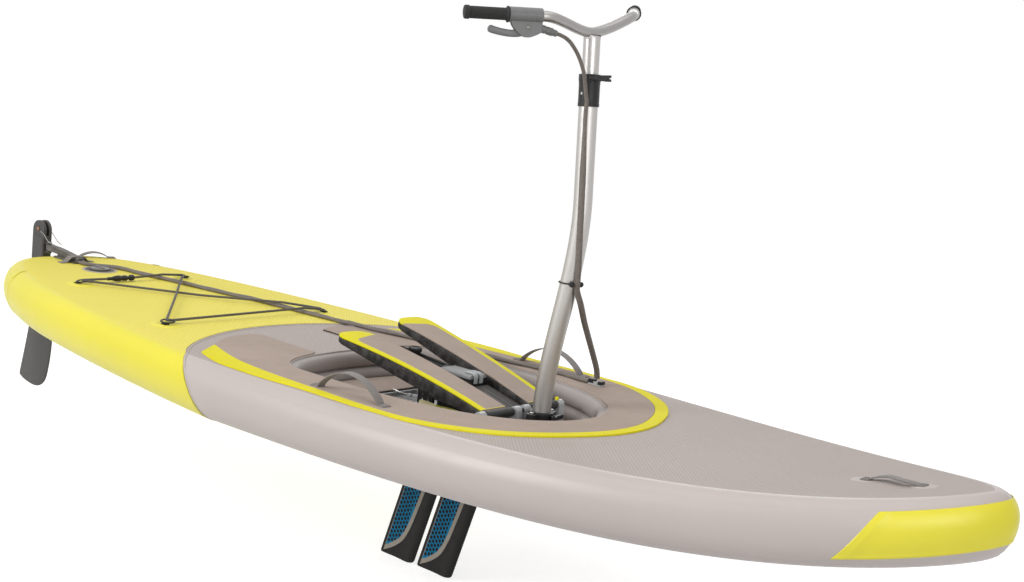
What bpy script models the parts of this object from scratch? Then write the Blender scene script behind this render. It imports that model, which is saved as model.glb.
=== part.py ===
"""Pedal paddle board: an inflatable board with a foot well, a pedal drive with two
swinging fins, a telescoping steering post and a cable steered rudder.

Metres. +X is the bow, +Y is port, +Z is up. The origin is on the flat of the hull
bottom, amidships, on the centreline.
"""

import bmesh
import bpy
from math import asin, atan2, cos, degrees, hypot, pi, radians, sin, sqrt
from mathutils import Matrix, Vector

# Clearances
GAP = 0.0003
SHAFT_CLEARANCE = 0.0003

# How far a cutter runs past what it cuts
OVERRUN = 0.01

# Board
BOARD_LENGTH = 3.35
BOARD_WIDTH = 0.99
BOARD_THICKNESS = 0.141
RAIL_REACH = 0.052
WIDEST_X = -0.331
BOW_FULLNESS = 2.931
BOW_ROUNDNESS = 1.639
STERN_FULLNESS = 1.143
STERN_ROUNDNESS = 3.005
NOSE_RISE = 0.105
TAIL_RISE = 0.035
NOSE_RISE_POWER = 3.95
TAIL_RISE_POWER = 1.1
FLAT_FRONT_X = 0.05
FLAT_AFT_X = -0.20
SKIN_THICKNESS = 0.0012
SKIN_MARGIN = 0.006
TAIL_EDGE_X = -0.350
TAIL_EDGE_ARC = 0.20
TAIL_EDGE_SLANT = 0.135
TAIL_EDGE_FADE = 0.8
NOSE_PANEL_LENGTH = 0.22

# Foot well
WELL_FRONT_X = 0.62
WELL_AFT_X = -0.22
WELL_WIDEST_X = -0.03
WELL_HALF_WIDTH = 0.288
WELL_FLOOR_Z = 0.050
LINER_BULGE = 0.032
LINER_TOP_DROP = 0.010
SLOT_AFT_X = 0.062
SLOT_FRONT_X = 0.365
SLOT_HALF_WIDTH = 0.034
FOAM_STEP_X = -0.048
FOAM_HEIGHT = 0.018

# Traction pad
PAD_THICKNESS = 0.004
PAD_RIM_MARGIN = 0.004
BORDER_LEAST = 0.020
WELL_RIM_MARGIN = 0.004

# Webbing handles
WEBBING_WIDTH = 0.025
WEBBING_THICKNESS = 0.0025
SIDE_HANDLE_SPAN = 0.205
SIDE_HANDLE_MID_X = 0.195
SIDE_HANDLE_INSET = 0.062
SIDE_HANDLE_HEIGHT = 0.052
BOW_HANDLE_SPAN = 0.112
BOW_HANDLE_SETBACK = 0.262
BOW_HANDLE_HEIGHT = 0.030
STERN_HANDLE_SPAN = 0.092
STERN_HANDLE_SETBACK = 0.093
STERN_HANDLE_Y = 0.112
STERN_HANDLE_TURN = 70.0
STERN_HANDLE_HEIGHT = 0.028
HANDLE_FOOT = 0.024

# Bungee and its anchors
ANCHOR_AFT_SETBACK = 0.477
ANCHOR_AFT_Y = 0.187
ANCHOR_FORE_X = -0.643
ANCHOR_FORE_Y = 0.281
ANCHOR_PATCH_RADIUS = 0.046
ANCHOR_PATCH_THICKNESS = 0.0015
ANCHOR_PATCH_EDGE = 0.006
RING_RADIUS = 0.0090
RING_WIRE = 0.0019
BUNGEE_DIAMETER = 0.005
BUNGEE_TURN = 0.012
BUNGEE_SPAN = 0.14
CROSSING_CLEARANCE = 0.0016
HOOK_SETBACK = 0.095
HOOK_LENGTH = 0.088
HOOK_RADIUS = 0.0068
HOOK_TAPER = 0.006
HOOK_SHOULDER = 0.024

# Inflation valve
VALVE_SETBACK = 0.292
VALVE_FLANGE_RADIUS = 0.046
VALVE_FLANGE_THICKNESS = 0.0025
VALVE_CAP_RADIUS = 0.031
VALVE_CAP_HEIGHT = 0.006
VALVE_STUD_RADIUS = 0.016

# Pedals
PEDAL_PIVOT_X = 0.412
PEDAL_PIVOT_Z = 0.118
PEDAL_REST_ROCK = 1.45
PEDAL_FRONT_X = 0.400
PEDAL_LENGTH = 0.505
PEDAL_FRONT_Z = 0.131
PEDAL_RISE = 0.283
PEDAL_SAG = 0.145
PEDAL_AFT_INNER = 0.046
PEDAL_AFT_OUTER = 0.164
PEDAL_FRONT_INNER = 0.043
PEDAL_FRONT_OUTER = 0.134
PEDAL_CORNER = 0.040
PEDAL_WAIST = 0.006
PEDAL_EDGE = 0.0015
PEDAL_DEPTH_AFT = 0.013
PEDAL_DEPTH_MID = 0.036
PEDAL_DEPTH_FRONT = 0.014
TREAD_THICKNESS = 0.005
TREAD_INSET = 0.0015
HUB_RADIUS = 0.012
HUB_INNER = 0.034
HUB_OUTER = 0.134
HUB_CLEARANCE = 0.003
SHAFT_RADIUS = 0.005
SHAFT_HEAD = 0.0035
SHAFT_HEAD_RIM = 0.003
NECK_INNER = 0.046
NECK_OUTER = 0.130
NECK_LENGTH = 0.030
NECK_LOW = -0.010
NECK_HIGH = 0.0065
BRACKET_THICKNESS = 0.020
BRACKET_RADIUS = 0.0125
BRACKET_FLARE = 0.002
BRACKET_BEAM = 0.008
INNER_BRACKET_Y = 0.018

# Drive
BASE_THICKNESS = 0.012
BASE_AFT_X = 0.056
BASE_FRONT_X = 0.512
BASE_HALF_WIDTH = 0.088
BASE_EAR_HALF_WIDTH = 0.160
BASE_EAR_LENGTH = 0.050
TRAY_LENGTH = 0.098
TRAY_THICKNESS = 0.014
HOUSING_AFT_X = 0.157
HOUSING_FRONT_X = 0.2635
HOUSING_HALF_WIDTH = 0.031
HOUSING_TOP_Z = 0.166
HOUSING_WALL = 0.003
COVER_THICKNESS = 0.010
COVER_RIBS = 7
COVER_RIB_HEIGHT = 0.0025
LOOP_WIDTH = 0.016
LOOP_THICKNESS = 0.004
LOOP_PITCH = 0.020
LOOP_SHIFT = -0.0015
APRON_GAP = 0.0035
APRON_LENGTH = 0.120
APRON_DROP = 0.029
APRON_TOP_Z = 0.150
RAIL_FRAME_LENGTH = 0.190
RAIL_FRAME_HALF_WIDTH = 0.017
RAIL_FRAME_BAR = 0.009
RAIL_FRAME_DEPTH = 0.009
RAIL_FRAME_TILT = 4.6
KNOB_PLACE = 0.122
KNOB_RADIUS = 0.0165
KNOB_HEIGHT = 0.018
SPROCKET_RADIUS = 0.019
SPROCKET_TEETH = 11
SPROCKET_WIDTH = 0.006
SPROCKET_SHAFT_RADIUS = 0.004
SPROCKET_Y = 0.011

# Fins
FIN_AXIS_Z = -0.012
DRUM_RADIUS = 0.018
DRUM_LENGTH = 0.1264
DRUM_SHAFT_RADIUS = 0.004
DRUM_START_X = 0.0816
HANGER_THICKNESS = 0.010
HANGER_HALF_WIDTH = 0.015
KEEL_HALF_WIDTH = 0.022
MAST_RADIUS = 0.0042
MAST_LENGTH = 0.275
MAST_SETBACK = 0.013
MAST_SEAT = 0.011
FIN_CHORD = 0.124
FIN_THICKNESS = 0.017
FIN_TAIL_THICKNESS = 0.0022
FIN_TOP = 0.024
FIN_LENGTH = 0.334
FIN_RAKE = 0.30
FIN_CORNER = 0.012

# Steering post
POST_FOOT_X = 0.478
POST_FOOT_Z = 0.098
POST_BEND_END_X = 0.5357
POST_BEND_END_Z = 0.660
POST_LEAN = 3.69
LOWER_POST_RADIUS = 0.0225
LOWER_POST_WALL = 0.0022
LOWER_POST_TOP = 0.274
UPPER_POST_WALL = 0.0020
UPPER_POST_FOOT = 0.115
BAR_HEIGHT = 0.3888
SOCKET_RADIUS = 0.0315
SOCKET_TOP_Z = 0.132
SOCKET_FLANGE = 0.046
SOCKET_BOLT_RADIUS = 0.0055
BASE_LEVER_REACH = 0.040
BASE_LEVER_LENGTH = 0.042
BASE_LEVER_THICKNESS = 0.008
BASE_LEVER_HEIGHT = 0.011
BASE_LEVER_HUB = 0.0068
BASE_LEVER_REST = 100.0
BASE_PIN_RADIUS = 0.0028
COLLAR_BOTTOM = 0.216
COLLAR_TOP = 0.291
COLLAR_WALL = 0.003
CLAMP_HEIGHT = 0.016
CLAMP_WALL = 0.0065
CAM_PIVOT_REACH = 0.034
CAM_LEVER_LENGTH = 0.044
CAM_LEVER_THICKNESS = 0.008
CAM_PIVOT_ANGLE = -46.0
CAM_PIN_RADIUS = 0.0022
CAM_HUB_RADIUS = 0.0058
CAM_LEVER_REST = 40.0
EAR_THICKNESS = 0.0028
EAR_HALF_WIDTH = 0.006

# Handlebar
BAR_RADIUS = 0.0127
BAR_WALL = 0.0022
BAR_TILT = 5.0
BAR_SWEEP = 35.0
BAR_BEND_Y = 0.1654
BAR_BEND_X = -0.0057
BAR_BEND_Z = 0.0374
BAR_STRAIGHT = 0.085
BAR_CLIMB = 0.06
GRIP_LENGTH = 0.111
GRIP_RADIUS = 0.0155
GRIP_END = 0.005

# Steering lever
HOUSING_SLEEVE_RADIUS = 0.0175
HOUSING_LENGTH = 0.078
LOBE_HALF_THICKNESS = 0.010
LEVER_PIVOT_S = -0.005
LEVER_PIVOT_W = -0.027
LEVER_HALF_THICKNESS = 0.003
LEVER_SLOT_CLEARANCE = 0.0006
LEVER_SCREW_RADIUS = 0.0025
BARREL_RADIUS = 0.0075
BARREL_LENGTH = 0.038

# Steering cable
CABLE_RADIUS = 0.006
CABLE_SIDE = -62.0
SPLIT_Z = 0.905
SPLIT_STAND_OFF = 0.006
TIE_HEIGHT_Z = 0.456
TIE_SIDE = -13.0
TIE_OPENING = 28.0
TIE_BALL_RADIUS = 0.0065
TIE_CORD_RADIUS = 0.0016
CLIP_X = 0.392
CLIP_INSET = 0.050
CLIP_LENGTH = 0.046
CLIP_WIDTH = 0.022
CLIP_HEIGHT = 0.016

# Rudder
RUDDER_PIN_RADIUS = 0.004
RUDDER_BARREL_RADIUS = 0.009
RUDDER_BARREL_HEIGHT = 0.022
BRACKET_REACH = 0.185
BRACKET_FOOT_HALF = 0.026
HEAD_HALF_THICKNESS = 0.015
HEAD_FORE_OFFSET = 0.017
HEAD_WIDTH = 0.056
HEAD_TOP_Z = 0.283
HEAD_BOTTOM_Z = 0.105
HEAD_LUG = 0.006
HEAD_WEB = 0.006
HEAD_SLOT_DEPTH = 0.048
BLADE_HALF_THICKNESS = 0.004
BLADE_SLOT_CLEARANCE = 0.0008
BLADE_PIVOT_RADIUS = 0.020
BLADE_BOLT_RADIUS = 0.003

# Spans of the deck cable
CABLE_SPANS = 62

# Facets round a turned piece, by its size
LARGE_FACETS = 24
MEDIUM_FACETS = 18
SMALL_FACETS = 14
TINY_FACETS = 12

# Faces of the board: spans aft and forward of the skin's edge, and steps round the rail
STERN_SPANS = 15
BOW_SPANS = 22
RAIL_STEPS = 6
DECK_COLUMNS = 6
NOSE_PANEL_STEPS = (1, 4)

# Derived sizes
HALF_LENGTH = BOARD_LENGTH / 2
HALF_WIDTH = BOARD_WIDTH / 2
RAIL_HALF_HEIGHT = BOARD_THICKNESS / 2
STERN_X = -HALF_LENGTH
BOW_X = HALF_LENGTH
PAD_TOP = PAD_THICKNESS + GAP
POST_BEND_START_Z = SOCKET_TOP_Z + 0.003
BASE_BOTTOM_Z = WELL_FLOOR_Z + GAP
BASE_TOP_Z = BASE_BOTTOM_Z + BASE_THICKNESS
UPPER_POST_RADIUS = LOWER_POST_RADIUS - LOWER_POST_WALL - SHAFT_CLEARANCE
RUDDER_PIN_X = STERN_X


def clear_scene():
    """Remove every object that the start file holds."""
    for item in list(bpy.data.objects):
        bpy.data.objects.remove(item, do_unlink=True)


def finish(name, colour, roughness, metallic=0.0):
    """Return a Principled material."""
    material = bpy.data.materials.new(name)
    material.use_nodes = True
    shader = material.node_tree.nodes["Principled BSDF"]
    shader.inputs["Base Color"].default_value = (*colour, 1.0)
    shader.inputs["Roughness"].default_value = roughness
    shader.inputs["Metallic"].default_value = metallic
    material.diffuse_color = (*colour, 1.0)
    return material


def make_finishes():
    """Return the finishes of the board's parts, by name."""
    return {
        "hull_grey": finish("hull_grey", (0.52, 0.48, 0.46), 0.55),
        "skin_yellow": finish("skin_yellow", (0.80, 0.72, 0.05), 0.45),
        "pad_tan": finish("pad_tan", (0.40, 0.34, 0.30), 0.85),
        "pad_yellow": finish("pad_yellow", (0.80, 0.74, 0.02), 0.80),
        "webbing": finish("webbing", (0.10, 0.09, 0.09), 0.80),
        "black_plastic": finish("black_plastic", (0.02, 0.02, 0.02), 0.50),
        "dark_plastic": finish("dark_plastic", (0.10, 0.10, 0.10), 0.45),
        "pale_plastic": finish("pale_plastic", (0.55, 0.55, 0.55), 0.40),
        "alloy": finish("alloy", (0.65, 0.65, 0.65), 0.30, 1.0),
        "steel": finish("steel", (0.55, 0.54, 0.52), 0.25, 1.0),
        "fin_rubber": finish("fin_rubber", (0.03, 0.03, 0.03), 0.55),
        "cable_sleeve": finish("cable_sleeve", (0.12, 0.10, 0.09), 0.75),
        "grip_rubber": finish("grip_rubber", (0.025, 0.025, 0.025), 0.70),
    }


def frame_empty(name, place, turn=(0.0, 0.0, 0.0), parent=None):
    """Return an empty that carries the pieces of one body."""
    empty = bpy.data.objects.new(name, None)
    bpy.context.collection.objects.link(empty)
    empty.empty_display_size = 0.05
    empty.location = place
    empty.rotation_euler = turn
    empty.parent = parent
    return empty


def finish_mesh(mesh, sharp_angle):
    """Shade a mesh smooth up to an angle."""
    mesh.shade_smooth()
    mesh.set_sharp_from_angle(angle=radians(sharp_angle))


def solid(name, verts, faces, material, origin=(0.0, 0.0, 0.0), parent=None, sharp=35.0):
    """Make one closed body whose own origin lies at the given point."""
    mesh = bpy.data.meshes.new(name)
    shift = Vector(origin)
    mesh.from_pydata([Vector(v) - shift for v in verts], [], faces)
    work = bmesh.new()
    work.from_mesh(mesh)
    bmesh.ops.remove_doubles(work, verts=work.verts, dist=1e-6)
    bmesh.ops.dissolve_degenerate(work, edges=work.edges, dist=1e-6)
    bmesh.ops.recalc_face_normals(work, faces=work.faces)
    work.to_mesh(mesh)
    work.free()
    finish_mesh(mesh, sharp)
    made = bpy.data.objects.new(name, mesh)
    bpy.context.collection.objects.link(made)
    if material is not None:
        mesh.materials.append(material)
    made.location = origin
    made.parent = parent
    return made


def helper(made):
    """Turn an object into a hidden cutter or a joined lump."""
    made.hide_render = True
    made.display_type = "WIRE"
    return made


def combine(target, tool, operation):
    """Add a Boolean to the target, with a hidden tool."""
    helper(tool)
    step = target.modifiers.new(tool.name, "BOOLEAN")
    step.operation = operation
    step.solver = "EXACT"
    step.object = tool


def cut(target, *tools):
    """Cut the tools out of the target."""
    for tool in tools:
        combine(target, tool, "DIFFERENCE")


def join(target, *tools):
    """Join the tools to the target."""
    for tool in tools:
        combine(target, tool, "UNION")


def prism(outline, axis, low, high):
    """Return the faces of an outline that is drawn out along x, y or z."""
    def point(a, b, c):
        if axis == "x":
            return (c, a, b)
        if axis == "y":
            return (a, c, b)
        return (a, b, c)

    count = len(outline)
    verts = [point(a, b, low) for a, b in outline] + [point(a, b, high) for a, b in outline]
    faces = [tuple(range(count)), tuple(range(2 * count - 1, count - 1, -1))]
    for i in range(count):
        j = (i + 1) % count
        faces.append((i, j, count + j, count + i))
    return verts, faces


def box(low, high):
    """Return the faces of a block between two corners."""
    outline = [(low[0], low[1]), (high[0], low[1]), (high[0], high[1]), (low[0], high[1])]
    return prism(outline, "z", low[2], high[2])


def arc(centre, radius, start, end, steps):
    """Return points on an arc, with the angles in degrees."""
    points = []
    for i in range(steps + 1):
        angle = radians(start + (end - start) * i / steps)
        points.append((centre[0] + radius * cos(angle), centre[1] + radius * sin(angle)))
    return points


def rounded_box(half_x, half_y, radius, steps=4):
    """Return a rectangle outline with round corners, centred on the origin."""
    points = []
    for quarter, (sx, sy) in enumerate(((1, 1), (-1, 1), (-1, -1), (1, -1))):
        centre = (sx * (half_x - radius), sy * (half_y - radius))
        points += arc(centre, radius, 90 * quarter, 90 * quarter + 90, steps)
    return points


def aligned(direction):
    """Return the rotation that turns +Z to a direction."""
    return Vector((0, 0, 1)).rotation_difference(Vector(direction).normalized()).to_matrix()


def turned(profile, segments, base=(0, 0, 0), direction=(0, 0, 1)):
    """Return the faces of a profile of radius and height turned about a direction."""
    closed = profile[0][0] > 1e-9 or profile[-1][0] > 1e-9
    turn = aligned(direction)
    verts, rows = [], []
    for radius, height in profile:
        if radius < 1e-9:
            rows.append([len(verts)] * segments)
            verts.append(Vector(base) + turn @ Vector((0, 0, height)))
            continue
        row = []
        for k in range(segments):
            angle = 2 * pi * k / segments
            row.append(len(verts))
            ring = Vector((radius * cos(angle), radius * sin(angle), height))
            verts.append(Vector(base) + turn @ ring)
        rows.append(row)
    pairs = list(zip(rows, rows[1:]))
    if closed:
        pairs.append((rows[-1], rows[0]))
    faces = []
    for lower, upper in pairs:
        for k in range(segments):
            n = (k + 1) % segments
            corner = [lower[k], lower[n], upper[n], upper[k]]
            face = tuple(dict.fromkeys(corner))
            if len(face) > 2:
                faces.append(face)
    return verts, faces


def rod(radius, start, end, segments=16, bevel=0.0):
    """Return the faces of a round rod between two points."""
    start, end = Vector(start), Vector(end)
    length = (end - start).length
    if bevel:
        profile = [(0, 0), (radius - bevel, 0), (radius, bevel), (radius, length - bevel),
                   (radius - bevel, length), (0, length)]
    else:
        profile = [(0, 0), (radius, 0), (radius, length), (0, length)]
    return turned(profile, segments, start, end - start)


def sphere(radius, centre, segments=10, rings=6):
    """Return the faces of a ball."""
    profile = []
    for i in range(rings + 1):
        angle = -pi / 2 + pi * i / rings
        profile.append((max(0.0, radius * cos(angle)) if 0 < i < rings else 0.0, radius * sin(angle)))
    return turned(profile, segments, centre)


def carried_frames(path):
    """Return a tangent and two square directions at each point of a path."""
    path = [Vector(p) for p in path]
    tangents = []
    for i in range(len(path)):
        before, after = path[max(i - 1, 0)], path[min(i + 1, len(path) - 1)]
        tangents.append((after - before).normalized())
    side = tangents[0].cross(Vector((0, 0, 1)))
    if side.length < 0.1:
        side = tangents[0].cross(Vector((1, 0, 0)))
    side.normalize()
    frames = []
    for i, tangent in enumerate(tangents):
        if i:
            side = tangents[i - 1].rotation_difference(tangent) @ side
        side = (side - tangent * side.dot(tangent)).normalized()
        frames.append((path[i], tangent, side, tangent.cross(side)))
    return frames


def tube(path, outer, inner=0.0, sides=16):
    """Return the faces of a round tube along a path, hollow if it has an inner radius."""
    frames = carried_frames(path)
    verts, faces = [], []

    def rings(radius):
        rows = []
        for place, _, side, up in frames:
            row = []
            for k in range(sides):
                angle = 2 * pi * k / sides
                row.append(len(verts))
                verts.append(place + side * (radius * cos(angle)) + up * (radius * sin(angle)))
            rows.append(row)
        return rows

    def skin(rows):
        for first, second in zip(rows, rows[1:]):
            for k in range(sides):
                n = (k + 1) % sides
                faces.append((first[k], first[n], second[n], second[k]))

    outside = rings(outer)
    skin(outside)
    if inner:
        inside = rings(inner)
        skin(inside)
        for a, b in ((outside[0], inside[0]), (outside[-1], inside[-1])):
            for k in range(sides):
                n = (k + 1) % sides
                faces.append((a[k], a[n], b[n], b[k]))
    else:
        faces.append(tuple(outside[0]))
        faces.append(tuple(outside[-1]))
    return verts, faces


def smooth_path(points, count):
    """Return evenly spread points on a smooth curve through the given points."""
    points = [Vector(p) for p in points]
    ends = [2 * points[0] - points[1]] + points + [2 * points[-1] - points[-2]]
    dense = []
    for i in range(1, len(ends) - 2):
        p0, p1, p2, p3 = ends[i - 1:i + 3]
        for k in range(24):
            t = k / 24
            dense.append(0.5 * (2 * p1 + (p2 - p0) * t + (2 * p0 - 5 * p1 + 4 * p2 - p3) * t * t
                                + (3 * p1 - p0 - 3 * p2 + p3) * t ** 3))
    dense.append(points[-1])
    lengths = [0.0]
    for a, b in zip(dense, dense[1:]):
        lengths.append(lengths[-1] + (b - a).length)
    spread, at = [], 0
    for k in range(count):
        goal = lengths[-1] * k / (count - 1)
        while at < len(lengths) - 2 and lengths[at + 1] < goal:
            at += 1
        share = (goal - lengths[at]) / max(lengths[at + 1] - lengths[at], 1e-12)
        spread.append(dense[at].lerp(dense[at + 1], min(share, 1.0)))
    return spread


def cord(name, points, radius, material, parent=None):
    """Make a cord as a bevelled curve with filled ends."""
    curve = bpy.data.curves.new(name, "CURVE")
    curve.dimensions = "3D"
    curve.bevel_depth = radius
    curve.bevel_resolution = 2
    curve.use_fill_caps = True
    curve.materials.append(material)
    spline = curve.splines.new("POLY")
    spline.points.add(len(points) - 1)
    for point, place in zip(spline.points, points):
        point.co = (*place, 1.0)
    made = bpy.data.objects.new(name, curve)
    bpy.context.collection.objects.link(made)
    made.parent = parent
    return made


# Board shape


def rocker(x):
    """Height of the hull bottom above its flat."""
    if x > FLAT_FRONT_X:
        return NOSE_RISE * ((x - FLAT_FRONT_X) / (HALF_LENGTH - FLAT_FRONT_X)) ** NOSE_RISE_POWER
    if x < FLAT_AFT_X:
        return TAIL_RISE * ((FLAT_AFT_X - x) / (HALF_LENGTH + FLAT_AFT_X)) ** TAIL_RISE_POWER
    return 0.0


def tail_edge(y):
    """Where the stern's outer skin ends on the deck."""
    share = max(0.0, 1 - (y / (HALF_WIDTH - RAIL_REACH)) ** 2)
    return TAIL_EDGE_X - TAIL_EDGE_ARC * share ** 0.8


def half_width(x):
    """Half width of the board at a station."""
    if x > WIDEST_X:
        share = (x - WIDEST_X) / (HALF_LENGTH - WIDEST_X)
        return HALF_WIDTH * max(0.0, 1 - share ** BOW_FULLNESS) ** (1 / BOW_ROUNDNESS)
    share = (WIDEST_X - x) / (HALF_LENGTH + WIDEST_X)
    return HALF_WIDTH * max(0.0, 1 - share ** STERN_FULLNESS) ** (1 / STERN_ROUNDNESS)


def outline_stations():
    """Half outline from stern to bow, with the inner line where the deck begins."""
    tail_share = (WIDEST_X - TAIL_EDGE_X) / (HALF_LENGTH + WIDEST_X)
    tail_angle = degrees(asin(tail_share ** (STERN_FULLNESS / 2)))
    stern_angles = [tail_angle + (90 - tail_angle) * (i / STERN_SPANS) ** 0.94
                    for i in range(STERN_SPANS, -1, -1)]
    bow_angles = [90 * (i / BOW_SPANS) ** 0.95 for i in range(BOW_SPANS + 1)]
    line = []
    for angle in stern_angles:
        share = sin(radians(angle)) ** (2 / STERN_FULLNESS)
        width = max(0.0, cos(radians(angle))) ** (2 / STERN_ROUNDNESS)
        line.append((WIDEST_X - share * (HALF_LENGTH + WIDEST_X), HALF_WIDTH * width))
    for angle in bow_angles:
        share = sin(radians(angle)) ** (2 / BOW_FULLNESS)
        width = max(0.0, cos(radians(angle))) ** (2 / BOW_ROUNDNESS)
        line.append((WIDEST_X + share * (HALF_LENGTH - WIDEST_X), HALF_WIDTH * width))
    line[0] = (STERN_X, 0.0)
    line[-1] = (BOW_X, 0.0)
    stations = []
    for i, (x, w) in enumerate(line):
        if i == 0:
            normal = (-1.0, 0.0)
        elif i == len(line) - 1:
            normal = (1.0, 0.0)
        else:
            dx, dw = line[i + 1][0] - line[i - 1][0], line[i + 1][1] - line[i - 1][1]
            size = hypot(dx, dw)
            normal = (-dw / size, dx / size)
        inner = (x - RAIL_REACH * normal[0], max(0.0, w - RAIL_REACH * normal[1]))
        stations.append(((x, w), inner))
    return stations


STATIONS = outline_stations()


def nose_station():
    """First station of the nose panel."""
    edge = BOW_X - NOSE_PANEL_LENGTH
    return min(range(len(STATIONS)), key=lambda i: abs(STATIONS[i][0][0] - edge))


def tail_fade(x):
    """How far the board's faces follow the edge of the stern's skin at a place."""
    return max(0.0, 1 - abs(x - STATIONS[STERN_SPANS][1][0]) / TAIL_EDGE_FADE)


def rail_point(station, step, side):
    """A point on the rail, from the deck's edge down to the bottom's edge."""
    (x, w), (inner_x, inner_w) = STATIONS[station]
    angle = pi / 2 - pi * step / RAIL_STEPS
    reach = cos(angle) if 0 < step < RAIL_STEPS else 0.0
    slant = TAIL_EDGE_SLANT * max(0.0, (1 - sin(angle)) / 2) ** 0.62
    px = inner_x + (x - inner_x) * reach + slant * tail_fade(inner_x)
    pw = inner_w + (w - inner_w) * reach
    return (px, side * pw, rocker(px) + RAIL_HALF_HEIGHT * (1 + sin(angle)))


def deck_point(station, column):
    """A point on the deck, in rows that bend with the edge of the stern's skin."""
    inner_x, inner_w = STATIONS[station][1]
    if column in (0, DECK_COLUMNS):
        return rail_point(station, 0, -1 if column == 0 else 1)
    y = inner_w * (2 * column / DECK_COLUMNS - 1)
    x = inner_x + tail_fade(inner_x) * (tail_edge(y) - TAIL_EDGE_X)
    return (x, y, rocker(x) + BOARD_THICKNESS)


def deck_triangles():
    """The deck's faces, each quad split in two."""
    triangles = []
    for station in range(len(STATIONS) - 1):
        for column in range(DECK_COLUMNS):
            a, b = deck_point(station, column), deck_point(station + 1, column)
            c, d = deck_point(station + 1, column + 1), deck_point(station, column + 1)
            triangles += [(a, b, c), (a, c, d)]
    return triangles


DECK_TRIANGLES = deck_triangles()


def deck_height(x, y):
    """Height of the hull's deck at a place, on its faces."""
    for (ax, ay, az), (bx, by, bz), (cx, cy, cz) in DECK_TRIANGLES:
        if not min(ax, bx, cx) <= x <= max(ax, bx, cx):
            continue
        area = (bx - ax) * (cy - ay) - (cx - ax) * (by - ay)
        if abs(area) < 1e-12:
            continue
        u = ((x - ax) * (cy - ay) - (cx - ax) * (y - ay)) / area
        v = ((bx - ax) * (y - ay) - (x - ax) * (by - ay)) / area
        if min(u, v, 1 - u - v) >= -1e-9:
            return az + (bz - az) * u + (cz - az) * v
    return BOARD_THICKNESS + rocker(x)


def deck_z(x, y=0.0):
    """Height of the deck, on the stern's skin where it lies over the hull."""
    height = deck_height(x, y)
    if x < tail_edge(y) + SKIN_MARGIN:
        height += SKIN_THICKNESS + GAP
    return height


def deck_normal(x, y=0.0):
    """Direction square to the deck."""
    reach = 0.02
    slope = (deck_z(x + reach, y) - deck_z(x - reach, y)) / (2 * reach)
    return Vector((-slope, 0.0, 1.0)).normalized()


def bottom_point(station, side):
    """A point on the edge of the flat bottom."""
    return rail_point(station, RAIL_STEPS, side)


def shell_faces(first, last, steps=(0, RAIL_STEPS), with_deck=True):
    """Faces of the board's outer surface between two stations."""
    faces = []
    for i in range(first, last):
        for side in (-1, 1):
            for step in range(*steps):
                faces.append([rail_point(i, step, side), rail_point(i + 1, step, side),
                              rail_point(i + 1, step + 1, side), rail_point(i, step + 1, side)])
        if with_deck:
            faces += [list(t) for t in DECK_TRIANGLES[2 * DECK_COLUMNS * i:2 * DECK_COLUMNS * (i + 1)]]
            faces.append([bottom_point(i, -1), bottom_point(i + 1, -1),
                          bottom_point(i + 1, 1), bottom_point(i, 1)])
    return faces


def loose_faces(polygons):
    """Return vertices and faces for a list of polygons."""
    verts, faces = [], []
    for polygon in polygons:
        faces.append(tuple(range(len(verts), len(verts) + len(polygon))))
        verts += polygon
    return verts, faces


def moved_right(points, distance, closed=True):
    """A plan line moved to its right by a distance."""
    moved = []
    for i, (x, y) in enumerate(points):
        if closed:
            before, after = points[i - 1], points[(i + 1) % len(points)]
        else:
            before, after = points[max(i - 1, 0)], points[min(i + 1, len(points) - 1)]
        dx, dy = after[0] - before[0], after[1] - before[1]
        size = hypot(dx, dy)
        moved.append((x + distance * dy / size, y - distance * dx / size))
    return moved


def well_outline(inset=0.0, steps=16):
    """Outline of the foot well, clockwise from its aft point, moved in by an inset."""
    half = []
    for i in range(steps + 1):
        angle = radians(90 * i / steps)
        share, width = sin(angle) ** (2 / 3.2), cos(angle)
        half.append((WELL_WIDEST_X + share * (WELL_FRONT_X - WELL_WIDEST_X), WELL_HALF_WIDTH * width))
    aft = []
    for i in range(1, steps // 2 + 1):
        angle = radians(90 * i / (steps // 2))
        share, width = sin(angle) ** (2 / 3.5), cos(angle)
        aft.append((WELL_WIDEST_X - share * (WELL_WIDEST_X - WELL_AFT_X), WELL_HALF_WIDTH * width))
    line = aft[::-1] + half
    line[0] = (WELL_AFT_X, 0.0)
    line[-1] = (WELL_FRONT_X, 0.0)
    ring = line + [(x, -w) for x, w in line[-2:0:-1]]
    return moved_right(ring, inset)


def make_hull(finishes):
    """The inflated hull, with the foot well and the slot for the fins."""
    verts, faces = loose_faces(shell_faces(0, len(STATIONS) - 1))
    hull = solid("hull", verts, faces, finishes["hull_grey"], sharp=40)
    deck_over = BOARD_THICKNESS * 2
    well = solid("cutter_well", *prism(well_outline(), "z", WELL_FLOOR_Z, deck_over), None)
    slot = [(x + (SLOT_AFT_X + SLOT_FRONT_X) / 2, y) for x, y in
            rounded_box((SLOT_FRONT_X - SLOT_AFT_X) / 2, SLOT_HALF_WIDTH, 0.012)]
    opening = solid("cutter_slot", *prism(slot, "z", -0.05, WELL_FLOOR_Z + 0.02), None)
    cut(hull, well, opening)
    return hull


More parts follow.
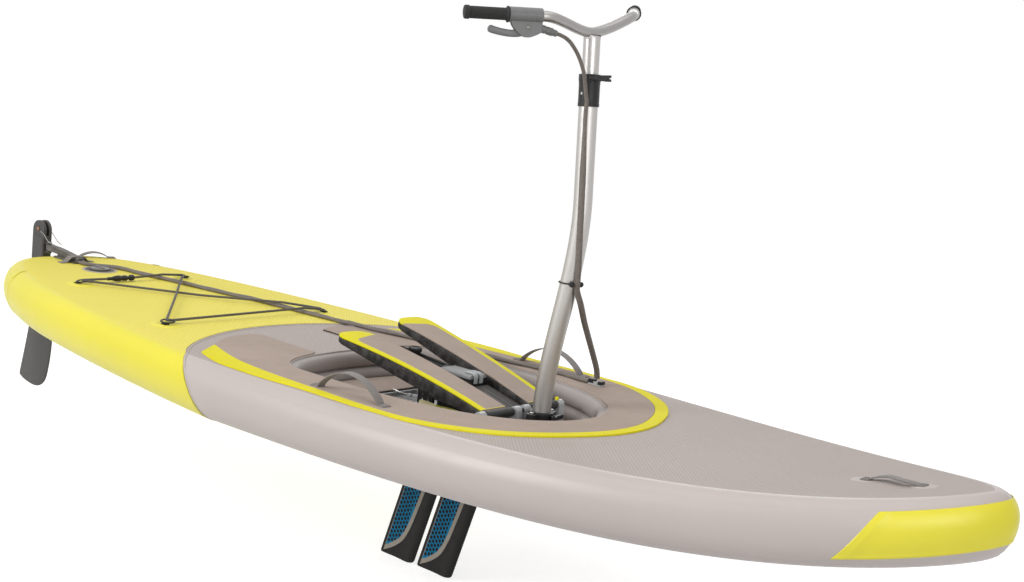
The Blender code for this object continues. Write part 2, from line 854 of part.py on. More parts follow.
def make_skin(name, polygons, material):
    """A thin skin laid over faces of the board."""
    verts, faces = loose_faces(polygons)
    skin = solid(name, verts, faces, material, sharp=40)
    work = bmesh.new()
    work.from_mesh(skin.data)
    work.normal_update()
    middle = Vector((0.0, 0.0, RAIL_HALF_HEIGHT))
    outward = sum((f.normal.dot(f.calc_center_median() - middle) > 0) for f in work.faces)
    if outward < len(work.faces) / 2:
        bmesh.ops.reverse_faces(work, faces=work.faces)
        work.normal_update()
    for vert in work.verts:
        vert.co += vert.normal * GAP * vert.calc_shell_factor()
    work.to_mesh(skin.data)
    work.free()
    wall = skin.modifiers.new("thickness", "SOLIDIFY")
    wall.thickness = SKIN_THICKNESS
    wall.offset = 1.0
    wall.use_even_offset = True
    return skin


def make_skins(finishes):
    """The stern's yellow skin and the yellow rail panel of the nose."""
    yellow = finishes["skin_yellow"]
    make_skin("tail_skin", shell_faces(0, STERN_SPANS), yellow)
    nose = shell_faces(nose_station(), len(STATIONS) - 1, NOSE_PANEL_STEPS, with_deck=False)
    make_skin("nose_panel", nose, yellow)


def make_well_parts(finishes):
    """The inflated lining of the well and the foam step on its aft floor."""
    outer = well_outline(GAP)
    top = BOARD_THICKNESS - LINER_TOP_DROP
    low = WELL_FLOOR_Z + GAP
    middle, reach = (top + low) / 2, (top - low) / 2
    steps = 5
    rows = []
    for i, (x, y) in enumerate(outer):
        before, after = outer[i - 1], outer[(i + 1) % len(outer)]
        dx, dy = after[0] - before[0], after[1] - before[1]
        size = hypot(dx, dy)
        inward = (dy / size, -dx / size)
        row = []
        for k in range(steps + 1):
            angle = pi * (k / steps - 0.5)
            bulge = LINER_BULGE * max(0.0, cos(angle)) ** 0.7 if 0 < k < steps else 0.0
            row.append((x + inward[0] * bulge, y + inward[1] * bulge, middle + reach * sin(angle)))
        rows.append(row)
    polygons = []
    for i, row in enumerate(rows):
        following = rows[(i + 1) % len(rows)]
        for k in range(steps):
            polygons.append([row[k], following[k], following[k + 1], row[k + 1]])
        polygons.append([row[0], following[0], following[-1], row[-1]])
    verts, faces = loose_faces(polygons)
    solid("well_liner", verts, faces, finishes["hull_grey"], sharp=50)

    inner = well_outline(LINER_BULGE + 0.004)
    aft = [(x, y) for x, y in inner if x < FOAM_STEP_X - 0.002]
    ordered = sorted(aft, key=lambda p: atan2(p[1], p[0] - FOAM_STEP_X) % (2 * pi))
    edge = max(abs(y) for _, y in aft)
    step = ordered + [(FOAM_STEP_X, -edge), (FOAM_STEP_X, edge)]
    solid("well_foam", *prism(step, "z", WELL_FLOOR_Z + GAP, WELL_FLOOR_Z + FOAM_HEIGHT),
          finishes["pad_tan"])


def deck_limit(x):
    """Half width of the flat deck, less the pad's margin."""
    return half_width(x) - RAIL_REACH - PAD_RIM_MARGIN


# Half outline of the pad's border, from its aft corner round to the bow end. The
# measured points are held inside the flat of the deck.
BORDER_OUTER = [(-0.335, 0.402), (-0.230, 0.432), (-0.075, 0.438), (0.060, 0.430), (0.160, 0.429),
                (0.262, 0.433), (0.340, 0.433), (0.420, 0.425), (0.500, 0.398), (0.570, 0.358),
                (0.635, 0.305), (0.690, 0.232), (0.732, 0.148), (0.757, 0.072), (0.765, 0.0)]
BORDER_INNER = [(-0.389, 0.318), (-0.249, 0.364), (-0.100, 0.388), (0.050, 0.397), (0.155, 0.402),
                (0.255, 0.407), (0.330, 0.407), (0.405, 0.400), (0.480, 0.375), (0.547, 0.336),
                (0.608, 0.285), (0.661, 0.216), (0.701, 0.138), (0.726, 0.066), (0.733, 0.0)]
LOBE = [(-0.440, 0.112), (-0.460, 0.150), (-0.455, 0.210), (-0.425, 0.270)]


SIDE_HANDLE_Y = deck_limit(SIDE_HANDLE_MID_X) + PAD_RIM_MARGIN - SIDE_HANDLE_INSET
CLIP_Y = SIDE_HANDLE_Y - CLIP_INSET


def held_in(points, least=0.0):
    """Hold outline points inside the flat of the deck, by a least distance."""
    return [(x, min(y, deck_limit(x) - least)) for x, y in points]


def spread_2d(points, count):
    """Evenly spread points on a smooth plan curve."""
    return [(p.x, p.y) for p in smooth_path([(x, y, 0.0) for x, y in points], count)]


def both_sides(half):
    """Mirror a half line that ends on the centreline, port end first."""
    return half + [(x, -y) for x, y in half[-2::-1]]


def band_on_deck(name, outer, inner, thickness, material, rows=2):
    """A thin open band between two plan lines, lying on the deck."""
    lines = []
    for k in range(rows + 1):
        share = k / rows
        lines.append([(a[0] + (b[0] - a[0]) * share, a[1] + (b[1] - a[1]) * share)
                      for a, b in zip(outer, inner)])
    low = [[(x, y, deck_z(x, y) + GAP) for x, y in line] for line in lines]
    high = [[(x, y, deck_z(x, y) + GAP + thickness) for x, y in line] for line in lines]
    polygons = []
    for k in range(rows):
        for i in range(len(outer) - 1):
            for level in (low, high):
                polygons.append([level[k][i], level[k][i + 1], level[k + 1][i + 1], level[k + 1][i]])
        for i in (0, -1):
            polygons.append([low[k][i], low[k + 1][i], high[k + 1][i], high[k][i]])
    for k in (0, -1):
        for i in range(len(outer) - 1):
            polygons.append([low[k][i], low[k][i + 1], high[k][i + 1], high[k][i]])
    verts, faces = loose_faces(polygons)
    return solid(name, verts, faces, material, sharp=40)


def make_pad(finishes):
    """The traction pad round the well, and its yellow border."""
    border_spans, lobe_spans = 28, 6
    outer_half = spread_2d(held_in(BORDER_OUTER), border_spans + 1)
    inner_half = spread_2d(held_in(BORDER_INNER, BORDER_LEAST), border_spans + 1)
    band_on_deck("pad_border", both_sides(outer_half), both_sides(inner_half), PAD_THICKNESS,
                 finishes["pad_yellow"], rows=1)

    seam = moved_right(inner_half, GAP * 2, closed=False)
    seam[-1] = (seam[-1][0], 0.0)
    lobe = spread_2d(LOBE + [seam[0]], lobe_spans + 1)
    pad_half = lobe[:-1] + seam
    aft_edge = (WELL_AFT_X - WELL_RIM_MARGIN, LOBE[0][1])
    rim = [p for p in well_outline(-WELL_RIM_MARGIN) if p[1] > LOBE[0][1] or (p[1] > -1e-9 and p[0] > 0)]
    rim_half = spread_2d([aft_edge] + sorted(rim), border_spans + lobe_spans + 1)
    band_on_deck("traction_pad", both_sides(pad_half), both_sides(rim_half), PAD_THICKNESS,
                 finishes["pad_tan"], rows=2)


def handle_faces(centre, direction, span, height, base, droop=0.0):
    """Faces of a webbing handle: two flat feet and an arch between them."""
    half = span / 2
    along = Vector((direction[0], direction[1], 0.0))
    across = Vector((-direction[1], direction[0], 0.0))
    across = (across - deck_normal(*centre) * across.dot(deck_normal(*centre))) * (WEBBING_WIDTH / 2)
    line = [(-half - HANDLE_FOOT, 0.0), (-half, 0.0)]
    for i in range(1, 12):
        share = i / 12
        rise = sin(pi * share) ** 0.72
        dip = droop * sin(pi * share) ** 4
        line.append((-half + span * share, height * rise - dip))
    line += [(half, 0.0), (half + HANDLE_FOOT, 0.0)]
    low, high = [], []
    for i, (s, h) in enumerate(line):
        before, after = line[max(i - 1, 0)], line[min(i + 1, len(line) - 1)]
        slope = Vector((after[0] - before[0], after[1] - before[1])).normalized()
        place = Vector((centre[0], centre[1], 0.0)) + along * s
        z = base(place.x, place.y) + h
        flat = i in (0, len(line) - 1)
        lift = Vector((0, 0, 1)) if flat else Vector((0, 0, slope[0])) - along * slope[1]
        low.append(Vector((place.x, place.y, z)))
        high.append(low[-1] + lift * WEBBING_THICKNESS)
    polygons = []
    for i in range(len(line) - 1):
        for level in (low, high):
            polygons.append([level[i] - across, level[i + 1] - across,
                             level[i + 1] + across, level[i] + across])
        for sign in (-1, 1):
            polygons.append([low[i] + across * sign, low[i + 1] + across * sign,
                             high[i + 1] + across * sign, high[i] + across * sign])
    for i in (0, -1):
        polygons.append([low[i] - across, low[i] + across, high[i] + across, high[i] - across])
    return loose_faces(polygons)


def on_pad(x, y):
    """Height on which a piece lies on the pad."""
    return deck_z(x, y) + PAD_TOP + GAP


def on_deck(x, y):
    """Height on which a piece lies on the deck."""
    return deck_z(x, y) + GAP


def make_handles(finishes):
    """The four webbing handles."""
    strap = finishes["webbing"]
    for name, side in (("starboard_handle", -1), ("port_handle", 1)):
        faces = handle_faces((SIDE_HANDLE_MID_X, side * SIDE_HANDLE_Y), (1, 0), SIDE_HANDLE_SPAN,
                             SIDE_HANDLE_HEIGHT, on_pad)
        solid(name, *faces, strap, sharp=50)
    bow = handle_faces((BOW_X - BOW_HANDLE_SETBACK, 0), (1, 0), BOW_HANDLE_SPAN, BOW_HANDLE_HEIGHT,
                       on_deck, droop=0.010)
    solid("bow_handle", *bow, strap, sharp=50)
    stern = handle_faces((STERN_X + STERN_HANDLE_SETBACK, STERN_HANDLE_Y),
                         plan_direction(STERN_HANDLE_TURN), STERN_HANDLE_SPAN, STERN_HANDLE_HEIGHT, on_deck)
    solid("stern_handle", *stern, strap, sharp=50)


def cable_bed(x, y):
    """Height of what the deck cable lies on, eased over the edges of the pad and the skin."""
    ease = 0.022
    heights = []
    for near_x in (x - ease, x, x + ease):
        on_the_pad = near_x > LOBE[1][0] and pad_holds(near_x, y)
        heights.append(on_pad(near_x, y) if on_the_pad else on_deck(near_x, y))
    return max(heights)


def pad_holds(x, y):
    """Whether the pad or its border lies under a place beside the well."""
    return x > BORDER_INNER[0][0] or y < LOBE[-1][1]


# Places of the deck cable beside the port handle: the station, and how far inboard of the handle
BESIDE_HANDLE = [(0.325, 0.046), (0.262, 0.040), (0.164, 0.051), (0.089, 0.065), (-0.050, 0.067)]


def deck_cable_line():
    """The steering cable's run over the deck, from the clip to the rudder bracket."""
    stern_end = STERN_X + BRACKET_REACH + 2 * GAP
    clip_end = CLIP_X - CLIP_LENGTH / 2 - 2 * GAP
    plan = [(clip_end, CLIP_Y), (clip_end - 0.020, CLIP_Y)]
    plan += [(x, SIDE_HANDLE_Y - inset) for x, inset in BESIDE_HANDLE]
    plan += [(-0.200, 0.292), (-0.377, 0.250), (-0.505, 0.237), (-0.658, 0.217), (-0.830, 0.192),
             (-0.955, 0.160), (-1.137, 0.124), (-1.268, 0.090), (-1.350, 0.078)]
    plan += [(stern_end + 0.090, 0.058), (stern_end + 0.062, 0.030), (stern_end + 0.036, 0.004),
             (stern_end + 0.018, 0.0), (stern_end, 0.0)]
    laid = []
    for point in smooth_path([(x, y, 0.0) for x, y in plan], CABLE_SPANS + 1):
        laid.append(Vector((point.x, point.y, cable_bed(point.x, point.y) + CABLE_RADIUS + GAP)))
    return laid


ANCHOR_NAMES = ("aft_starboard_anchor", "fore_port_anchor", "fore_starboard_anchor", "aft_port_anchor")


def anchor_places():
    """Deck places of the bungee anchors, in the order that the cord runs."""
    aft_x = STERN_X + ANCHOR_AFT_SETBACK
    return [(aft_x, -ANCHOR_AFT_Y), (ANCHOR_FORE_X, ANCHOR_FORE_Y),
            (ANCHOR_FORE_X, -ANCHOR_FORE_Y), (aft_x, ANCHOR_AFT_Y)]


def deck_place(x, y, lift):
    """A point above the deck, square to it."""
    return Vector((x, y, deck_z(x, y))) + deck_normal(x, y) * lift


def ring_centre(place):
    """Centre of an anchor's ring."""
    return deck_place(*place, GAP + ANCHOR_PATCH_THICKNESS + RING_RADIUS + RING_WIRE / 2)


def corner_bisector(places, i):
    """Plan direction from an anchor into the middle of the cord's turn."""
    here = Vector(places[i])
    first = (Vector(places[i - 1]) - here).normalized()
    second = (Vector(places[(i + 1) % 4]) - here).normalized()
    return (first + second).normalized()


def make_bungee(finishes):
    """The four anchors, the bungee that is laced through them, and its hook."""
    places = anchor_places()
    for i, place in enumerate(places):
        base = deck_place(*place, GAP)
        rise = ANCHOR_PATCH_THICKNESS
        profile = [(0, 0), (ANCHOR_PATCH_RADIUS, 0), (ANCHOR_PATCH_RADIUS - ANCHOR_PATCH_EDGE, rise),
                   (0, rise)]
        anchor = solid(ANCHOR_NAMES[i], *turned(profile, LARGE_FACETS, base, deck_normal(*place)),
                       finishes["black_plastic"], sharp=50)
        inward = corner_bisector(places, i)
        wire = [(RING_RADIUS + RING_WIRE * cos(2 * pi * k / 6), RING_WIRE * sin(2 * pi * k / 6))
                for k in range(6)]
        ring = turned(wire, SMALL_FACETS, ring_centre(place), (-inward.y, inward.x, 0.0))
        join(anchor, solid("lump_" + ANCHOR_NAMES[i], *ring, None))

    cable = deck_cable_line()
    over_cable = 2 * CABLE_RADIUS + BUNGEE_DIAMETER / 2 + CROSSING_CLEARANCE
    centres = [ring_centre(place) for place in places]
    start, finish_at = centres[0], centres[3]
    across = (finish_at - start).normalized()
    hook_from = start + across * HOOK_SETBACK
    hook_to = hook_from + across * HOOK_LENGTH
    route = [hook_from - across * GAP]
    for i, centre in enumerate(centres):
        inward = corner_bisector(places, i)
        inward = Vector((inward.x, inward.y, 0.0))
        arrive = (centres[i - 1] if i else hook_from) - centre
        leave = (centres[i + 1] if i < 3 else hook_to) - centre
        hub = centre + inward * BUNGEE_TURN
        begin = hub + (arrive.normalized() - inward * arrive.normalized().dot(inward)) * BUNGEE_TURN
        end = hub + (leave.normalized() - inward * leave.normalized().dot(inward)) * BUNGEE_TURN
        for k in range(7):
            swing = begin.lerp(end, k / 6) - hub
            outward = -inward * sqrt(max(0.0, BUNGEE_TURN ** 2 - swing.length ** 2))
            route.append(hub + swing + outward)
        following = centres[i + 1] if i < 3 else hook_to
        stops = [(share, Vector((x, y, on_deck(x, y) + over_cable))) for share, x, y in
                 crossings(centre, following, cable)]
        if i in (0, 2):
            middle = (centre + following) / 2
            middle.z += BUNGEE_DIAMETER * (0.55 if i else -0.55)
            stops.append((0.5, middle))
        route += [place for _, place in sorted(stops, key=lambda stop: stop[0])]
    route.append(hook_to + across * GAP)
    cord("bungee_cord", divided(route, BUNGEE_SPAN), BUNGEE_DIAMETER / 2, finishes["webbing"])

    small, big = HOOK_RADIUS * 0.62, HOOK_RADIUS
    profile = [(0, 0), (small, 0), (big, HOOK_TAPER), (big, HOOK_SHOULDER),
               (small, HOOK_SHOULDER + HOOK_TAPER),
               (small, HOOK_LENGTH - HOOK_SHOULDER - HOOK_TAPER), (big, HOOK_LENGTH - HOOK_SHOULDER),
               (big, HOOK_LENGTH - HOOK_TAPER), (small, HOOK_LENGTH), (0, HOOK_LENGTH)]
    solid("bungee_hook", *turned(profile, TINY_FACETS, hook_from, across), finishes["black_plastic"])


def crossings(start, end, line):
    """Where a straight run crosses a line in plan: the share of the run, and the place."""
    found = []
    run = (end.x - start.x, end.y - start.y)
    for a, b in zip(line, line[1:]):
        step = (b.x - a.x, b.y - a.y)
        area = run[0] * step[1] - run[1] * step[0]
        if abs(area) < 1e-12:
            continue
        share = ((a.x - start.x) * step[1] - (a.y - start.y) * step[0]) / area
        along = ((a.x - start.x) * run[1] - (a.y - start.y) * run[0]) / area
        if 0 < share < 1 and 0 <= along < 1:
            found.append((share, start.x + run[0] * share, start.y + run[1] * share))
    return found


def divided(route, longest):
    """Divide the long runs of a route so that no run is longer than the given length."""
    points = [Vector(route[0])]
    for a, b in zip(route, route[1:]):
        a, b = Vector(a), Vector(b)
        if (b - a).length < 1e-5:
            continue
        parts = max(1, round((b - a).length / longest + 0.5))
        points += [a.lerp(b, k / parts) for k in range(1, parts + 1)]
    return points


def make_valve(finishes):
    """The inflation valve's seat and its bayonet cap, on the tail deck."""
    x = STERN_X + VALVE_SETBACK
    base = deck_place(x, 0.0, GAP)
    up = deck_normal(x)
    flange = VALVE_FLANGE_THICKNESS
    stud_top = flange + 0.004
    seat = [(0, 0), (VALVE_FLANGE_RADIUS, 0), (VALVE_FLANGE_RADIUS, flange * 0.5),
            (VALVE_FLANGE_RADIUS - 0.004, flange), (VALVE_STUD_RADIUS, flange),
            (VALVE_STUD_RADIUS, stud_top), (0, stud_top)]
    solid("valve_seat", *turned(seat, LARGE_FACETS, base, up), finishes["pale_plastic"])
    low, high = flange + GAP, flange + VALVE_CAP_HEIGHT
    cap = [(0, stud_top + GAP), (VALVE_STUD_RADIUS + GAP, stud_top + GAP),
           (VALVE_STUD_RADIUS + GAP, low), (VALVE_CAP_RADIUS, low),
           (VALVE_CAP_RADIUS, high - 0.002), (VALVE_CAP_RADIUS - 0.002, high), (0, high)]
    carrier = frame_empty("valve_axis", base, aligned(up).to_euler())
    made = solid("valve_cap", *turned(cap, LARGE_FACETS), finishes["dark_plastic"], parent=carrier)
    thumb = rounded_box(VALVE_CAP_RADIUS * 0.8, 0.004, 0.0035, 3)
    join(made, solid("lump_valve_ridge", *prism(thumb, "z", high - 0.0015, high + 0.004), None,
                     parent=carrier))


# Pedals


def pedal_top(x):
    """Height of a pedal's tread along the pedal, before it is rocked."""
    s = PEDAL_FRONT_X - x
    return PEDAL_FRONT_Z + PEDAL_RISE * s - PEDAL_SAG * s * s


def pedal_depth(s):
    """Depth of a pedal's side wall under its tread."""
    share = s / PEDAL_LENGTH
    ends = PEDAL_DEPTH_FRONT + (PEDAL_DEPTH_AFT - PEDAL_DEPTH_FRONT) * share
    swell = PEDAL_DEPTH_MID - (PEDAL_DEPTH_FRONT + PEDAL_DEPTH_AFT) / 2
    return ends + swell * sin(pi * min(1.0, share ** 0.8))


def pedal_edges(s, inset):
    """Inner and outer edge of a pedal, with its corners rounded at both ends."""
    share = s / PEDAL_LENGTH
    inner = PEDAL_FRONT_INNER + (PEDAL_AFT_INNER - PEDAL_FRONT_INNER) * share
    outer = PEDAL_FRONT_OUTER + (PEDAL_AFT_OUTER - PEDAL_FRONT_OUTER) * share
    outer -= PEDAL_WAIST * sin(pi * share)
    nearest_end = PEDAL_LENGTH - s
    if nearest_end < PEDAL_CORNER:
        tuck = PEDAL_CORNER - sqrt(PEDAL_CORNER ** 2 - (PEDAL_CORNER - nearest_end) ** 2)
        inner, outer = inner + tuck, outer - tuck
    return inner + inset, outer - inset


def pedal_loft(side, top_drop, bottom, inset):
    """Faces of a pedal layer lofted along its length."""
    spots = [0.0, 0.05, 0.11, 0.18, 0.25, 0.32, 0.39, 0.45]
    spots += [PEDAL_LENGTH - PEDAL_CORNER * (1 - sin(radians(a))) for a in (0, 30, 60, 90)]
    spots = sorted({min(s, PEDAL_LENGTH) for s in spots})
    rows = []
    for s in spots:
        inner, outer = pedal_edges(s, inset)
        x = PEDAL_FRONT_X - s
        high = pedal_top(x) - top_drop
        low = bottom(s, x)
        edge = PEDAL_EDGE
        rows.append([(x, side * (inner + edge), low), (x, side * inner, low + edge),
                     (x, side * inner, high - edge), (x, side * (inner + edge), high),
                     (x, side * (outer - edge), high), (x, side * outer, high - edge),
                     (x, side * outer, low + edge), (x, side * (outer - edge), low)])
    polygons = [rows[0], rows[-1]]
    for first, second in zip(rows, rows[1:]):
        for k in range(8):
            n = (k + 1) % 8
            polygons.append([first[k], first[n], second[n], second[k]])
    return loose_faces(polygons)


def shifted(part, shift):
    """Return faces moved by a shift."""
    verts, faces = part
    return [Vector(v) + Vector(shift) for v in verts], faces


def make_pedal(name, side, finishes, carrier):
    """One pedal: its arm with the hub, and the foam tread on it."""
    back = (-PEDAL_PIVOT_X, 0.0, -PEDAL_PIVOT_Z)
    under_tread = TREAD_THICKNESS + GAP

    def arm_bottom(s, x):
        return pedal_top(x) - pedal_depth(s) - under_tread

    def tread_bottom(s, x):
        return pedal_top(x) - TREAD_THICKNESS

    body = pedal_loft(side, under_tread, arm_bottom, 0.0)
    arm = solid(name, *shifted(body, back), finishes["black_plastic"], parent=carrier)
    hub = rod(HUB_RADIUS, (0, side * HUB_INNER, 0), (0, side * HUB_OUTER, 0), LARGE_FACETS)
    hub = solid("lump_" + name, *hub, None, parent=carrier)
    neck_ends = sorted((side * NECK_INNER, side * NECK_OUTER))
    neck = solid("neck_" + name, *box((-NECK_LENGTH, neck_ends[0], NECK_LOW),
                                      (0.0, neck_ends[1], NECK_HIGH)), None, parent=carrier)
    bore = rod(SHAFT_RADIUS + SHAFT_CLEARANCE, (0, side * (HUB_INNER - OVERRUN), 0),
               (0, side * (HUB_OUTER + OVERRUN), 0), LARGE_FACETS)
    join(arm, neck, hub)
    cut(arm, solid("bore_" + name, *bore, None, parent=carrier))
    tread = pedal_loft(side, 0.0, tread_bottom, TREAD_INSET)
    solid(name + "_tread", *shifted(tread, back), finishes["pad_tan"], parent=carrier)


def make_pedals(finishes):
    """Both pedals on their shaft, and the brackets that carry the shaft."""
    place = (PEDAL_PIVOT_X, 0.0, PEDAL_PIVOT_Z)
    for name, side, rock in (("starboard_pedal", -1, -PEDAL_REST_ROCK), ("port_pedal", 1, PEDAL_REST_ROCK)):
        carrier = frame_empty(name + "_pivot", place, (0.0, radians(rock), 0.0))
        make_pedal(name, side, finishes, carrier)
    outer_bracket_y = HUB_OUTER + HUB_CLEARANCE + BRACKET_THICKNESS / 2
    end = outer_bracket_y + BRACKET_THICKNESS / 2
    shaft = headed_shaft(place, end + GAP, SHAFT_HEAD)
    solid("pedal_shaft", *shaft, finishes["steel"], origin=place)
    half = BRACKET_RADIUS + BRACKET_FLARE
    low = BASE_TOP_Z + GAP
    beam = box((PEDAL_PIVOT_X - half, -end, low), (PEDAL_PIVOT_X + half, end, low + BRACKET_BEAM))
    bracket = solid("pedal_bracket", *beam, finishes["pale_plastic"])
    for i, y in enumerate((-outer_bracket_y, -INNER_BRACKET_Y, INNER_BRACKET_Y, outer_bracket_y)):
        outline = arc((PEDAL_PIVOT_X, PEDAL_PIVOT_Z), BRACKET_RADIUS, 0, 180, 8)
        outline += [(PEDAL_PIVOT_X - half, low), (PEDAL_PIVOT_X + half, low)]
        cheek = prism(outline, "y", y - BRACKET_THICKNESS / 2, y + BRACKET_THICKNESS / 2)
        join(bracket, solid(f"lump_bracket_{i}", *cheek, None))
    bore = rod(SHAFT_RADIUS + SHAFT_CLEARANCE, (PEDAL_PIVOT_X, -end - OVERRUN, PEDAL_PIVOT_Z),
               (PEDAL_PIVOT_X, end + OVERRUN, PEDAL_PIVOT_Z), 20)
    cut(bracket, solid("bore_pedal_bracket", *bore, None))


def headed_shaft(place, reach, head):
    """A shaft along Y with a button head at each end."""
    radius, button = SHAFT_RADIUS, SHAFT_RADIUS + SHAFT_HEAD_RIM
    profile = [(0, -reach - head), (button, -reach - head), (button, -reach), (radius, -reach),
               (radius, reach), (button, reach), (button, reach + head), (0, reach + head)]
    return turned(profile, 20, place, (0, 1, 0))


# Drive


def hanger_starts():
    """Aft faces of the three hangers that hold the drum shaft."""
    pitch = DRUM_LENGTH + HANGER_THICKNESS + 2 * GAP
    first = DRUM_START_X - GAP - HANGER_THICKNESS
    return [first, first + pitch, first + 2 * pitch]


def make_drive_base(finishes):
    """The plate on the well floor, with the keel and hangers that reach through the slot."""
    ear_x = PEDAL_PIVOT_X
    ear = BASE_EAR_LENGTH / 2
    outline = [(BASE_AFT_X, -BASE_HALF_WIDTH), (ear_x - ear - 0.02, -BASE_HALF_WIDTH),
               (ear_x - ear, -BASE_EAR_HALF_WIDTH), (ear_x + ear, -BASE_EAR_HALF_WIDTH),
               (ear_x + ear + 0.012, -BASE_HALF_WIDTH + 0.02), (BASE_FRONT_X, -0.055)]
    outline += [(x, -y) for x, y in outline[::-1]]
    base = solid("drive_base", *prism(outline, "z", BASE_BOTTOM_Z, BASE_TOP_Z), finishes["dark_plastic"])
    starts = hanger_starts()
    keel_low = FIN_AXIS_Z + DRUM_RADIUS + 0.0015
    tray = rounded_box(TRAY_LENGTH / 2, BASE_HALF_WIDTH + 0.014, 0.010)
    middle = BASE_AFT_X + 0.002 - TRAY_LENGTH / 2
    tray = [(x + middle, y) for x, y in tray]
    join(base, solid("lump_tray", *prism(tray, "z", BASE_BOTTOM_Z, BASE_BOTTOM_Z + TRAY_THICKNESS), None))
    dish = [(x + middle, y) for x, y in rounded_box(TRAY_LENGTH / 2 - 0.008, BASE_HALF_WIDTH + 0.004, 0.006)]
    cut(base, solid("cutter_tray", *prism(dish, "z", BASE_BOTTOM_Z + 0.004, BASE_BOTTOM_Z + 0.03), None))
    keel = solid("lump_keel", *box((starts[0], -KEEL_HALF_WIDTH, keel_low),
                                   (starts[2] + HANGER_THICKNESS, KEEL_HALF_WIDTH, BASE_BOTTOM_Z + 0.004)),
                 None)
    join(base, keel)
    for i, start in enumerate(starts):
        outline = arc((0.0, FIN_AXIS_Z), HANGER_HALF_WIDTH, 180, 360, 8)
        outline += [(HANGER_HALF_WIDTH, keel_low + 0.004), (-HANGER_HALF_WIDTH, keel_low + 0.004)]
        hanger = solid(f"lump_hanger_{i}", *prism(outline, "x", start, start + HANGER_THICKNESS), None)
        join(base, hanger)
    bore = rod(DRUM_SHAFT_RADIUS + SHAFT_CLEARANCE, (starts[0] - 0.01, 0, FIN_AXIS_Z),
               (starts[2] + HANGER_THICKNESS + 0.01, 0, FIN_AXIS_Z), 20)
    cut(base, solid("bore_drum_shaft", *bore, None))
    reach = HANGER_THICKNESS + 0.003
    start, end = starts[0] - 0.001, starts[2] + reach
    profile = [(0, -0.003), (0.0065, -0.003), (0.0065, 0), (DRUM_SHAFT_RADIUS, 0),
               (DRUM_SHAFT_RADIUS, end - start), (0, end - start)]
    solid("drum_shaft", *turned(profile, 20, (start, 0, FIN_AXIS_Z), (1, 0, 0)), finishes["steel"],
          origin=(start, 0, FIN_AXIS_Z))


def mast_top_x(drum_start):
    """Where a mast leaves its drum's axis."""
    return drum_start + DRUM_LENGTH - 0.013


def make_fin(name, drum_start, finishes):
    """One drum with its mast and the flexible fin on it."""
    axis = (drum_start, 0.0, FIN_AXIS_Z)
    drum = [(DRUM_SHAFT_RADIUS + SHAFT_CLEARANCE, 0), (DRUM_RADIUS - 0.001, 0), (DRUM_RADIUS, 0.001),
            (DRUM_RADIUS, DRUM_LENGTH - 0.001), (DRUM_RADIUS - 0.001, DRUM_LENGTH),
            (DRUM_SHAFT_RADIUS + SHAFT_CLEARANCE, DRUM_LENGTH)]
    body = solid(name + "_drum", *turned(drum, MEDIUM_FACETS, axis, (1, 0, 0)), finishes["black_plastic"],
                 origin=axis)
    rake = Vector((-FIN_RAKE, 0.0, -1.0)).normalized()
    root = Vector((mast_top_x(drum_start), 0.0, FIN_AXIS_Z))
    seat_from = root + rake * (DRUM_RADIUS - MAST_SEAT)
    socket = rod(MAST_RADIUS + GAP, seat_from - rake * GAP, root + rake * (DRUM_RADIUS + 0.01), 16)
    cut(body, solid("bore_" + name + "_drum", *shifted(socket, [-c for c in axis]), None))
    bpy.data.objects["bore_" + name + "_drum"].location = axis
    mast_end = seat_from + rake * MAST_LENGTH
    solid(name + "_mast", *rod(MAST_RADIUS, seat_from, mast_end, 14, 0.001), finishes["steel"],
          origin=tuple(root))

    lead = MAST_SETBACK
    rows = []
    heights = [FIN_TOP, FIN_TOP + 0.004, FIN_TOP + 0.012, 0.10, 0.17, 0.24, 0.30]
    heights += [FIN_LENGTH + FIN_TOP - 0.012, FIN_LENGTH + FIN_TOP - 0.0035, FIN_LENGTH + FIN_TOP]
    for depth in heights:
        end = min(depth - FIN_TOP, FIN_LENGTH + FIN_TOP - depth)
        tuck = 0.0
        if end < FIN_CORNER:
            tuck = FIN_CORNER - sqrt(FIN_CORNER ** 2 - (FIN_CORNER - end) ** 2)
        nose_x = root.x - FIN_RAKE * depth + lead - tuck
        tail_x = root.x - FIN_RAKE * depth + lead - FIN_CHORD + tuck
        chord = nose_x - tail_x
        rows.append(fin_section(nose_x, chord, FIN_AXIS_Z - depth, depth / (FIN_LENGTH + FIN_TOP)))
    polygons = [rows[0], rows[-1]]
    size = len(rows[0])
    for first, second in zip(rows, rows[1:]):
        for k in range(size):
            n = (k + 1) % size
            polygons.append([first[k], first[n], second[n], second[k]])
    verts, faces = loose_faces(polygons)
    fin = solid(name + "_fin", verts, faces, finishes["fin_rubber"], origin=tuple(root), sharp=60)
    pocket = rod(MAST_RADIUS + GAP, root, mast_end + rake * GAP, 14)
    cut(fin, solid("bore_" + name + "_fin", *pocket, None))


def fin_section(nose_x, chord, z, share):
    """One level section of a fin, thick at the mast and thin at the tail."""
    thick = FIN_THICKNESS * (1 - 0.18 * share) / 2
    thin = FIN_TAIL_THICKNESS / 2
    line = [(0.0, 0.0), (0.015, 0.45), (0.05, 0.80), (0.11, 1.0), (0.19, 0.93), (0.32, 0.60), (0.55, 0.30)]
    upper = []
    for along, width in line:
        upper.append((nose_x - chord * along, max(thick * width, thin if along > 0.3 else 0.0)))
    upper.append((nose_x - chord, thin))
    points = upper + [(x, -y) for x, y in upper[:0:-1]]
    return [(x, y, z) for x, y in points]


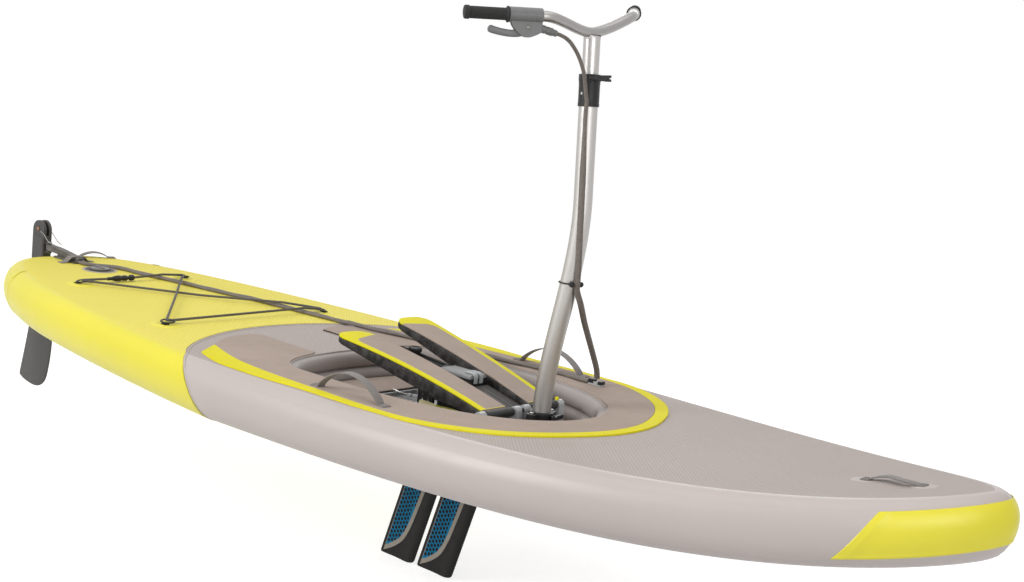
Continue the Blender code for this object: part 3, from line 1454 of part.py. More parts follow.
def make_housing(finishes):
    """The gear housing between the pedals, its ribbed cover, its bands and its wheels."""
    floor = BASE_TOP_Z + GAP
    half = HOUSING_HALF_WIDTH
    block = box((HOUSING_AFT_X, -half, floor), (HOUSING_FRONT_X, half, HOUSING_TOP_Z))
    shell = solid("drive_housing", *block, finishes["black_plastic"])
    wall = HOUSING_WALL
    hollow = box((HOUSING_AFT_X + wall, -half + wall, floor + wall),
                 (HOUSING_FRONT_X - wall, half - wall, HOUSING_TOP_Z + 0.01))
    cut(shell, solid("cutter_housing", *hollow, None))

    low = HOUSING_TOP_Z + GAP
    high = low + COVER_THICKNESS
    rib = 2 * (half - 0.003) / COVER_RIBS
    groove = high - COVER_RIB_HEIGHT
    y = half - 0.003
    outline = [(-half, low), (half, low), (half, groove), (y, groove)]
    for _ in range(COVER_RIBS):
        outline += [(y - rib * 0.15, high), (y - rib * 0.65, high), (y - rib * 0.80, groove), (y - rib, groove)]
        y -= rib
    outline.append((-half, groove))
    solid("housing_cover", *prism(outline, "x", HOUSING_AFT_X, HOUSING_FRONT_X), finishes["dark_plastic"], sharp=30)

    loops = []
    corner_x, corner_z = HOUSING_FRONT_X, high
    out = LOOP_THICKNESS
    first, second = LOOP_SHIFT - LOOP_PITCH / 2, LOOP_SHIFT + LOOP_PITCH / 2
    for y in (first, second):
        turn = 0.008
        top_line = arc((corner_x + GAP + out - turn, corner_z + GAP + out - turn), turn, 90, 0, 5)
        bottom_z = APRON_TOP_Z + 0.004
        outline = [(corner_x - 0.030, corner_z + GAP), (corner_x - 0.030, corner_z + GAP + out)]
        outline += top_line
        outline += [(corner_x + GAP + out, bottom_z), (corner_x + GAP, bottom_z),
                    (corner_x + GAP, corner_z + GAP)]
        loops.append(prism(outline, "y", y - LOOP_WIDTH / 2, y + LOOP_WIDTH / 2))
    bands = solid("belt_loops", *loops[0], finishes["pale_plastic"])
    strip = box((corner_x - 0.030, first, corner_z + GAP), (corner_x - 0.022, second, corner_z + GAP + out))
    join(bands, solid("lump_second_loop", *loops[1], None), solid("lump_loop_strip", *strip, None))

    axle_z = (floor + HOUSING_TOP_Z) / 2 + 0.018
    axle_x = HOUSING_FRONT_X - 0.045
    reach = half - wall - GAP
    axle = solid("drive_sprockets", *rod(SPROCKET_SHAFT_RADIUS, (axle_x, -reach, axle_z),
                                         (axle_x, reach, axle_z), 16), finishes["steel"])
    for i, y in enumerate((-SPROCKET_Y, SPROCKET_Y)):
        teeth = []
        for k in range(2 * SPROCKET_TEETH):
            radius = SPROCKET_RADIUS - (0.003 if k % 2 else 0.0)
            angle = pi * k / SPROCKET_TEETH
            teeth.append((axle_x + radius * cos(angle), axle_z + radius * sin(angle)))
        wheel = prism(teeth, "y", y - SPROCKET_WIDTH / 2, y + SPROCKET_WIDTH / 2)
        join(axle, solid(f"lump_sprocket_{i}", *wheel, None))


def make_drive_trim(finishes):
    """The apron before the housing, and the twin spine rails with their knob."""
    start = HOUSING_FRONT_X + LOOP_THICKNESS + APRON_GAP
    outline = [(start, BASE_TOP_Z + GAP), (start, APRON_TOP_Z),
               (start + APRON_LENGTH, APRON_TOP_Z - APRON_DROP), (start + APRON_LENGTH, BASE_TOP_Z + GAP)]
    solid("drive_apron", *prism(outline, "y", -HOUSING_HALF_WIDTH, HOUSING_HALF_WIDTH),
          finishes["dark_plastic"])

    length, half, bar = RAIL_FRAME_LENGTH, RAIL_FRAME_HALF_WIDTH, RAIL_FRAME_BAR
    joint_z = HOUSING_TOP_Z + COVER_THICKNESS - RAIL_FRAME_DEPTH
    place = (HOUSING_AFT_X - GAP, 0.0, joint_z)
    tilt = frame_empty("rail_tilt", place, (0.0, radians(RAIL_FRAME_TILT), 0.0))
    frame = solid("spine_rails", *box((-length, -half, 0), (-0.0012, half, RAIL_FRAME_DEPTH)),
                  finishes["black_plastic"], parent=tilt)
    fore = box((-KNOB_PLACE + KNOB_RADIUS, -half + bar, -0.01), (-0.012, half - bar, RAIL_FRAME_DEPTH + 0.01))
    aft = box((-length + 0.010, -half + bar, -0.01), (-KNOB_PLACE - KNOB_RADIUS, half - bar, RAIL_FRAME_DEPTH + 0.01))
    cut(frame, solid("cutter_fore_slot", *fore, None, parent=tilt))
    cut(frame, solid("cutter_aft_slot", *aft, None, parent=tilt))
    seat = RAIL_FRAME_DEPTH - 0.001
    knob = [(0, seat), (KNOB_RADIUS * 0.6, seat), (KNOB_RADIUS * 0.6, seat + 0.004),
            (KNOB_RADIUS, seat + 0.006), (KNOB_RADIUS, seat + KNOB_HEIGHT - 0.002),
            (KNOB_RADIUS - 0.002, seat + KNOB_HEIGHT), (0, seat + KNOB_HEIGHT)]
    join(frame, solid("lump_spine_knob", *turned(knob, 20, (-KNOB_PLACE, 0, 0)), None, parent=tilt))


# Steering post


def post_centre(z):
    """Centre of the post at a height above the board's origin."""
    lean = -sin(radians(POST_LEAN)) / cos(radians(POST_LEAN))
    if z <= POST_BEND_START_Z:
        return Vector((POST_FOOT_X, 0.0, z))
    if z >= POST_BEND_END_Z:
        return Vector((POST_BEND_END_X + lean * (z - POST_BEND_END_Z), 0.0, z))
    span = POST_BEND_END_Z - POST_BEND_START_Z
    t = (z - POST_BEND_START_Z) / span
    shift = (POST_BEND_END_X - POST_FOOT_X) * (3 * t * t - 2 * t ** 3) + lean * span * (t ** 3 - t * t)
    return Vector((POST_FOOT_X + shift, 0.0, z))


def plan_direction(angle):
    """Plan direction at an angle from the bow, turning to port."""
    return Vector((cos(radians(angle)), sin(radians(angle)), 0.0))


def lever_outline(length, thickness, hub):
    """Plan outline of a clamp lever: a round hub, a bar and a forked tip."""
    half = thickness / 2
    reach = sqrt(max(hub * hub - half * half, 0.0))
    start = degrees(asin(half / hub))
    outline = arc((0, 0), hub, start, 360 - start, 14)
    outline += [(reach, -half), (length, -half), (length, -half * 0.35), (length - 0.005, 0.0),
                (length, half * 0.35), (length, half), (reach, half)]
    cleaned = [outline[0]]
    for point in outline[1:]:
        if hypot(point[0] - cleaned[-1][0], point[1] - cleaned[-1][1]) > 1e-5:
            cleaned.append(point)
    if hypot(cleaned[0][0] - cleaned[-1][0], cleaned[0][1] - cleaned[-1][1]) < 1e-5:
        cleaned.pop()
    return cleaned


def make_socket(finishes):
    """The socket at the post's foot, with its bolts and its clamp lever."""
    foot = Vector((POST_FOOT_X, 0.0, 0.0))
    low = BASE_TOP_Z + GAP
    bore = LOWER_POST_RADIUS + GAP
    flange_low = SOCKET_TOP_Z - 0.020
    profile = [(0, low), (SOCKET_RADIUS, low), (SOCKET_RADIUS, SOCKET_TOP_Z - 0.0015),
               (SOCKET_RADIUS - 0.0015, SOCKET_TOP_Z), (bore, SOCKET_TOP_Z),
               (bore, POST_FOOT_Z - GAP), (0, POST_FOOT_Z - GAP)]
    socket = solid("post_socket", *turned(profile, LARGE_FACETS, foot), finishes["black_plastic"])
    ears = [(POST_FOOT_X + x, y) for x, y in rounded_box(0.013, SOCKET_FLANGE, 0.008)]
    plate = solid("lump_socket", *prism(ears, "z", flange_low, SOCKET_TOP_Z - 0.004), None)
    pivot = foot + plan_direction(0) * BASE_LEVER_REACH
    boss = [(POST_FOOT_X + SOCKET_RADIUS - 0.006, -0.0075), (pivot.x, -0.0075)]
    boss += arc((pivot.x, 0), 0.0075, -90, 90, 8)[1:-1]
    boss += [(pivot.x, 0.0075), (POST_FOOT_X + SOCKET_RADIUS - 0.006, 0.0075)]
    shelf_top = flange_low + 0.003
    shelf = solid("lump_socket_shelf", *prism(boss, "z", flange_low - 0.003, shelf_top), None)
    pin = solid("lump_socket_pin", *rod(BASE_PIN_RADIUS, (pivot.x, 0, shelf_top - 0.001),
                                        (pivot.x, 0, SOCKET_TOP_Z - 0.003), 12), None)
    join(socket, plate, shelf, pin)
    cut(socket, solid("bore_socket", *rod(bore, (POST_FOOT_X, 0, POST_FOOT_Z - GAP),
                                          (POST_FOOT_X, 0, SOCKET_TOP_Z + 0.02), LARGE_FACETS), None))
    for i, y in enumerate((-SOCKET_FLANGE + 0.0085, SOCKET_FLANGE - 0.0085)):
        head = [(0, 0), (SOCKET_BOLT_RADIUS, 0), (SOCKET_BOLT_RADIUS, 0.004),
                (SOCKET_BOLT_RADIUS - 0.0015, 0.0055), (0, 0.0055)]
        bolt = turned(head, 6, (POST_FOOT_X, y, SOCKET_TOP_Z - 0.005))
        join(socket, solid(f"lump_socket_bolt_{i}", *bolt, None))
    carrier = frame_empty("base_lever_pivot", (pivot.x, 0.0, shelf_top + GAP),
                          (0, 0, radians(BASE_LEVER_REST)))
    outline = lever_outline(BASE_LEVER_LENGTH, BASE_LEVER_THICKNESS, BASE_LEVER_HUB)
    lever = solid("base_lever", *prism(outline, "z", 0, BASE_LEVER_HEIGHT), finishes["black_plastic"],
                  parent=carrier)
    hole = rod(BASE_PIN_RADIUS + GAP, (0, 0, -OVERRUN), (0, 0, BASE_LEVER_HEIGHT + OVERRUN), 12)
    cut(lever, solid("bore_base_lever", *hole, None, parent=carrier))


def make_posts(finishes):
    """The lower and upper post, the height collar and its cam lever."""
    straight = frame_empty("post_axis", (POST_BEND_END_X, 0.0, POST_BEND_END_Z), (0, radians(-POST_LEAN), 0))
    bend = POST_BEND_END_Z - POST_BEND_START_Z
    heights = [POST_FOOT_Z] + [POST_BEND_START_Z + bend * i / 7 for i in range(8)]
    path = [post_centre(z) for z in heights]
    along = Vector((-sin(radians(POST_LEAN)), 0.0, cos(radians(POST_LEAN))))
    top = path[-1] + along * LOWER_POST_TOP
    path.append(top)
    wall_inner = LOWER_POST_RADIUS - LOWER_POST_WALL
    solid("lower_post", *tube(path, LOWER_POST_RADIUS, wall_inner, 20), finishes["alloy"])

    grip_inner = UPPER_POST_RADIUS + SHAFT_CLEARANCE
    step = LOWER_POST_TOP + GAP
    ring_low = COLLAR_TOP - CLAMP_HEIGHT
    outer = LOWER_POST_RADIUS + COLLAR_WALL
    ring = UPPER_POST_RADIUS + CLAMP_WALL
    bore = LOWER_POST_RADIUS + GAP
    profile = [(bore, COLLAR_BOTTOM), (outer - 0.001, COLLAR_BOTTOM), (outer, COLLAR_BOTTOM + 0.001),
               (outer, ring_low), (ring, ring_low), (ring, COLLAR_TOP - 0.001), (ring - 0.001, COLLAR_TOP),
               (grip_inner, COLLAR_TOP), (grip_inner, step), (bore, step)]
    collar = solid("height_collar", *turned(profile, LARGE_FACETS), finishes["black_plastic"],
                   parent=straight)
    direction = plan_direction(CAM_PIVOT_ANGLE)
    pivot = direction * CAM_PIVOT_REACH
    side = Vector((-direction.y, direction.x, 0.0))
    inner_reach, half = ring - 0.004, EAR_HALF_WIDTH
    for name, low in (("low", ring_low), ("high", COLLAR_TOP - EAR_THICKNESS)):
        outline = []
        for a, b in ((inner_reach, -half), (CAM_PIVOT_REACH, -half)):
            outline.append((direction * a + side * b)[:2])
        for k in range(1, 8):
            angle = radians(-90 + 180 * k / 8)
            outline.append((pivot + direction * (half * cos(angle)) + side * (half * sin(angle)))[:2])
        for a, b in ((CAM_PIVOT_REACH, half), (inner_reach, half)):
            outline.append((direction * a + side * b)[:2])
        join(collar, solid("lump_ear_" + name, *prism(outline, "z", low, low + EAR_THICKNESS), None,
                           parent=straight))
    pin = rod(CAM_PIN_RADIUS, pivot + Vector((0, 0, ring_low + 0.001)),
              pivot + Vector((0, 0, COLLAR_TOP - 0.001)), 12)
    join(collar, solid("lump_cam_pin", *pin, None, parent=straight))
    lever_low = ring_low + EAR_THICKNESS + GAP
    carrier = frame_empty("cam_pivot", (pivot.x, pivot.y, lever_low), (0, 0, radians(CAM_LEVER_REST)),
                          straight)
    outline = lever_outline(CAM_LEVER_LENGTH, CAM_LEVER_THICKNESS, CAM_HUB_RADIUS)
    lever = solid("cam_lever", *prism(outline, "z", 0, CLAMP_HEIGHT - 2 * EAR_THICKNESS - 2 * GAP),
                  finishes["black_plastic"], parent=carrier)
    hole = rod(CAM_PIN_RADIUS + GAP, (0, 0, -OVERRUN), (0, 0, CLAMP_HEIGHT + OVERRUN), 12)
    cut(lever, solid("bore_cam_lever", *hole, None, parent=carrier))
    return straight


def bar_half():
    """Centre line of the port half of the handlebar, from the post outwards."""
    points = []
    pull = 0.12
    sweep = radians(BAR_SWEEP)
    out = Vector((-sin(sweep), cos(sweep), BAR_CLIMB)).normalized()
    end = Vector((BAR_BEND_X, BAR_BEND_Y, BAR_BEND_Z))
    for i in range(8):
        t = i / 7
        h01, h10, h11 = 3 * t * t - 2 * t ** 3, t ** 3 - 2 * t * t + t, t ** 3 - t * t
        points.append(end * h01 + Vector((0, 1, 0)) * (pull * h10) + out * (pull * h11))
    return points, end, out


def mirrored(point):
    """The same point on the starboard side."""
    return Vector((point.x, -point.y, point.z))


def make_handlebar(finishes, straight):
    """The upper post, the handlebar, its grips and the steering lever."""
    slide = frame_empty("upper_post_slide", (0, 0, 0), parent=straight)
    bar_frame = frame_empty("bar_mount", (0, 0, BAR_HEIGHT), (radians(BAR_TILT), 0, 0), slide)
    half, bend_end, out = bar_half()
    junction = bend_end + out * BAR_STRAIGHT
    end = junction + out * (GRIP_LENGTH - GRIP_END - GAP)
    port = half + [junction, end]
    line = [mirrored(p) for p in port[:0:-1]] + port
    solid("handlebar", *tube(line, BAR_RADIUS, BAR_RADIUS - BAR_WALL, 14), finishes["alloy"],
          parent=bar_frame)

    length = BAR_HEIGHT - UPPER_POST_FOOT - 0.002
    profile = [(UPPER_POST_RADIUS - UPPER_POST_WALL, 0), (UPPER_POST_RADIUS, 0),
               (UPPER_POST_RADIUS, length), (UPPER_POST_RADIUS - UPPER_POST_WALL, length)]
    post = solid("upper_post", *turned(profile, 24, (0, 0, UPPER_POST_FOOT)), finishes["alloy"], parent=slide)
    near = [p for p in line if abs(p.y) < 0.09]
    saddle = solid("cutter_saddle", *tube(near, BAR_RADIUS + GAP, 0.0, 20), None, parent=bar_frame)
    cut(post, saddle)

    bore = BAR_RADIUS + GAP
    r = GRIP_RADIUS
    profile = [(0, GRIP_LENGTH - GRIP_END), (bore, GRIP_LENGTH - GRIP_END), (bore, 0), (r + 0.002, 0),
               (r + 0.002, 0.004), (r, 0.006)]
    profile += [(r, GRIP_LENGTH - 0.008), (r + 0.0015, GRIP_LENGTH - 0.006),
                (r + 0.0015, GRIP_LENGTH - 0.002), (r - 0.001, GRIP_LENGTH), (0, GRIP_LENGTH)]
    for name, start, along in (("port_grip", junction, out),
                               ("starboard_grip", mirrored(junction), mirrored(out))):
        solid(name, *turned(profile, MEDIUM_FACETS, start, along), finishes["grip_rubber"],
              parent=bar_frame)
    make_lever(finishes, bar_frame, mirrored(junction), mirrored(out))


def lever_frame_matrix(origin, along):
    """Frame with X along the bar outwards, Y to the front and Z up."""
    x = Vector(along).normalized()
    z = (Vector((0, 0, 1)) - x * x.z).normalized()
    y = z.cross(x)
    turn = Matrix((x, y, z)).transposed().to_4x4()
    return Matrix.Translation(origin) @ turn


def make_lever(finishes, bar_frame, junction, out):
    """The clamp on the bar, the steering lever in it and the lever's screw."""
    middle = junction - out * (HOUSING_LENGTH / 2 + GAP)
    carrier = frame_empty("lever_mount", (0, 0, 0), parent=bar_frame)
    matrix = lever_frame_matrix(middle, out)
    carrier.location = matrix.to_translation()
    carrier.rotation_euler = matrix.to_euler()
    half = HOUSING_LENGTH / 2
    sleeve = rod(HOUSING_SLEEVE_RADIUS, (-half, 0, 0), (half, 0, 0), 24, 0.001)
    clamp = solid("lever_housing", *sleeve, finishes["dark_plastic"], parent=carrier)
    s, w = LEVER_PIVOT_S, LEVER_PIVOT_W
    lobe = [(-half + 0.001, -0.006), (half - 0.010, -0.006), (half - 0.006, -0.016), (half - 0.012, -0.029)]
    lobe += [(s + 0.020, w - 0.010), (s, w - 0.014), (s - 0.020, w - 0.011), (-half + 0.001, w - 0.006)]
    lump = solid("lump_lobe", *prism(lobe[::-1], "y", -LOBE_HALF_THICKNESS, LOBE_HALF_THICKNESS), None,
                 parent=carrier)
    seat = 0.004
    slim = BARREL_RADIUS - 0.001
    barrel = [(0, 0), (BARREL_RADIUS, 0), (BARREL_RADIUS, BARREL_LENGTH - 0.006),
              (slim, BARREL_LENGTH - 0.004), (slim, BARREL_LENGTH + seat), (0, BARREL_LENGTH + seat)]
    tail = solid("lump_barrel", *turned(barrel, 16, (-half + seat, 0, w), (-1, 0, 0)), None, parent=carrier)
    join(clamp, lump, tail)
    bore = rod(BAR_RADIUS + GAP, (-half - 0.02, 0, 0), (half + 0.02, 0, 0), 24)
    slot_half = LEVER_HALF_THICKNESS + LEVER_SLOT_CLEARANCE
    slot = box((s - 0.016, -slot_half, w - 0.03), (half + OVERRUN, slot_half, w + 0.0082))
    cut(clamp, solid("bore_clamp", *bore, None, parent=carrier),
        solid("cutter_lever_slot", *slot, None, parent=carrier))
    reach = LOBE_HALF_THICKNESS - 0.001
    screw = [(0, -reach - 0.003), (0.0045, -reach - 0.003), (0.0045, -reach), (LEVER_SCREW_RADIUS, -reach),
             (LEVER_SCREW_RADIUS, reach), (0.0045, reach), (0.0045, reach + 0.003), (0, reach + 0.003)]
    join(clamp, solid("lump_lever_screw", *turned(screw, 14, (s, 0, w), (0, 1, 0)), None, parent=carrier))

    pivot = frame_empty("lever_pivot", (s, 0, w), parent=carrier)
    hub = 0.0075
    outline = arc((0, 0), hub, 60, 200, 8)
    outline += [(-0.004, -0.012), (0.012, -0.0195), (0.037, -0.0215), (0.063, -0.0165), (0.084, -0.0115)]
    outline += arc((0.0855, -0.0065), 0.005, -60, 90, 4)
    outline += [(0.080, -0.0015), (0.058, -0.0075), (0.033, -0.0115), (0.017, -0.009), (0.0085, -0.001)]
    lever = solid("steering_lever", *prism(outline, "y", -LEVER_HALF_THICKNESS, LEVER_HALF_THICKNESS),
                  finishes["dark_plastic"], parent=pivot)
    cut(lever, solid("bore_lever", *rod(LEVER_SCREW_RADIUS + GAP, (0, -0.02, 0), (0, 0.02, 0), 14), None,
                     parent=pivot))


def world_point(frame, point):
    """World place of a point that is given in an empty's own frame."""
    matrix = Matrix.Identity(4)
    chain = []
    while frame is not None:
        chain.append(frame)
        frame = frame.parent
    for item in reversed(chain):
        matrix = matrix @ Matrix.Translation(item.location) @ item.rotation_euler.to_matrix().to_4x4()
    return matrix @ Vector(point)


# Steering cable


def beside_post(z, angle, clear):
    """A point beside the post, a distance from its centre."""
    return post_centre(z) + plan_direction(angle) * clear


def make_cables(finishes):
    """The steering cable in its three runs, the ball tie and the deck clip."""
    sleeve = finishes["cable_sleeve"]
    mount = bpy.data.objects["lever_mount"]
    end_s = -HOUSING_LENGTH / 2 - BARREL_LENGTH
    start = world_point(mount, (end_s - 2 * GAP, 0, LEVER_PIVOT_W))
    ahead = (world_point(mount, (end_s - 0.03, 0, LEVER_PIVOT_W)) - start).normalized()
    by_collar = LOWER_POST_RADIUS + COLLAR_WALL + CABLE_RADIUS + 0.001
    by_post = LOWER_POST_RADIUS + CABLE_RADIUS + GAP
    split = beside_post(SPLIT_Z, CABLE_SIDE, by_collar + SPLIT_STAND_OFF)
    down = Vector((0.03, 0.27, -1.0)).normalized()
    upper = [start, start + ahead * 0.018, start + ahead * 0.034 + Vector((0, 0.006, -0.010)),
             (0.534, -0.088, 1.012), (0.532, -0.070, 0.990), (0.535, -0.051, 0.950),
             split - down * 0.020, split - down * 0.010, split]
    cord("cable_upper", smooth_path(upper, 17), CABLE_RADIUS, sleeve)

    deck = on_pad(CLIP_X, CLIP_Y)
    clip_top = Vector((CLIP_X, CLIP_Y, deck + CLIP_HEIGHT + CABLE_RADIUS * 0.85))
    lower = [split + down * 2 * GAP, split + down * 0.010, split + down * 0.020,
             beside_post(0.860, CABLE_SIDE, by_collar - 0.001),
             beside_post(0.825, CABLE_SIDE, by_post + 0.001), beside_post(0.740, -60, by_post),
             beside_post(TIE_HEIGHT_Z + 0.184, -58, by_post), beside_post(TIE_HEIGHT_Z + 0.104, -46, by_post),
             beside_post(TIE_HEIGHT_Z + 0.044, -28, by_post), beside_post(TIE_HEIGHT_Z, TIE_SIDE, by_post),
             beside_post(TIE_HEIGHT_Z - 0.016, -5, by_post + 0.001),
             (0.5475, 0.020, TIE_HEIGHT_Z - 0.051), (0.523, 0.075, TIE_HEIGHT_Z - 0.104),
             (0.484, 0.160, 0.283), (0.441, 0.246, 0.220),
             clip_top + Vector((0.010, -0.018, 0.022)), clip_top]
    cord("cable_front", smooth_path(lower, 36), CABLE_RADIUS, sleeve)

    cord("cable_deck", deck_cable_line(), CABLE_RADIUS, sleeve)

    outline = rounded_box(CLIP_LENGTH / 2, CLIP_WIDTH / 2, 0.006)
    foot = [(CLIP_X + x, CLIP_Y + y) for x, y in outline]
    clip = solid("deck_clip", *prism(foot, "z", deck, deck + 0.005), finishes["pale_plastic"])
    post = [(CLIP_X + x, CLIP_Y + y) for x, y in rounded_box(0.013, 0.008, 0.004)]
    join(clip, solid("lump_clip", *prism(post, "z", deck + 0.004, deck + CLIP_HEIGHT), None))

    centre = post_centre(TIE_HEIGHT_Z)
    near, far = TIE_SIDE + TIE_OPENING, TIE_SIDE - TIE_OPENING + 360
    ring_radius = LOWER_POST_RADIUS + GAP + TIE_CORD_RADIUS + 0.0006
    loop = []
    for k in range(19):
        angle = near + (far - near) * k / 18
        loop.append(centre + plan_direction(angle) * ring_radius)
    tie = solid("cable_tie", *tube(loop, TIE_CORD_RADIUS, 0.0, 6), finishes["grip_rubber"], sharp=60)
    reach = LOWER_POST_RADIUS + TIE_BALL_RADIUS + GAP + 0.0006
    for name, angle in (("near", near), ("far", far)):
        ball = sphere(TIE_BALL_RADIUS, centre + plan_direction(angle) * reach)
        join(tie, solid("lump_ball_" + name, *ball, None))


# Rudder


def make_rudder(finishes):
    """The stern bracket, the rudder head on its pin and the blade that kicks up."""
    dark = finishes["dark_plastic"]
    pin_x = RUDDER_PIN_X
    front = STERN_X + BRACKET_REACH
    heel = STERN_X + RAIL_REACH + 0.012
    deck_front, deck_heel = deck_z(front) + GAP, deck_z(heel) + GAP
    barrel_low = deck_heel + 0.010
    barrel_high = barrel_low + RUDDER_BARREL_HEIGHT
    arm = [(front, deck_front + 0.001), (front, deck_front + 0.014), (front - 0.030, deck_front + 0.016),
           (heel, barrel_high - 0.008), (pin_x, barrel_high), (pin_x, barrel_low + 0.004),
           (heel + 0.004, deck_heel + 0.010), (heel + 0.004, deck_heel + 0.0005)]
    bracket = solid("rudder_bracket", *prism(arm, "y", -0.012, 0.012), dark)
    foot = [(front, deck_front + 0.001), (front, deck_front + 0.005), (heel + 0.004, deck_heel + 0.006),
            (heel + 0.004, deck_heel + 0.0005)]
    plate = solid("lump_bracket_foot", *prism(foot, "y", -BRACKET_FOOT_HALF, BRACKET_FOOT_HALF), None)
    barrel = solid("lump_bracket_barrel", *rod(RUDDER_BARREL_RADIUS, (pin_x, 0, barrel_low),
                                               (pin_x, 0, barrel_high), 20), None)
    join(bracket, plate, barrel)
    bore = rod(RUDDER_PIN_RADIUS + GAP, (pin_x, 0, barrel_low - 0.02), (pin_x, 0, barrel_high + 0.02), 16)
    cut(bracket, solid("bore_bracket", *bore, None))

    lug_low = (barrel_low - 2 * GAP - HEAD_LUG, barrel_low - 2 * GAP)
    lug_high = (barrel_high + 2 * GAP, barrel_high + 2 * GAP + HEAD_LUG)
    pin = [(0, lug_low[0] - 0.001), (RUDDER_PIN_RADIUS, lug_low[0] - 0.001),
           (RUDDER_PIN_RADIUS, lug_high[1] + GAP), (RUDDER_PIN_RADIUS + 0.0025, lug_high[1] + GAP),
           (RUDDER_PIN_RADIUS + 0.0025, lug_high[1] + 0.003), (0, lug_high[1] + 0.003)]
    solid("rudder_pin", *turned(pin, 16, (pin_x, 0, 0)), finishes["steel"], origin=(pin_x, 0, 0))

    yaw = frame_empty("rudder_yaw", (pin_x, 0.0, 0.0))
    fore = -HEAD_FORE_OFFSET
    aft = fore - HEAD_WIDTH
    radius = HEAD_WIDTH / 2
    centre = (fore - radius, HEAD_TOP_Z - radius)
    outline = [(fore, HEAD_BOTTOM_Z)] + arc(centre, radius, 0, 180, 12) + [(aft, HEAD_BOTTOM_Z)]
    head = solid("rudder_head", *prism(outline, "y", -HEAD_HALF_THICKNESS, HEAD_HALF_THICKNESS), dark,
                 parent=yaw)
    for name, (low, high) in (("low", lug_low), ("high", lug_high)):
        lug = [(fore - 0.004, -0.010), (0.0, -RUDDER_BARREL_RADIUS)]
        lug += arc((0, 0), RUDDER_BARREL_RADIUS, -90, 90, 8)[1:]
        lug += [(fore - 0.004, 0.010)]
        join(head, solid("lump_lug_" + name, *prism(lug, "z", low, high), None, parent=yaw))
    slot_half = BLADE_HALF_THICKNESS + BLADE_SLOT_CLEARANCE
    slot = box((aft - OVERRUN, -slot_half, HEAD_BOTTOM_Z - OVERRUN),
               (fore - HEAD_WEB, slot_half, HEAD_TOP_Z + OVERRUN))
    upper_slot = box((aft - OVERRUN, -slot_half, HEAD_TOP_Z - HEAD_SLOT_DEPTH),
                     (fore + OVERRUN, slot_half, HEAD_TOP_Z + OVERRUN))
    head_bore = rod(RUDDER_PIN_RADIUS + GAP, (0, 0, lug_low[0] - 0.01), (0, 0, lug_high[1] + 0.01), 16)
    bolt_at = (centre[0], 0.0, centre[1])
    bolt_hole = rod(BLADE_BOLT_RADIUS + GAP, (centre[0], -0.03, centre[1]), (centre[0], 0.03, centre[1]), 14)
    cut(head, solid("cutter_blade_slot", *slot, None, parent=yaw),
        solid("cutter_head_top", *upper_slot, None, parent=yaw),
        solid("bore_head", *head_bore, None, parent=yaw),
        solid("bore_head_bolt", *bolt_hole, None, parent=yaw))
    reach = HEAD_HALF_THICKNESS + GAP
    bolt = [(0, -reach - 0.0025), (0.0055, -reach - 0.0025), (0.0055, -reach), (BLADE_BOLT_RADIUS, -reach),
            (BLADE_BOLT_RADIUS, reach), (0.0055, reach), (0.0055, reach + 0.0025), (0, reach + 0.0025)]
    solid("blade_bolt", *turned(bolt, 14, bolt_at, (0, 1, 0)), finishes["steel"], parent=yaw)

    kick = frame_empty("blade_pivot", bolt_at, parent=yaw)
    line = arc((0, 0), BLADE_PIVOT_RADIUS, 0, 180, 10)
    line += [(-0.022, -0.17), (-0.033, -0.25), (-0.043, -0.31), (-0.057, -0.375), (-0.078, -0.460),
             (-0.090, -0.508), (-0.084, -0.518), (-0.060, -0.528), (-0.016, -0.534), (0.004, -0.528),
             (0.030, -0.503), (0.060, -0.455), (0.080, -0.405), (0.090, -0.360), (0.088, -0.325),
             (0.068, -0.275), (0.042, -0.232), (0.026, -0.195), (0.021, -0.150)]
    blade = solid("rudder_blade", *prism(line, "y", -BLADE_HALF_THICKNESS, BLADE_HALF_THICKNESS), dark,
                  parent=kick)
    cut(blade, solid("bore_blade", *rod(BLADE_BOLT_RADIUS + GAP, (0, -0.03, 0), (0, 0.03, 0), 14), None,
                     parent=kick))


def main():
    """Build the board."""
    clear_scene()
    finishes = make_finishes()
    make_hull(finishes)
    make_skins(finishes)
    make_well_parts(finishes)
    make_pad(finishes)
    make_handles(finishes)
    make_bungee(finishes)
    make_valve(finishes)
    make_pedals(finishes)
    make_drive_base(finishes)
    pitch = DRUM_LENGTH + HANGER_THICKNESS + 2 * GAP
    make_fin("aft", DRUM_START_X, finishes)
    make_fin("forward", DRUM_START_X + pitch, finishes)
    make_housing(finishes)
    make_drive_trim(finishes)
    make_socket(finishes)
    straight = make_posts(finishes)
    make_handlebar(finishes, straight)
    make_cables(finishes)
    make_rudder(finishes)


main()
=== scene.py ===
"""Looks of an inflatable pedal board: skins, pads, pedal drive, steering post and rudder.

Metres. +X is the bow, +Y is port and +Z is up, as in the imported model.
"""

import logging
from dataclasses import dataclass, field
from enum import Enum
from math import asin, cos, degrees, hypot, pi, radians, sin, sqrt
from typing import Callable, Iterable, Sequence

import bmesh
import bpy
from mathutils import Matrix, Vector


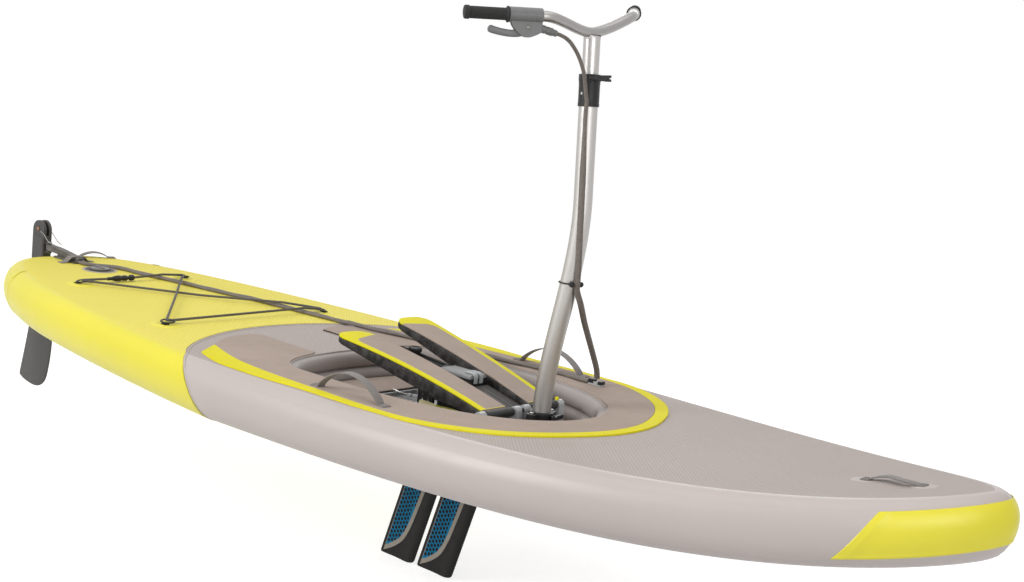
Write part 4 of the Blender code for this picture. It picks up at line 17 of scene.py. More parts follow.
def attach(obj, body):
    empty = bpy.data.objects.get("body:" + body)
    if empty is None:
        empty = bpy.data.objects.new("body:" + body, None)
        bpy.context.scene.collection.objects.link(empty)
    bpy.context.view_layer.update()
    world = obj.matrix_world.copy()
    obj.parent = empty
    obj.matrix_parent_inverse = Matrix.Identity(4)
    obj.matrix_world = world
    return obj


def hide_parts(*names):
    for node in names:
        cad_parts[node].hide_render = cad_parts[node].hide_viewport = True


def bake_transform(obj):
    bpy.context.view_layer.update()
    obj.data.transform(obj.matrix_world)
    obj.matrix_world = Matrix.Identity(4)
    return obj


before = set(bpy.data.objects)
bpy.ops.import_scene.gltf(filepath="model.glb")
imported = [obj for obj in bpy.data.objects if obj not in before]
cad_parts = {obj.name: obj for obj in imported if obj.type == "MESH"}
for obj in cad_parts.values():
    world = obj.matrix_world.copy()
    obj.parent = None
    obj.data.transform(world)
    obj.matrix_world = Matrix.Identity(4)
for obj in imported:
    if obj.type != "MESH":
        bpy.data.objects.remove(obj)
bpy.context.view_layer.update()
LOG = logging.getLogger("pedal_board")

Flat = tuple[float, float]
Triple = tuple[float, float, float]
Colour = Triple
Place = Sequence[float]
Rows = list[list[Vector]]
Outline = list[Flat]
Piece = bpy.types.Object
Socket = bpy.types.NodeSocket
Looks = tuple[object, object, Socket]

UP = Vector((0, 0, 1))
ORIGIN = Vector((0, 0, 0))


class Grain(Enum):
    """The pattern that a finish shows close up."""

    COATED = "coated fabric"
    RIBBED = "drop-stitch fabric"
    FOAM = "closed-cell foam"
    MOULDED = "moulded plastic"
    MOTTLED = "mottled moulding"
    BRUSHED = "brushed metal"
    BRAIDED = "braided sleeve"
    WOVEN = "woven webbing"
    KNURLED = "knurled sleeve"


class NodeSheet:
    """The nodes of one material, added and joined by short calls."""

    def __init__(self, name: str) -> None:
        """Start a material.

        Args:
            name: Name of the material.
        """
        self.material = bpy.data.materials.new(name)
        self.material.use_nodes = True
        self.tree = self.material.node_tree
        self.shader = self.tree.nodes["Principled BSDF"]
        self.place = self.add("ShaderNodeTexCoord").outputs["Object"]

    def add(self, kind: str, inputs: dict | None = None, **settings: object) -> bpy.types.Node:
        """Add a node.

        Args:
            kind: Type of the node.
            inputs: Value or joined socket of each input, by name or number.
            settings: Options of the node.

        Returns:
            The node.
        """
        node = self.tree.nodes.new(kind)
        for name, value in settings.items():
            setattr(node, name, value)
        for name, value in (inputs or {}).items():
            if isinstance(value, bpy.types.NodeSocket):
                self.tree.links.new(value, node.inputs[name])
            else:
                node.inputs[name].default_value = value
        return node

    def noise(self, scale: float, detail: float = 2.0, vector: object = None) -> Socket:
        """Return a noise value.

        Args:
            scale: Cells in a metre.
            detail: Levels of finer noise.
            vector: Place to read, or None for the object's own.

        Returns:
            The socket of the value.
        """
        inputs = {"Scale": scale, "Detail": detail, "Vector": vector or self.place}
        return self.add("ShaderNodeTexNoise", inputs).outputs[0]

    def scaled(self, scale: Place) -> Socket:
        """Return the piece's own place, stretched."""
        return self.add("ShaderNodeMapping", {"Vector": self.place, "Scale": scale}).outputs[0]

    def maths(self, step: str, *values: object) -> Socket:
        """Return the result of a sum on values or sockets."""
        return self.add("ShaderNodeMath", dict(enumerate(values)), operation=step).outputs[0]

    def wave(self, value: object, pitch: float) -> Socket:
        """Return a sine from -1 to 1 that repeats at a pitch."""
        return self.maths("SINE", self.maths("MULTIPLY", value, 2 * pi / pitch))

    def spread(self, value: object, low: float, high: float, to_low: float = 0.0,
               to_high: float = 1.0) -> Socket:
        """Return a value moved from one range to another, and held in it."""
        inputs = {"Value": value, "From Min": low, "From Max": high, "To Min": to_low, "To Max": to_high}
        return self.add("ShaderNodeMapRange", inputs).outputs[0]

    def blend(self, share: object, first: object, second: object) -> Socket:
        """Return a mix of two colours."""
        def full(colour: object) -> object:
            """Return a colour with its alpha."""
            return (*colour, 1.0) if isinstance(colour, tuple) and len(colour) == 3 else colour

        inputs = {0: share, 6: full(first), 7: full(second)}
        return self.add("ShaderNodeMix", inputs, data_type="RGBA").outputs[2]

    def bump(self, height: object, depth: float, under: object = None) -> Socket:
        """Return a normal raised by a height.

        Args:
            height: Socket of the height, 0 to 1.
            depth: Height of 1 in metres.
            under: Normal that this one lies on.

        Returns:
            The socket of the normal.
        """
        inputs = {"Height": height, "Distance": depth, "Strength": 1.0}
        if under is not None:
            inputs["Normal"] = under
        return self.add("ShaderNodeBump", inputs).outputs[0]

    def dress(self, **sockets: object) -> None:
        """Join sockets or values to the shader, with underscores for spaces."""
        for name, value in sockets.items():
            socket = self.shader.inputs[name.replace("_", " ").title().replace("Ior", "IOR")]
            if isinstance(value, bpy.types.NodeSocket):
                self.tree.links.new(value, socket)
            elif isinstance(value, tuple):
                socket.default_value = (*value[:3], 1.0)
            else:
                socket.default_value = value


@dataclass(frozen=True)
class Finish:
    """One surface of the board: its colours, its shine and its pattern."""

    name: str
    colour: Colour
    roughness: float = 0.5
    grain: Grain = Grain.MOULDED
    second: Colour | None = None
    metallic: float = 0.0
    pitch: float = 0.007
    depth: float = 0.0002
    sheen: float = 0.0
    specular: float = 0.5
    streak: Triple = (1.0, 1.0, 0.02)

    def material(self) -> bpy.types.Material:
        """Return the material, made once."""
        found = bpy.data.materials.get(self.name)
        if found is not None:
            return found
        sheet = NodeSheet(self.name)
        draw = {
            Grain.COATED: self._coated, Grain.RIBBED: self._ribbed, Grain.FOAM: self._foam,
            Grain.MOULDED: self._moulded, Grain.MOTTLED: self._mottled, Grain.BRUSHED: self._brushed,
            Grain.BRAIDED: self._braided, Grain.WOVEN: self._woven, Grain.KNURLED: self._knurled,
        }[self.grain]
        colour, rough, normal = draw(sheet)
        sheet.dress(base_color=colour, roughness=rough, normal=normal, metallic=self.metallic,
                    sheen_weight=self.sheen, specular_ior_level=self.specular)
        sheet.material.diffuse_color = (*self.colour, 1.0)
        return sheet.material

    def darker(self, share: float) -> Colour:
        """Return the colour at a share of its lightness."""
        return tuple(part * share for part in self.colour)

    def _rough(self, sheet: NodeSheet, value: object, down: float, up: float) -> Socket:
        """Return the roughness, which a value moves from below it to above it."""
        return sheet.spread(value, 0.3, 0.7, self.roughness - down, self.roughness + up)

    def _coated(self, sheet: NodeSheet) -> Looks:
        """Smooth coated fabric with a faint weave under the coat."""
        broad = sheet.spread(sheet.noise(2.2, 3.0), 0.35, 0.7)
        fine = sheet.noise(900.0, 1.0)
        scuff = sheet.spread(sheet.noise(38.0, 5.0), 0.52, 0.75)
        colour = sheet.blend(broad, self.darker(0.95), self.colour)
        colour = sheet.blend(sheet.spread(fine, 0.3, 0.7, 0.0, 0.06), colour, self.darker(0.6))
        rough = sheet.spread(scuff, 0.0, 1.0, self.roughness, self.roughness + 0.09)
        return colour, rough, sheet.bump(fine, self.depth * 0.3)

    def _ribbed(self, sheet: NodeSheet) -> Looks:
        """Fabric over rows of drop threads, which run slantwise over the board."""
        axes = sheet.add("ShaderNodeSeparateXYZ", {0: sheet.place}).outputs
        slant = sheet.maths("ADD", axes[0], axes[1])
        rows = sheet.spread(sheet.wave(slant, sqrt(2) * self.pitch), -1.0, 1.0)
        threads = sheet.spread(sheet.wave(axes[1], self.pitch / 2), -1.0, 1.0)
        broad = sheet.spread(sheet.noise(3.1, 3.0), 0.3, 0.75)
        fine = sheet.noise(700.0, 2.0)
        colour = sheet.blend(broad, self.darker(0.93), self.colour)
        # The valleys between the rows are darkened towards the second colour: painted shade.
        valley_shade = sheet.spread(rows, 0.0, 0.6, 0.30, 0.0)
        colour = sheet.blend(valley_shade, colour, self.second or self.darker(0.72))
        normal = sheet.bump(rows, self.depth, sheet.bump(threads, self.depth * 0.25))
        return colour, self._rough(sheet, fine, 0.05, 0.08), sheet.bump(fine, 0.00008, normal)

    def _foam(self, sheet: NodeSheet) -> Looks:
        """Foam sheet with pores and a brushed face."""
        pores = sheet.noise(650.0, 4.0)
        cloud = sheet.noise(22.0, 6.0)
        worn = sheet.spread(sheet.noise(5.0, 4.0), 0.56, 0.72, 0.0, 0.35)
        colour = sheet.blend(sheet.spread(cloud, 0.35, 0.7), self.darker(0.93), self.colour)
        colour = sheet.blend(sheet.spread(pores, 0.58, 0.74, 0.0, 0.32), colour, self.darker(0.55))
        colour = sheet.blend(worn, colour, self.second or tuple(min(1.0, c * 1.15) for c in self.colour))
        return colour, self._rough(sheet, cloud, 0.06, 0.04), sheet.bump(pores, self.depth)

    def _moulded(self, sheet: NodeSheet) -> Looks:
        """Moulded plastic with a fine spark-eroded texture."""
        cloud = sheet.noise(45.0, 4.0)
        colour = sheet.blend(sheet.spread(cloud, 0.3, 0.75), self.darker(0.86), self.colour)
        normal = sheet.bump(sheet.noise(1400.0, 3.0), self.depth * 0.4)
        return colour, self._rough(sheet, cloud, 0.05, 0.08), normal

    def _mottled(self, sheet: NodeSheet) -> Looks:
        """Rough moulding, clouded like slate."""
        cloud = sheet.noise(55.0, 9.0)
        scratch = sheet.noise(1.0, 6.0, sheet.scaled((60.0, 60.0, 420.0)))
        colour = sheet.blend(sheet.spread(cloud, 0.38, 0.68), self.colour, self.second)
        colour = sheet.blend(sheet.spread(scratch, 0.5, 0.7, 0.0, 0.3), colour, self.second)
        height = sheet.maths("ADD", cloud, sheet.maths("MULTIPLY", sheet.noise(700.0, 3.0), 0.3))
        return colour, self._rough(sheet, cloud, 0.0, -0.15), sheet.bump(height, self.depth)

    def _brushed(self, sheet: NodeSheet) -> Looks:
        """Metal drawn along its length."""
        lines = sheet.noise(1500.0, 3.0, sheet.scaled(self.streak))
        cloud = sheet.noise(14.0, 5.0)
        colour = sheet.blend(sheet.spread(lines, 0.3, 0.7), self.darker(0.92), self.colour)
        colour = sheet.blend(sheet.spread(cloud, 0.5, 0.8, 0.0, 0.2), colour, self.darker(0.88))
        return colour, self._rough(sheet, lines, 0.03, 0.05), sheet.bump(lines, self.depth * 0.02)

    def _along(self, sheet: NodeSheet) -> tuple[Socket, Socket]:
        """Return the way round or across a strip, and the way along it, in metres."""
        read = sheet.add("ShaderNodeUVMap", uv_map="along").outputs[0]
        axes = sheet.add("ShaderNodeSeparateXYZ", {0: read}).outputs
        return axes[0], axes[1]

    def _braided(self, sheet: NodeSheet) -> Looks:
        """Threads that cross each other round a sleeve."""
        across, along = self._along(sheet)
        left = sheet.wave(sheet.maths("ADD", across, along), self.pitch)
        right = sheet.wave(sheet.maths("SUBTRACT", across, along), self.pitch)
        over = sheet.spread(sheet.maths("MULTIPLY", left, right), -0.7, 0.7)
        top = sheet.spread(sheet.maths("MAXIMUM", left, right), -0.3, 1.0)
        worn = sheet.spread(sheet.noise(160.0, 3.0), 0.35, 0.7, 0.0, 0.35)
        colour = sheet.blend(over, self.colour, self.second or self.darker(1.6))
        colour = sheet.blend(worn, colour, self.darker(0.5))
        return colour, self.roughness, sheet.bump(top, self.depth)

    def _woven(self, sheet: NodeSheet) -> Looks:
        """Webbing: twill ribs along the strap with cross threads."""
        across, along = self._along(sheet)
        lines = sheet.maths("ADD", across, sheet.maths("MULTIPLY", along, 0.5))
        warp = sheet.spread(sheet.wave(lines, self.pitch), -1, 1)
        weft = sheet.spread(sheet.wave(along, 0.0011), -1, 1)
        height = sheet.maths("MULTIPLY", warp, weft)
        # The colour follows the height: painted shade in the dips between the threads and a painted highlight
        # on their crowns.
        colour = sheet.blend(height, self.darker(0.72), self.second or self.colour)
        return colour, self.roughness, sheet.bump(height, self.depth)

    def _knurled(self, sheet: NodeSheet) -> Looks:
        """Sleeve with fine grooves along it."""
        across, along = self._along(sheet)
        ridge = sheet.spread(sheet.wave(across, self.pitch), -1, 1)
        band = sheet.spread(sheet.wave(along, 2 * self.pitch), -1, 1)
        height = sheet.maths("ADD", ridge, sheet.maths("MULTIPLY", band, 0.35))
        # The grooves are darkened: painted shade.
        colour = sheet.blend(sheet.spread(ridge, 0.0, 0.6), self.darker(0.55), self.colour)
        rough = self._rough(sheet, sheet.noise(900.0, 2.0), 0.05, 0.08)
        return colour, rough, sheet.bump(height, self.depth)


RAIL_GREY = Finish("rail_grey", (0.55, 0.49, 0.47), 0.36, Grain.COATED)
DECK_GREY = Finish("deck_grey", (0.47, 0.41, 0.385), 0.6, Grain.RIBBED, pitch=0.0078, depth=0.0005,
                   specular=0.35)
# Darker than the rail: partly the bottom fabric's own grey, partly painted shade on the underside.
BOTTOM_GREY_AND_SHADE = Finish("bottom_grey", (0.36, 0.33, 0.32), 0.5, Grain.COATED)
LINING_GREY = Finish("lining_grey", (0.39, 0.352, 0.337), 0.5, Grain.COATED, specular=0.25)
RAIL_YELLOW = Finish("rail_yellow", (0.84, 0.76, 0.045), 0.36, Grain.COATED)
# Its second colour is the painted shade in the valleys between the ribs.
DECK_YELLOW = Finish("deck_yellow", (0.92, 0.81, 0.13), 0.6, Grain.RIBBED, (0.66, 0.57, 0.10),
                     pitch=0.0078, depth=0.0005, specular=0.35)
PATCH_YELLOW = Finish("patch_yellow", (0.88, 0.79, 0.08), 0.5, Grain.COATED)
PATCH_GREY = Finish("patch_grey", (0.50, 0.44, 0.42), 0.5, Grain.COATED)
PAD_TAN = Finish("pad_tan_foam", (0.465, 0.38, 0.33), 0.9, Grain.FOAM, specular=0.15)
PAD_EDGE = Finish("pad_cut_edge", (0.06, 0.045, 0.038), 0.9, Grain.FOAM)
PAD_YELLOW = Finish("pad_yellow_foam", (0.82, 0.74, 0.0), 0.75, Grain.FOAM, (0.84, 0.77, 0.05))
# Its second colour is the painted highlight on the crowns of the weave.
WEBBING = Finish("grey_webbing", (0.24, 0.22, 0.212), 0.75, Grain.WOVEN, (0.42, 0.385, 0.37), pitch=0.0022,
                 depth=0.0003, sheen=0.15)
BUNGEE = Finish("bungee_braid", (0.065, 0.06, 0.056), 0.7, Grain.BRAIDED, (0.16, 0.15, 0.14), pitch=0.0026,
                depth=0.0003)
SLEEVE = Finish("cable_braid", (0.12, 0.10, 0.088), 0.75, Grain.BRAIDED, (0.30, 0.265, 0.24), pitch=0.0047,
                depth=0.0005, sheen=0.1)
BLACK = Finish("black_moulding", (0.013, 0.013, 0.014), 0.42, specular=0.35)
SLATE = Finish("pedal_slate", (0.014, 0.0135, 0.013), 0.62, Grain.MOTTLED, (0.062, 0.059, 0.057),
               depth=0.0007, specular=0.2)
KNURL = Finish("knurled_black", (0.02, 0.02, 0.02), 0.5, Grain.KNURLED, pitch=0.0031, depth=0.0004)
CHARCOAL = Finish("charcoal_moulding", (0.052, 0.052, 0.053), 0.45)
RUDDER_GREY = Finish("rudder_grey", (0.060, 0.057, 0.055), 0.45)
LEVER_GREY = Finish("lever_grey", (0.18, 0.182, 0.184), 0.4)
PALE = Finish("pale_moulding", (0.45, 0.46, 0.47), 0.38)
LEDGE = Finish("tray_grey", (0.33, 0.33, 0.335), 0.35)
TUBE = Finish("drawn_alloy", (0.50, 0.485, 0.47), 0.42, Grain.BRUSHED, metallic=1.0)
SLIDE_TUBE = Finish("drawn_alloy_slide", (0.50, 0.485, 0.47), 0.34, Grain.BRUSHED, metallic=1.0)
# The bar's alloy is a darker copy of the post's: painted shade for the dark surroundings that the bar
# reflects.
BAR_TUBE_SHADED = Finish("drawn_alloy_bar", (0.36, 0.35, 0.34), 0.34, Grain.BRUSHED, metallic=1.0,
                  streak=(1.0, 0.02, 1.0))
STEEL = Finish("turned_steel", (0.42, 0.41, 0.40), 0.22, Grain.BRUSHED, metallic=1.0,
               streak=(0.1, 1.0, 1.0))
DARK_STEEL = Finish("dark_screw", (0.13, 0.12, 0.11), 0.3, Grain.BRUSHED, metallic=1.0)
COPPER = Finish("copper_bolt", (0.42, 0.22, 0.13), 0.3, Grain.BRUSHED, metallic=1.0)
FIN_BLACK = Finish("fin_black", (0.012, 0.011, 0.011), 0.5, specular=0.2)
FIN_STRIPE = Finish("fin_stripe", (0.40, 0.36, 0.31), 0.5)
FIN_BLUE = Finish("fin_blue", (0.005, 0.25, 0.50), 0.5, specular=0.15)
FIN_CELL = Finish("fin_cell", (0.005, 0.0045, 0.0045), 0.6, specular=0.15)
GRIP = Finish("grip_rubber", (0.022, 0.021, 0.021), 0.62, Grain.KNURLED, pitch=0.0026, depth=0.00035)
TAG_CREAM = Finish("tag_cream", (0.62, 0.56, 0.30), 0.5)
TAG_LIME = Finish("tag_lime", (0.30, 0.32, 0.0), 0.5)
THREAD = Finish("stitch_thread", (0.16, 0.155, 0.15), 0.6)
VALVE_RIM = Finish("valve_rim", (0.50, 0.45, 0.33), 0.45)
VALVE_GREY = Finish("valve_grey", (0.20, 0.19, 0.175), 0.42)
BRACKET = Finish("clear_grey_moulding", (0.50, 0.515, 0.53), 0.25)
COVER_GREY = Finish("cover_grey", (0.27, 0.275, 0.28), 0.4)
BAND_GREY = Finish("band_grey", (0.40, 0.42, 0.43), 0.4)
APRON_GREY = Finish("apron_grey", (0.055, 0.050, 0.047), 0.5, specular=0.25)
ARM_GREY = Finish("arm_grey", (0.075, 0.070, 0.066), 0.6, Grain.MOTTLED, (0.15, 0.14, 0.13), depth=0.0003)
FLOOR = Finish("studio_floor_white", (0.66, 0.66, 0.66), 0.9)


@dataclass
class Draft:
    """The points and faces of a piece while it is drawn."""

    name: str
    points: list[Vector] = field(default_factory=list)
    faces: list[tuple[int, ...]] = field(default_factory=list)
    slots: list[int] = field(default_factory=list)
    along: list[Flat] = field(default_factory=list)

    def face(self, corners: Sequence[Place], slot: int = 0, marks: Sequence | None = None) -> None:
        """Add one face.

        Args:
            corners: Points of its corners.
            slot: Number of its finish.
            marks: Way across and along at each corner.
        """
        start = len(self.points)
        self.points += [Vector(corner) for corner in corners]
        self.faces.append(tuple(range(start, start + len(corners))))
        self.slots.append(slot)
        self.along += list(marks) if marks else [(0.0, 0.0)] * len(corners)

    def grid(self, rows: Rows, closed: bool = False, looped: bool = False, slot: int = 0,
             caps: bool = False, pick: Callable[[int, int], int] | None = None) -> "Draft":
        """Add the faces between rows of points.

        Args:
            rows: Rows of points, all of the same length.
            closed: Whether each row is a ring.
            looped: Whether the last row joins the first.
            slot: Number of the finish.
            caps: Whether the first and last row are filled.
            pick: Finish number of the face at a row and column.

        Returns:
            The draft.
        """
        size = len(rows[0])
        steps = [0.0]
        for low, high in zip(rows, rows[1:] + rows[:1]):
            steps.append(steps[-1] + (Vector(high[0]) - Vector(low[0])).length)
        across = []
        for row in rows:
            reach = [0.0]
            for a, b in zip(row, list(row[1:]) + [row[0]]):
                reach.append(reach[-1] + (Vector(b) - Vector(a)).length)
            across.append(reach)
        for i in range(len(rows) if looped else len(rows) - 1):
            j = (i + 1) % len(rows)
            for k in range(size if closed else size - 1):
                n = (k + 1) % size
                corners = [rows[i][k], rows[i][n], rows[j][n], rows[j][k]]
                marks = [(across[i][k], steps[i]), (across[i][k + 1], steps[i]),
                         (across[i][k + 1], steps[i + 1]), (across[i][k], steps[i + 1])]
                self.face(corners, pick(i, k) if pick else slot, marks)
        if caps:
            self.face(list(rows[0])[::-1], slot)
            self.face(rows[-1], slot)
        return self

    def turned(self, profile: Sequence[Flat], base: Place = ORIGIN, direction: Place = UP,
               sides: int = 32, slot: int = 0) -> "Draft":
        """Add a profile of radius and height, turned about a direction."""
        turn = UP.rotation_difference(Vector(direction).normalized()).to_matrix()
        rows = []
        for radius, height in profile:
            ring = circle(max(radius, 1e-6), sides)
            rows.append([Vector(base) + turn @ Vector((x, y, height)) for x, y in ring])
        return self.grid(rows, closed=True, slot=slot)

    def rod(self, radius: float, start: Place, end: Place, edge: float = 0.0006,
            sides: int = 24) -> "Draft":
        """Add a round rod with eased ends."""
        length = (Vector(end) - Vector(start)).length
        profile = [(0, 0), (radius - edge, 0), (radius, edge), (radius, length - edge),
                   (radius - edge, length), (0, length)]
        return self.turned(profile, start, Vector(end) - Vector(start), sides)

    def tube(self, path: Sequence[Place], radius: float | Callable[[float], float], sides: int = 16,
             caps: bool = True, flat: float = 1.0) -> "Draft":
        """Add a round or flattened tube along a path.

        Args:
            path: Points of the centre line.
            radius: Radius, or a rule that gives it at a share of the way.
            sides: Faces round the tube.
            caps: Whether the ends are filled.
            flat: Height of the section over its width.

        Returns:
            The draft.
        """
        frames = carried(path)
        rows = []
        for i, (place, _, side, up) in enumerate(frames):
            reach = radius(i / (len(frames) - 1)) if callable(radius) else radius
            rows.append([place + side * x + up * (flat * y) for x, y in circle(reach, sides)])
        return self.grid(rows, closed=True, caps=caps)

    def prism(self, outline: Sequence[Flat], axis: str, low: float, high: float) -> "Draft":
        """Add an outline drawn out along x, y or z."""
        def put(a: float, b: float, c: float) -> Vector:
            """Return a point of the outline at a level."""
            return Vector({"x": (c, a, b), "y": (a, c, b), "z": (a, b, c)}[axis])

        rows = [[put(a, b, level) for a, b in outline] for level in (low, high)]
        return self.grid(rows, closed=True, caps=True)

    def block(self, low: Place, high: Place) -> "Draft":
        """Add a block between two corners."""
        outline = [(low[0], low[1]), (high[0], low[1]), (high[0], high[1]), (low[0], high[1])]
        return self.prism(outline, "z", low[2], high[2])

    def placed(self, matrix: Matrix) -> "Draft":
        """Move all that is drawn so far."""
        self.points = [matrix @ point for point in self.points]
        return self

    def made(self, *finishes: Finish, sharp: float = 35.0, round_edges: float = 0.0, segments: int = 2,
             outward: bool = True) -> Piece:
        """Make the object.

        Args:
            finishes: Its finishes, by number.
            sharp: Angle past which an edge shows, in degrees.
            round_edges: Width of a bevel on its edges, or 0.
            segments: Faces across that bevel.
            outward: Whether its faces are turned outwards.

        Returns:
            The object.
        """
        mesh = bpy.data.meshes.new(self.name)
        mesh.from_pydata(self.points, [], self.faces)
        for finish in finishes:
            mesh.materials.append(finish.material())
        mesh.polygons.foreach_set("material_index", self.slots)
        layer = mesh.uv_layers.new(name="along")
        for loop, mark in zip(layer.data, self.along):
            loop.uv = mark
        work = bmesh.new()
        work.from_mesh(mesh)
        bmesh.ops.remove_doubles(work, verts=work.verts, dist=4e-6)
        bmesh.ops.dissolve_degenerate(work, edges=work.edges, dist=1e-7)
        if outward:
            bmesh.ops.recalc_face_normals(work, faces=work.faces)
        work.to_mesh(mesh)
        work.free()
        mesh.shade_smooth()
        mesh.set_sharp_from_angle(angle=radians(sharp))
        piece = in_scene(self.name, mesh)
        if round_edges:
            bevel = piece.modifiers.new("round_edges", "BEVEL")
            bevel.width = round_edges
            bevel.segments = segments
            bevel.limit_method = "ANGLE"
            bevel.angle_limit = radians(sharp)
            bevel.harden_normals = True
        return piece


def in_scene(name: str, data: bpy.types.ID) -> Piece:
    """Make an object of its data and put it in the scene."""
    piece = bpy.data.objects.new(name, data)
    bpy.context.scene.collection.objects.link(piece)
    return piece


def ways_along(points: Sequence[Vector]) -> list[Vector]:
    """Return the direction of a line at each of its points."""
    last = len(points) - 1
    return [(points[min(i + 1, last)] - points[max(i - 1, 0)]).normalized() for i in range(last + 1)]


def carried(path: Sequence[Place]) -> list[tuple[Vector, Vector, Vector, Vector]]:
    """Return the place, tangent and two square directions at each point of a path."""
    points = [Vector(p) for p in path]
    tangents = ways_along(points)
    side = tangents[0].cross(UP)
    if side.length < 0.1:
        side = tangents[0].cross(Vector((1, 0, 0)))
    frames = []
    for i, tangent in enumerate(tangents):
        if i:
            side = tangents[i - 1].rotation_difference(tangent) @ side
        side = (side - tangent * side.dot(tangent)).normalized()
        frames.append((points[i], tangent, side, tangent.cross(side)))
    return frames


def smooth_path(points: Sequence[Place], count: int) -> list[Vector]:
    """Return evenly spread points on a smooth curve through the given points."""
    marks = [Vector(p) for p in points]
    ends = [2 * marks[0] - marks[1]] + marks + [2 * marks[-1] - marks[-2]]
    dense = []
    for i in range(1, len(ends) - 2):
        p0, p1, p2, p3 = ends[i - 1:i + 3]
        for k in range(24):
            t = k / 24
            dense.append(0.5 * (2 * p1 + (p2 - p0) * t + (2 * p0 - 5 * p1 + 4 * p2 - p3) * t * t
                                + (3 * p1 - p0 - 3 * p2 + p3) * t ** 3))
    dense.append(marks[-1])
    lengths = [0.0]
    for a, b in zip(dense, dense[1:]):
        lengths.append(lengths[-1] + (b - a).length)
    spread, at = [], 0
    for k in range(count):
        goal = lengths[-1] * k / (count - 1)
        while at < len(lengths) - 2 and lengths[at + 1] < goal:
            at += 1
        share = (goal - lengths[at]) / max(lengths[at + 1] - lengths[at], 1e-12)
        spread.append(dense[at].lerp(dense[at + 1], min(share, 1.0)))
    return spread


def spread_2d(points: Sequence[Flat], count: int) -> Outline:
    """Return evenly spread points on a smooth plan curve."""
    return [(p.x, p.y) for p in smooth_path([(x, y, 0.0) for x, y in points], count)]


def circle(radius: float, count: int) -> Outline:
    """Return points evenly spread on a circle."""
    return [(radius * cos(2 * pi * k / count), radius * sin(2 * pi * k / count)) for k in range(count)]


def at_height(outline: Iterable[Flat], z: float) -> list[Vector]:
    """Return the points of a plan outline at a height."""
    return [Vector((x, y, z)) for x, y in outline]


def arc(centre: Flat, radius: float, start: float, end: float, steps: int) -> Outline:
    """Return points on an arc, with the angles in degrees."""
    turns = [radians(start + (end - start) * i / steps) for i in range(steps + 1)]
    return [(centre[0] + radius * cos(turn), centre[1] + radius * sin(turn)) for turn in turns]


def rounded(half_x: float, half_y: float, radius: float, steps: int = 6,
            centre: Flat = (0.0, 0.0)) -> Outline:
    """Return a rectangle outline with round corners."""
    points = []
    for quarter, (sx, sy) in enumerate(((1, 1), (-1, 1), (-1, -1), (1, -1))):
        middle = (centre[0] + sx * (half_x - radius), centre[1] + sy * (half_y - radius))
        points += arc(middle, radius, 90 * quarter, 90 * quarter + 90, steps)
    return points


def moved_right(points: Sequence[Flat], distance: float,
                closed: bool = True) -> Outline:
    """Return a plan line moved to its right by a distance."""
    moved = []
    last = len(points) - 1
    for i, (x, y) in enumerate(points):
        before = points[i - 1] if closed else points[max(i - 1, 0)]
        after = points[(i + 1) % len(points)] if closed else points[min(i + 1, last)]
        dx, dy = after[0] - before[0], after[1] - before[1]
        size = hypot(dx, dy)
        moved.append((x + distance * dy / size, y - distance * dx / size))
    return moved


def drawn_in(radius: float, along: float) -> float:
    """Return how far a round corner draws an edge in, at a distance from the corner's end."""
    left = max(0.0, radius - along)
    return radius - sqrt(max(0.0, radius ** 2 - left ** 2))


def held(value: float) -> float:
    """Return a share kept between 0 and 1."""
    return min(1.0, max(0.0, value))


def signed(value: float, power: float) -> float:
    """Return a value raised to a power, with its sign kept."""
    return abs(value) ** power * (1 if value >= 0 else -1)


def heading(angle: float) -> Vector:
    """Return the plan direction at an angle from the bow, turning to port."""
    return Vector((cos(radians(angle)), sin(radians(angle)), 0.0))


def baked(piece: Piece) -> Piece:
    """Turn what a piece's modifiers make into its plain mesh."""
    graph = bpy.context.evaluated_depsgraph_get()
    mesh = bpy.data.meshes.new_from_object(piece.evaluated_get(graph), preserve_all_data_layers=True,
                                           depsgraph=graph)
    piece.modifiers.clear()
    piece.data = mesh
    mesh.name = piece.name
    return piece


def carved(piece: Piece, *cutters: Piece, sharp: float = 35.0) -> Piece:
    """Cut pieces out of another, and remove them."""
    for cutter in cutters:
        step = piece.modifiers.new("cut", "BOOLEAN")
        step.operation = "DIFFERENCE"
        step.solver = "EXACT"
        step.object = cutter
    baked(piece)
    for cutter in cutters:
        bpy.data.objects.remove(cutter)
    piece.data.shade_smooth()
    piece.data.set_sharp_from_angle(angle=radians(sharp))
    return piece


def settle(piece: Piece, body: str, slot: str, *nodes: str) -> Piece:
    """Put a finished piece on its body.

    Args:
        piece: The piece.
        body: Name of the body that it rides on.
        slot: The record's material slot; not used.
        nodes: Solids that it stands for.

    Returns:
        The piece.
    """
    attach(piece, body)
    if nodes:
        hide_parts(*nodes)
    LOG.info("%s rides on %s", piece.name, body)
    return piece


def coat(node: str, finish: Finish) -> None:
    """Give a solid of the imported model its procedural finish."""
    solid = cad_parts[node]
    solid.data.materials.clear()
    solid.data.materials.append(finish.material())
    LOG.info("%s is coated with %s", node, finish.name)


